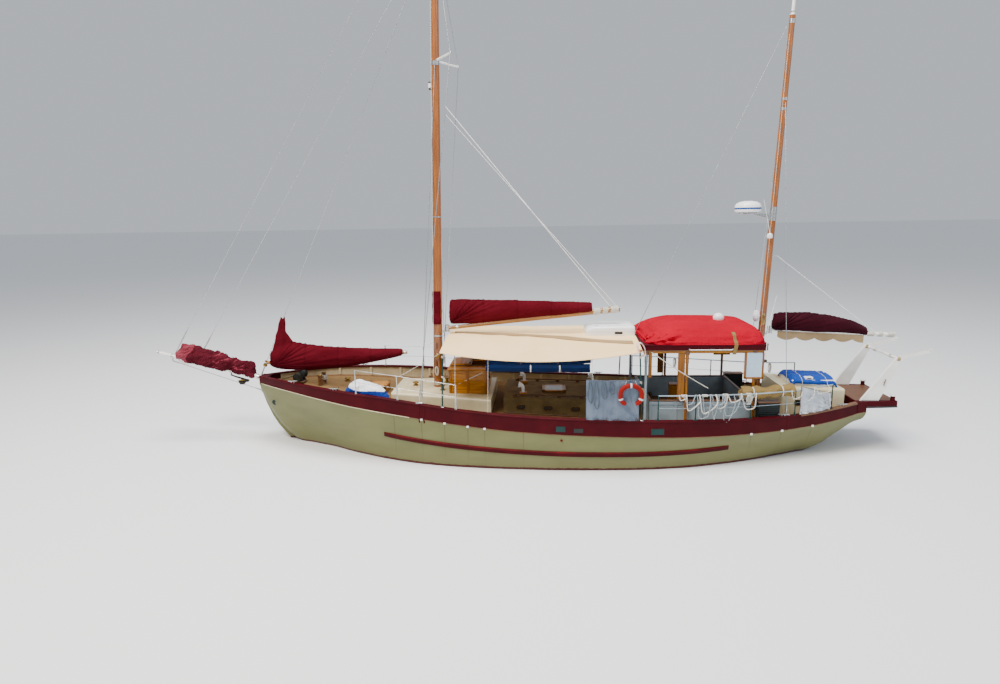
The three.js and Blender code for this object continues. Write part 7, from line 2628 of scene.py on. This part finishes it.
@dataclass
class AftDeck:
    """The blue cover on the aft cabin and the louvred lockers beside the shelter."""

    cover_fore: float = -6.735
    cover_aft: float = -7.885
    cover_half: float = 0.535
    box_fore: float = -6.76
    box_aft: float = -7.86
    box_half: float = 0.49
    ties: tuple[float, ...] = (-7.0, -7.62)
    vent: tuple[float, float] = (-7.19, 0.40)
    lockers_fore: float = -5.58
    lockers_aft: float = -6.08
    lockers_high: float = 0.62

    def base(self, x: float) -> float:
        """Gives the height of the cabin roof at x."""
        return roof_z(*AFT_ROOF, x)

    def crown(self, x: float, y: float) -> float:
        """Gives the height of the blue cover's cloth at a place."""
        end = min((self.cover_fore - x) / 0.09, (x - self.cover_aft) / 0.09, 1)
        out = abs(y) / self.cover_half
        fold = creased((x, y, 0), 0.26, (1, 1, 1), 0.020) + creased((x, y, 2), 0.09, (1, 1, 1), 0.008)
        return self.base(x) + mix(0.13, 0.255, math.sqrt(max(end, 0))) - 0.13 * out ** 4 - 0.02 * out + fold - 0.008

    def cover(self) -> None:
        """Builds the white box on the aft cabin and the blue cover over it."""
        kit = Kit("aft_locker_box")
        low = self.base(-6.75) + 0.002
        kit.slab((self.box_aft, -self.box_half, self.base(self.box_aft) - 0.02),
                 (self.box_fore, self.box_half, low + 0.12), WHITE_ENAMEL, 0.012)
        with kit.both_sides():
            kit.slab((-7.42, 0.484, low), (-7.22, 0.496, low + 0.10), WHITE_GELCOAT, 0.004)
            kit.slab((-7.40, 0.484, low + 0.015), (-7.24, 0.498, low + 0.085), DARK_GLASS, 0.003)
        kit.build(Body.YACHT, "white_paint")
        tarp = Kit("aft_locker_cover")
        rows = []
        for x in steps(self.cover_fore, self.cover_aft, 0.03):
            row = [(x, y, self.crown(x, y)) for y in steps(-self.cover_half, self.cover_half, 0.03)]
            lip = [(x, 0.533 - 0.006 * k, row[-1][2] - 0.028 * k + 0.006 * math.sin(20 * x + k)) for k in (1, 2)]
            rows.append([(x, -y, z) for _, y, z in reversed(lip)] + row + lip)
        tarp.cloth(rows, BLUE_CANVAS)
        cloth = tarp.build(Body.YACHT, "blue_canvas", "aft_locker", sharp=75)
        declare_sheet(cloth, 1.45, 1.35, "draped", "aft_locker_box")
        ties = Kit("aft_locker_ties")
        for x in self.ties:
            ring = [(x, y, self.crown(x, y) + 0.005) for y in steps(-self.cover_half, self.cover_half, 0.03)]
            ties.pipe([(x, -0.545, low), *ring, (x, 0.545, low)], WHITE_ROPE, 0.006, 6)
        vent = Vector((*self.vent, self.crown(*self.vent)))
        ties.slab(vent - Vector((0.10, 0.07, 0.02)), vent + Vector((0.10, 0.07, 0.045)), WHITE_GELCOAT, 0.010)
        ties.slab(vent + Vector((-0.05, 0.04, 0.0)), vent + Vector((0.05, 0.075, 0.032)), DARK_GLASS, 0.004)
        ties.build(Body.YACHT, "blue_canvas")

    def lockers(self) -> None:
        """Builds the dark louvred lockers inside the rails."""
        kit = Kit("louvred_lockers")
        aft, fore, low = self.lockers_aft, self.lockers_fore, Lines.deck(-5.7)
        top = low + self.lockers_high
        with kit.both_sides():
            kit.slab((aft, 1.40, low), (fore, 1.64, top), DARK_GREY_PAINT, 0.012)
            for z in steps(low + 0.08, low + 0.56, 0.055)[:-1]:
                kit.slab((aft + 0.03, 1.636, z), (fore - 0.03, 1.652, z + 0.028), DARK_GREY_PAINT)
            kit.slab((aft - 0.02, 1.39, top), (fore + 0.02, 1.65, top + 0.025), TEAK_RAIL, 0.008)
        kit.build(Body.YACHT, "grey_canvas")

    def build(self) -> None:
        """Builds the aft deck's gear."""
        self.cover()
        self.lockers()


# Loose gear and lines


@dataclass
class LooseGear:
    """Soft things stowed on deck: a gear bag, a lifebuoy, rolled canvas and the mizzen's foot."""

    bag_fore: float = 4.72
    bag_aft: float = 3.46
    bag_high: float = 0.62
    buoy_x: float = -2.40
    buoy_z: float = 1.84
    buoy_wide: float = 0.24
    buoy_deep: float = 0.20
    cloth_head: float = 2.20  # height of the grey weather cloth's upper edge
    loops: tuple[tuple[float, float], ...] = ((-1.48, 0.52), (-1.62, 0.66), (-1.80, 0.42), (-1.98, 0.30))  # x, depth
    # name, fore end, aft end, radius, finish, slot, ties as shares of the length, depth of the creases
    rolls: tuple[tuple[str, Point, Point, float, Finish, str, tuple[float, ...], float], ...] = (
        ("navy_canvas_roll", (1.0, 1.80, 2.40), (-1.50, 1.82, 2.38), 0.105, NAVY_CANVAS, "blue_canvas",
         (0.43, 0.71), 0.10),
        ("khaki_canvas_roll", (-5.16, 1.56, 1.70), (-6.42, 1.46, 1.74), 0.150, KHAKI_CANVAS, "sailcloth",
         (0.22, 0.78), 0.34))
    sail_fore: float = -6.482
    sail_aft: float = -8.678
    scallops: float = 4.6
    sleeve_low: float = 3.20
    sleeve_top: float = 4.08
    sleeve_half_arc: float = 132  # degrees each way from the mast's fore side
    curtain_fore: float = 1.0
    curtain_aft: float = -1.52

    def bag(self) -> None:
        """Builds the white gear bag with its blue foot, on the port side deck abreast of the forehatch."""
        kit = Kit("gear_bag")
        rings = []
        for k in range(25):
            x = mix(self.bag_fore, self.bag_aft, k / 24)
            full = math.sin(math.pi * (k + 0.6) / 25.2) ** 0.42
            high = self.bag_high * full * (1 + 0.06 * math.sin(9 * x))
            ring = []
            for c, s in circle(32, first=0.5):
                cy, cz = (math.copysign(abs(v) ** 0.8, v) for v in (c, s))
                ring.append((x, Lines.side(x) - 0.36 + 0.215 * full * cy, Lines.deck(x) + 0.012 + high / 2 * (1 + cz)))
            rings.append(ring)
        kit.loft(rings, WHITE_NYLON)
        bag = kit.build(Body.YACHT, "white_canvas")
        swell(bag, lambda p: p.z < Lines.deck(p.x) + 0.05, 0.024, 0.022)
        crease(bag, lambda p: creased(p, 0.26, (1.0, 1.0, 1.5), 0.024) + creased(p, 0.09, (1, 1, 1), 0.006))
        bag.data.materials.append(BLUE_CANVAS.material())
        for face in bag.data.polygons:
            if face.center.z < Lines.rail(face.center.x) + 0.08 + 0.02 * math.sin(7 * face.center.x):
                face.material_index = 1

    def buoy(self) -> None:
        """Builds the red horseshoe lifebuoy that hangs on the weather cloth, and the loops of line beside it."""
        kit = Kit("horseshoe_buoy")
        x, y, z = self.buoy_x, Lines.side(self.buoy_x) + 0.062, self.buoy_z
        path = [Vector((x + self.buoy_wide * math.sin(a), y,
                        z - self.buoy_deep * math.cos(a) + (0.07 if math.cos(a) < 0 else 0.0)))
                for a in (math.radians(28 + 304 * k / 26) for k in range(27))]
        kit.pipe(path, RED_NYLON, [0.052 if 0 < k < 26 else 0.036 for k in range(27)], 14)
        kit.build(Body.YACHT, "red_canvas")
        trim = Kit("horseshoe_buoy_webbing")
        for k in (4, 13, 22):
            heading = (path[k + 1] - path[k - 1]).normalized() * 0.02
            trim.rod(path[k] - heading, path[k] + heading, WHITE_CANVAS, 0.0545, sides=14)
        for dx in (-0.18, 0.18):
            trim.pipe([(x + dx, y, z + 0.17), (x + dx * 0.55, y - 0.045, 2.21)], WHITE_ROPE, 0.005, 6)
        top = self.cloth_head
        for start, deep in self.loops:
            near = Lines.side(start) + 0.012
            trim.pipe(spline([(start, near, top), (start - 0.05, near + 0.006, top - deep * 0.6),
                              (start - 0.02, near, top - deep), (start + 0.07, near + 0.006, top - deep * 0.7),
                              (start + 0.03, near, top)], 6), SHADE_ROPE, 0.009, 6)
        trim.build(Body.YACHT, "red_canvas")

    def roll(self, name: str, start: Point, end: Point, radius: float, finish: Finish, slot: str,
             ties: tuple[float, ...], crumple: float) -> None:
        """Builds a rolled-up length of canvas with its ties.

        Args:
            name: the piece's name.
            start: one end's middle.
            end: the other end's middle.
            radius: the roll's radius.
            finish: what it is made of.
            slot: the record's material slot.
            ties: where it is tied, as shares of its length.
            crumple: the depth of its creases as a share of its radius.
        """
        kit, cords = Kit(name), Kit(name + "_ties")
        a, b = Vector(start), Vector(end)
        u, v = across((b - a).normalized())

        def middle(t: float) -> Vector:
            """Gives the roll's middle, which sags a little."""
            return between(a, b, t) - Vector((0, 0, 0.012 * math.sin(math.pi * t)))

        rings = []
        for k in range(41):
            pinch = 0.93 * (1 - 0.16 * sum(math.exp(-((k / 40 - tie) / 0.025) ** 2) for tie in ties))
            rings.append([middle(k / 40) + radius * pinch * (1 + 0.10 * j / 28) * (c * u + s * v)
                          for j, (c, s) in enumerate(circle(28))])
        kit.loft(rings, finish)
        piece = kit.build(Body.YACHT, slot)

        def slack(p: Vector) -> float:
            """Gives the height of the roll's creases, none where a tie holds it."""
            t = (p - a).dot(b - a) / (b - a).length_squared
            held = sum(math.exp(-((t - tie) * (b - a).length / 0.06) ** 2) for tie in ties)
            folds = creased((p.x + p.z, p.y, p.z), 0.30, (0.8, 1.0, 1.6), crumple * radius)
            return (folds + creased(p, 0.09, (0.6, 1.0, 1.0), 0.25 * crumple * radius)) * max(1 - held, 0)

        crease(piece, slack)
        for tie in ties:
            for shift in (0, 0.009, -0.009):
                cords.hoop(middle(tie) + (b - a).normalized() * shift, b - a, radius * 0.89, 0.006, WHITE_ROPE,
                           parts=20)
        cords.build(Body.YACHT, slot)

    def sail(self) -> None:
        """Builds the foot of the mizzen that hangs out under its boom in scallops."""
        kit = Kit("mizzen_sail_foot")
        rows = []
        for k in range(141):
            t = k / 140
            x = mix(self.sail_fore, self.sail_aft, t)
            low = mix(2.742, 2.642, t) + 0.055 - 0.078 * abs(math.sin(self.scallops * math.pi * t)) ** 0.8
            row = []
            for j in range(11):
                s = j / 10
                wave = s * (0.015 * math.sin(2 * math.pi * self.scallops * t)
                            + creased((x, s, 0), 0.2, (1, 1, 1), 0.010))
                row.append((x, min(max(wave, -0.020), 0.020), mix(MIZZEN_BOOM.at(x).z - 0.030, low, s)))
            rows.append(row)
        kit.cloth(rows, TAN_SAILCLOTH, 0.0035)
        cloth = kit.build(Body.MIZZEN_BOOM, "sailcloth", "mizzen_sail", sharp=75)
        declare_sheet(cloth, 2.3, 0.24, "hung", "mizzen_boom_spar")

    def sleeve(self) -> None:
        """Builds the maroon cloth that is laced round the mainmast over the boom's jaw."""
        kit = Kit("mast_collar_cloth")
        rows = []
        for z in steps(self.sleeve_low, self.sleeve_top, 0.036):
            row = []
            for k in range(41):
                a = math.radians(mix(-self.sleeve_half_arc, self.sleeve_half_arc, k / 40))
                fold = creased((math.cos(a), math.sin(a), z), 0.30, (0.5, 0.5, 1.2), 0.018)
                reach = 0.140 + 0.010 * math.sin(12 * z) * math.sin(a) + max(fold, -0.006)
                row.append(main_at(z) + Vector((reach * math.cos(a), reach * math.sin(a), 0)))
            rows.append(row)
        kit.cloth(rows, MAROON_CANVAS, 0.0035)
        declare_sheet(kit.build(Body.YACHT, "maroon_canvas", sharp=75), 0.67, 0.90, "stretched", "main_mast")

    def bundle(self) -> None:
        """Builds the small white cloth bundle lashed to the mizzenmast's fore side."""
        kit = Kit("mizzen_mast_bundle")
        kit.ball(mizzen_at(3.36) + Vector((0.19, 0.05, 0)), 0.095, WHITE_NYLON, 1.55, 22)
        piece = kit.build(Body.YACHT, "white_canvas")
        crease(piece, lambda p: creased(p, 0.11, (1.0, 1.0, 0.6), 0.022))

    def curtain(self) -> None:
        """Builds the dark strip of curtain that hangs along the awning's port edge over the roll."""
        kit = Kit("awning_curtain")
        rows = []
        for x in steps(self.curtain_fore, self.curtain_aft, 0.03):
            low = AWNING.edge(x, 1) - 0.016
            rows.append([(x, 1.845 + 0.006 * math.sin(23 * x + 2 * k) * k, low - 0.030 * k) for k in range(4)])
        kit.cloth(rows, NAVY_CANVAS, 0.003)
        declare_sheet(kit.build(Body.YACHT, "blue_canvas", sharp=75), 2.6, 0.10, "hung", "awning_cloth")

    def build(self) -> None:
        """Builds all of it."""
        self.bag()
        self.buoy()
        for roll in self.rolls:
            self.roll(*roll)
        self.sail()
        self.sleeve()
        self.bundle()
        self.curtain()


@dataclass
class RunningLines:
    """Taut running rigging, and the ropes that are coiled and draped on the rails."""

    # name, length, where it crosses the rail and how deep the bight after that hangs, radius, finish
    ropes: tuple[tuple[str, float, tuple[tuple[float, float], ...], float, Finish], ...] = (
        ("rail_rope_white", 4.8, ((-3.55, 0.10), (-3.72, 0.34), (-4.02, 0.42), (-4.42, 0.30), (-4.70, 0.16),
                                  (-5.05, 0.34), (-5.42, 0.05)), 0.013, WHITE_ROPE),
        ("rail_rope_grey", 4.6, ((-3.62, 0.20), (-3.95, 0.52), (-4.30, 0.22), (-4.62, 0.48), (-5.02, 0.22),
                                 (-5.30, 0.12)), 0.010, GREY_ROPE),
        ("rail_rope_grey_low", 4.7, ((-4.10, 0.48), (-4.28, 0.56), (-4.50, 0.40), (-4.58, 0.60), (-4.86, 0.30)),
         0.009, GREY_ROPE),
        ("rail_rope_aft", 2.1, ((-6.35, 0.18), (-6.62, 0.26), (-6.95, 0.12), (-7.3, 0.05)), 0.009, WHITE_ROPE))
    lashings: tuple[float, ...] = (-3.66, -4.16, -4.66, -5.24)
    starboard_coils: tuple[float, ...] = (-4.3, -6.85)
    rail_high: float = 0.60
    lift_z: float = 8.75
    second_lift_z: float = 8.55

    def draped(self, name: str, length: float, places: Sequence[tuple[float, float]], radius: float,
               rope: Finish) -> None:
        """Builds a free rope that goes over the port aft rail and hangs from it in uneven bights.

        Args:
            name: the piece's name.
            length: the rope's length.
            places: where it crosses the rail, and how deep the bight after it hangs.
            radius: the rope's radius.
            rope: what it is made of.
        """
        path = []
        loose = random.Random(len(places))
        for k, (x, drop) in enumerate(places):
            top = AFT_RAILS[1].foot(x) + Vector((0, 0, self.rail_high))
            y = top.y + 0.024
            path.append((x, top.y, top.z + 0.024))
            if k < len(places) - 1:
                after = places[k + 1][0]
                path += [(mix(x, after, share), y + 0.010 * loose.random(), top.z - drop * deep)
                         for share, deep in ((loose.uniform(-0.1, 0.2), 0.3), (loose.uniform(0.1, 0.5), 1.0),
                                             (loose.uniform(0.55, 0.85), loose.uniform(0.7, 1.0)),
                                             (loose.uniform(0.8, 1.1), 0.35))]
        line = spline(path, 5)
        kit = Kit(name)
        kit.pipe(line, rope, radius, 6)
        piece = kit.build(Body.YACHT, "steel_wire")
        LOG.info("%s: %.2f m of rope along its path", name,
                 sum((b - a).length for a, b in zip(line, line[1:])))

    def halyards(self) -> None:
        """Builds the lines along the masts, the awning's lanyards and the bow and roof lines."""
        kit = Kit("halyards_and_lanyards")
        for dy, z in ((0.05, 14.2), (-0.05, 14.2), (0.07, 9.4)):
            kit.rod((main_at(1.75).x + 0.11, dy * 1.8, 1.75), (main_at(z).x + 0.10, dy, z), WHITE_ROPE, 0.006, sides=6)
        for dy in (0.06, -0.06):
            kit.rod((mizzen_at(1.6).x + 0.05, dy * 1.4, 1.6), (mizzen_at(10.2).x + 0.05, dy, 10.2), WHITE_ROPE, 0.005,
                    sides=6)
        for side in (1, -1):
            for x in (1.75, 0.95, -1.55):
                kit.rod((x, side * 1.87, AWNING.edge(x, side) - 0.02),
                        (x, side * (Lines.side(x) - 0.05), Lines.rail(x) + 0.002), WHITE_ROPE, 0.004, sides=6)
            kit.rod((2.1, side * 1.86, AWNING.corner[side < 0] - 0.02),
                    (3.15, side * (Lines.side(3.2) - 0.06), Lines.rail(3.2) + 0.58), WHITE_ROPE, 0.005, sides=6)
        kit.pipe(hanging((-3.0, 1.47, 2.70), (-4.35, 1.66, 1.84), 0.03), WHITE_ROPE, 0.010, 6)
        kit.pipe(hanging((9.78, 0.04, 2.35), (9.40, 0.12, 2.10), 0.06), WHITE_ROPE, 0.012, 6)
        kit.rod((2.02, 0.70, 1.62), (1.20, 0.74, 2.02), WHITE_ROPE, 0.012, sides=6)
        kit.build(Body.YACHT, "steel_wire")

    def rail_ropes(self) -> None:
        """Builds the free ropes draped over the port aft rail, and the lashings and coils on both rails."""
        kit = Kit("rail_ropes")
        for rope in self.ropes:
            self.draped(*rope)
        for x in self.lashings:
            top = AFT_RAILS[1].foot(x) + Vector((0, 0, self.rail_high))
            kit.whipped(top - Vector((0.06, 0, 0)), top + Vector((0.06, 0, 0)), 0.016, WHITE_ROPE, 5, 0.010)
        rope_coil(kit, AFT_RAILS[1].foot(-5.24) + Vector((0, 0.03, 0.585)), 0.17, WHITE_ROPE, 6)
        for x in self.starboard_coils:
            rope_coil(kit, AFT_RAILS[-1].foot(x) + Vector((0, -0.035, 0.58)), 0.24, WHITE_ROPE, 4)
        rope_coil(kit, (-2.68, Lines.side(-2.68) - 0.02, 2.02), 0.26, TAN_ROPE, 4)
        kit.build(Body.YACHT, "steel_wire")

    def aerials(self) -> None:
        """Builds the whip aerial at the shelter's aft corner and the small dome on the mizzenmast."""
        kit = Kit("whip_aerials")
        kit.pipe([(-5.73, 1.47, 2.42), (-5.75, 1.47, 3.30), (-5.90, 1.48, 4.05)], WHITE_ENAMEL, [0.014, 0.010, 0.005],
                 8)
        kit.slab((-5.76, 1.44, 2.44), (-5.70, 1.50, 2.50), BLACK_RUBBER_AND_SHADE)
        kit.rod(mizzen_at(4.9), mizzen_at(4.9) - Vector((0.20, 0, 0)), STAINLESS, 0.010, sides=8)
        side = mizzen_at(5.35) + Vector((0.0, 0.065, 0))
        kit.rod(side, side + Vector((0.10, 0.16, 0.02)), STAINLESS, 0.012, sides=8)
        kit.turned(side + Vector((0.10, 0.16, 0.0)), [(0, 0.06), (0.05, 0.075), (0.10, 0.06), (0.13, 0.02)],
                   WHITE_GELCOAT)
        kit.rod(side + Vector((0.10, 0.16, 0.12)), side + Vector((0.30, 0.18, 0.95)), WHITE_ENAMEL, 0.007, 0.004, 6)
        kit.build(Body.YACHT, "white_plastic")

    def build(self) -> None:
        """Builds the lines, each on the body that both of its ends ride on."""
        lift = Kit("topping_lift_wire")
        foot = MAIN_BOOM.at(-2.15) + Vector((0, 0, 0.079))
        lift.rod(foot + Vector((0, 0, 0.01)), main_at(self.lift_z) - Vector((0.25, 0, 0)), SHEATHED_WIRE, 0.0085,
                 sides=8)
        lift.slab((-2.188, -0.011, foot.z - 0.01), (-2.112, 0.011, foot.z + 0.039), STAINLESS, 0.004)
        lift.rod(MAIN_BOOM.at(-2.33) + Vector((0, 0.03, 0.06)), main_at(self.second_lift_z) - Vector((0.25, 0, 0)),
                 SHEATHED_WIRE, 0.006, sides=6)
        lift.build(Body.MAIN_BOOM, "steel_wire", "topping_lift")
        tail = Kit("mizzen_boom_lift")
        tail.rod(MIZZEN_BOOM.at(-8.95) + Vector((0, 0, 0.045)), mizzen_at(4.9) - Vector((0.20, 0, 0)), SHEATHED_WIRE,
                 0.007, sides=6)
        tail.build(Body.MIZZEN_BOOM, "steel_wire")
        self.halyards()
        self.rail_ropes()
        self.aerials()


# Studio


class Studio:
    """A pale floor at the waterline, soft lights and the camera."""

    PLACE = Vector((-0.35, 17.55, 5.98))
    TURN, PITCH, ROLL = math.radians(3.66), math.radians(10.60), math.radians(-0.96)
    LENS = 24.0
    FLOOR = 400.0

    def floor(self) -> None:
        """Lays the floor at the water's level, wide enough to fill the picture."""
        mesh = bpy.data.meshes.new("floor")
        size = self.FLOOR
        mesh.from_pydata([(-size, -size, 0), (size, -size, 0), (size, size, 0), (-size, size, 0)], [], [(0, 1, 2, 3)])
        made = bpy.data.materials.new("studio_floor")
        made.use_nodes = True
        shader = made.node_tree.nodes["Principled BSDF"]
        shader.inputs["Base Color"].default_value = linear("eeeff0")
        shader.inputs["Roughness"].default_value = 0.9
        mesh.materials.append(made)
        floor = bpy.data.objects.new("floor", mesh)
        bpy.context.scene.collection.objects.link(floor)

    def lamp(self, name: str, place: Point, aim: Point, size: float, watts: float, colour: str) -> None:
        """Adds a soft square lamp.

        Args:
            name: its name.
            place: where it hangs.
            aim: what it points at.
            size: its width.
            watts: its power.
            colour: its sRGB colour.
        """
        light = bpy.data.lights.new(name, "AREA")
        light.size, light.energy, light.color = size, watts, linear(colour)[:3]
        lamp = bpy.data.objects.new(name, light)
        turn = (Vector(place) - Vector(aim)).to_track_quat("Z", "Y")
        lamp.matrix_world = Matrix.Translation(place) @ turn.to_matrix().to_4x4()
        bpy.context.scene.collection.objects.link(lamp)

    def camera(self) -> None:
        """Sets the camera where the photograph was taken from."""
        level = Vector((math.sin(self.TURN), -math.cos(self.TURN), 0))
        ahead = level * math.cos(self.PITCH) - Vector((0, 0, math.sin(self.PITCH)))
        right = level.cross(Vector((0, 0, 1)))
        up, c, s = right.cross(ahead), math.cos(self.ROLL), math.sin(self.ROLL)
        view = bpy.data.cameras.new("camera")
        view.sensor_width, view.lens, view.clip_end = 36.0, self.LENS, 1000.0
        camera = bpy.data.objects.new("camera", view)
        axes = Matrix((right * c + up * s, up * c - right * s, -ahead)).transposed().to_4x4()
        camera.matrix_world = Matrix.Translation(self.PLACE) @ axes
        bpy.context.scene.collection.objects.link(camera)
        bpy.context.scene.camera = camera

    def build(self) -> None:
        """Builds the studio."""
        self.floor()
        self.lamp("key", (12.0, 16.0, 26.0), (0, 0, 2), 10.0, 9800, "fff4e6")
        self.lamp("fill", (-22.0, 16.0, 14.0), (-2, 0, 2), 16.0, 1200, "e8f0ff")
        self.lamp("top", (0.0, 2.0, 30.0), (0, 0, 2), 14.0, 11500, "ffffff")
        world = bpy.data.worlds.new("studio")
        world.use_nodes = True
        world.node_tree.nodes["Background"].inputs["Color"].default_value = linear("e4eaf2")
        world.node_tree.nodes["Background"].inputs["Strength"].default_value = 0.70
        bpy.context.scene.world = world
        self.camera()


AWNING = Awning()
AFT_RAILS = {side: GuardRail(f"aft_rail_{name}", f"guard_rail_aft_{name}", (-3.06, -3.95, -5.3, -6.45, -7.45), side,
                             0.0155, GREY_BLUE_PAINT, GREY_GREEN_PAINT)
             for side, name in ((1, "port"), (-1, "starboard"))}

BUNDLES = (
    Headsail("headsail_bundle", "furled_headsail", Body.YACHT,
             ((9.78, 0.12, 0.025, 0.075), (9.68, 0.33, 0.03, 0.15), (9.48, 0.48, 0.032, 0.205),
              (9.24, 0.46, 0.034, 0.20), (9.04, 0.48, 0.034, 0.205), (8.80, 0.46, 0.036, 0.20),
              (8.56, 0.45, 0.038, 0.20), (8.30, 0.42, 0.038, 0.175), (8.05, 0.40, 0.04, 0.185),
              (7.80, 0.40, 0.04, 0.165), (7.60, 0.37, 0.04, 0.15)),
             (9.24, 8.72, 8.20, 7.80), SHADED_BUNDLE_CANVAS, tie=MAROON_CANVAS, waves=1.1, bulge=0.02, pale=PINK_BLEACH_AND_HIGHLIGHT_CANVAS),
    Bundle("main_cover", "main_sail_cover", Body.MAIN_BOOM,
           ((2.10, 3.85, 3.20, 0.10), (2.04, 3.85, 3.20, 0.12), (1.70, 3.86, 3.205, 0.135), (1.20, 3.85, 3.22, 0.14),
            (0.50, 3.83, 3.28, 0.135), (-0.30, 3.805, 3.345, 0.125), (-1.00, 3.78, 3.405, 0.115),
            (-1.50, 3.755, 3.45, 0.105), (-1.68, 3.74, 3.47, 0.09)), (1.2, 0.3, -0.6, -1.3), MAROON_CANVAS,
           corner=(2.06, 3.24)),
    Bundle("mizzen_cover", "mizzen_sail_cover", Body.MIZZEN_BOOM,
           ((-6.345, 3.42, 2.97, 0.09), (-6.42, 3.43, 2.96, 0.11), (-6.70, 3.45, 2.94, 0.13),
            (-7.20, 3.44, 2.92, 0.135), (-7.80, 3.36, 2.89, 0.13), (-8.40, 3.20, 2.85, 0.115),
            (-8.74, 3.03, 2.82, 0.09)), (), SHADED_MAROON_CANVAS, corner=(-6.38, 3.0)),
    Bundle("staysail_cover_bundle", "staysail_cover", Body.STAYSAIL_BOOM,
           ((7.12, 2.40, 2.06, 0.075), (6.90, 2.62, 1.98, 0.143), (6.50, 2.74, 1.95, 0.162), (6.0, 2.67, 1.955, 0.157),
            (5.2, 2.59, 2.005, 0.143), (4.4, 2.55, 2.135, 0.124), (3.7, 2.54, 2.275, 0.10), (3.42, 2.52, 2.35, 0.072)),
           (6.10, 5.2, 4.3), MAROON_CANVAS, corner=(6.95, 2.1),
           fin=((7.09, 2.35), (6.73, 3.44), (6.69, 3.34), (6.61, 3.46), (6.63, 3.0), (6.45, 2.72), (6.05, 2.47))),
)

PIECES = (
    Hull(), Bulwarks(), Deck(),
    Coachroof("fore_trunk", "forward_coachroof", *FORWARD_ROOF, 0.83, 1.24, CABIN_ENAMEL, DECK_PAINT),
    Coachroof("mid_trunk", "mid_coachroof", *MID_ROOF, 1.01, 1.01, SHADED_BEIGE_PAINT, SHADED_BEIGE_PAINT,
              (0.2, -0.5, -1.2, -1.9), (0.35, -2.2)),
    Coachroof("aft_trunk", "aft_coachroof", *AFT_ROOF, 0.82, 0.68, CABIN_ENAMEL, DECK_PAINT,
              (-6.85, -7.35)),
    Deckhouse(), Foredeck(), DeckGear(),
    Hatch("fore_hatch_cover", "fore_hatch_lid", Body.FORE_LID, 4.44, 3.86, 0.30, 1.508, 0.045, False),
    Hatch("mid_hatch_cover", "mid_hatch_lid", Body.MID_LID, -0.35, -0.98, 0.33, 1.3882, 0.05, True),
    SPRIT, Anchor(), MAIN_MAST, MIZZEN_MAST, Shrouds(), Stays(), StaysailGear(), Electronics(), MAIN_BOOM,
    MIZZEN_BOOM, *BUNDLES, AWNING, Canopy(),
    HungCloth("weather_cloth_grey", "weather_cloth_mid", "grey_canvas", -1.38, -2.59, 2.228, GREY_CANVAS, 0.24,
              GREY_CANVAS),
    HungCloth("dodger_white", "weather_cloth_aft", "white_canvas", -6.56, -7.40, 1.878, WHITE_CANVAS, 0.20, BROWN_TAPE,
              slope=0.24, depth=0.040),
    Shelter(), RoofBox(),
    *[GuardRail(f"fore_rail_{name}", f"guard_rail_forward_{name}", (4.3, 3.2, 1.72), side, 0.0065, STAINLESS, STAINLESS)
      for side, name in ((1, "port"), (-1, "starboard"))],
    *AFT_RAILS.values(), Davits(), SternPlatform(), Underwater(), AftDeck(), LooseGear(), RunningLines(),
)


def keel() -> None:
    """Gives the ballast keel its antifouling, on the frame's own shape."""
    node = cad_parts["ballast_keel"]
    node.data.materials.clear()
    node.data.materials.append(ANTIFOULING.material())


def main() -> None:
    """Builds the yacht and the studio, piece by piece."""
    logging.basicConfig(level=logging.INFO, format="%(name)s %(message)s")
    keel()
    for piece in PIECES:
        piece.build()
    Studio().build()
    LOG.info("done")


if __name__ == "__main__":
    main()
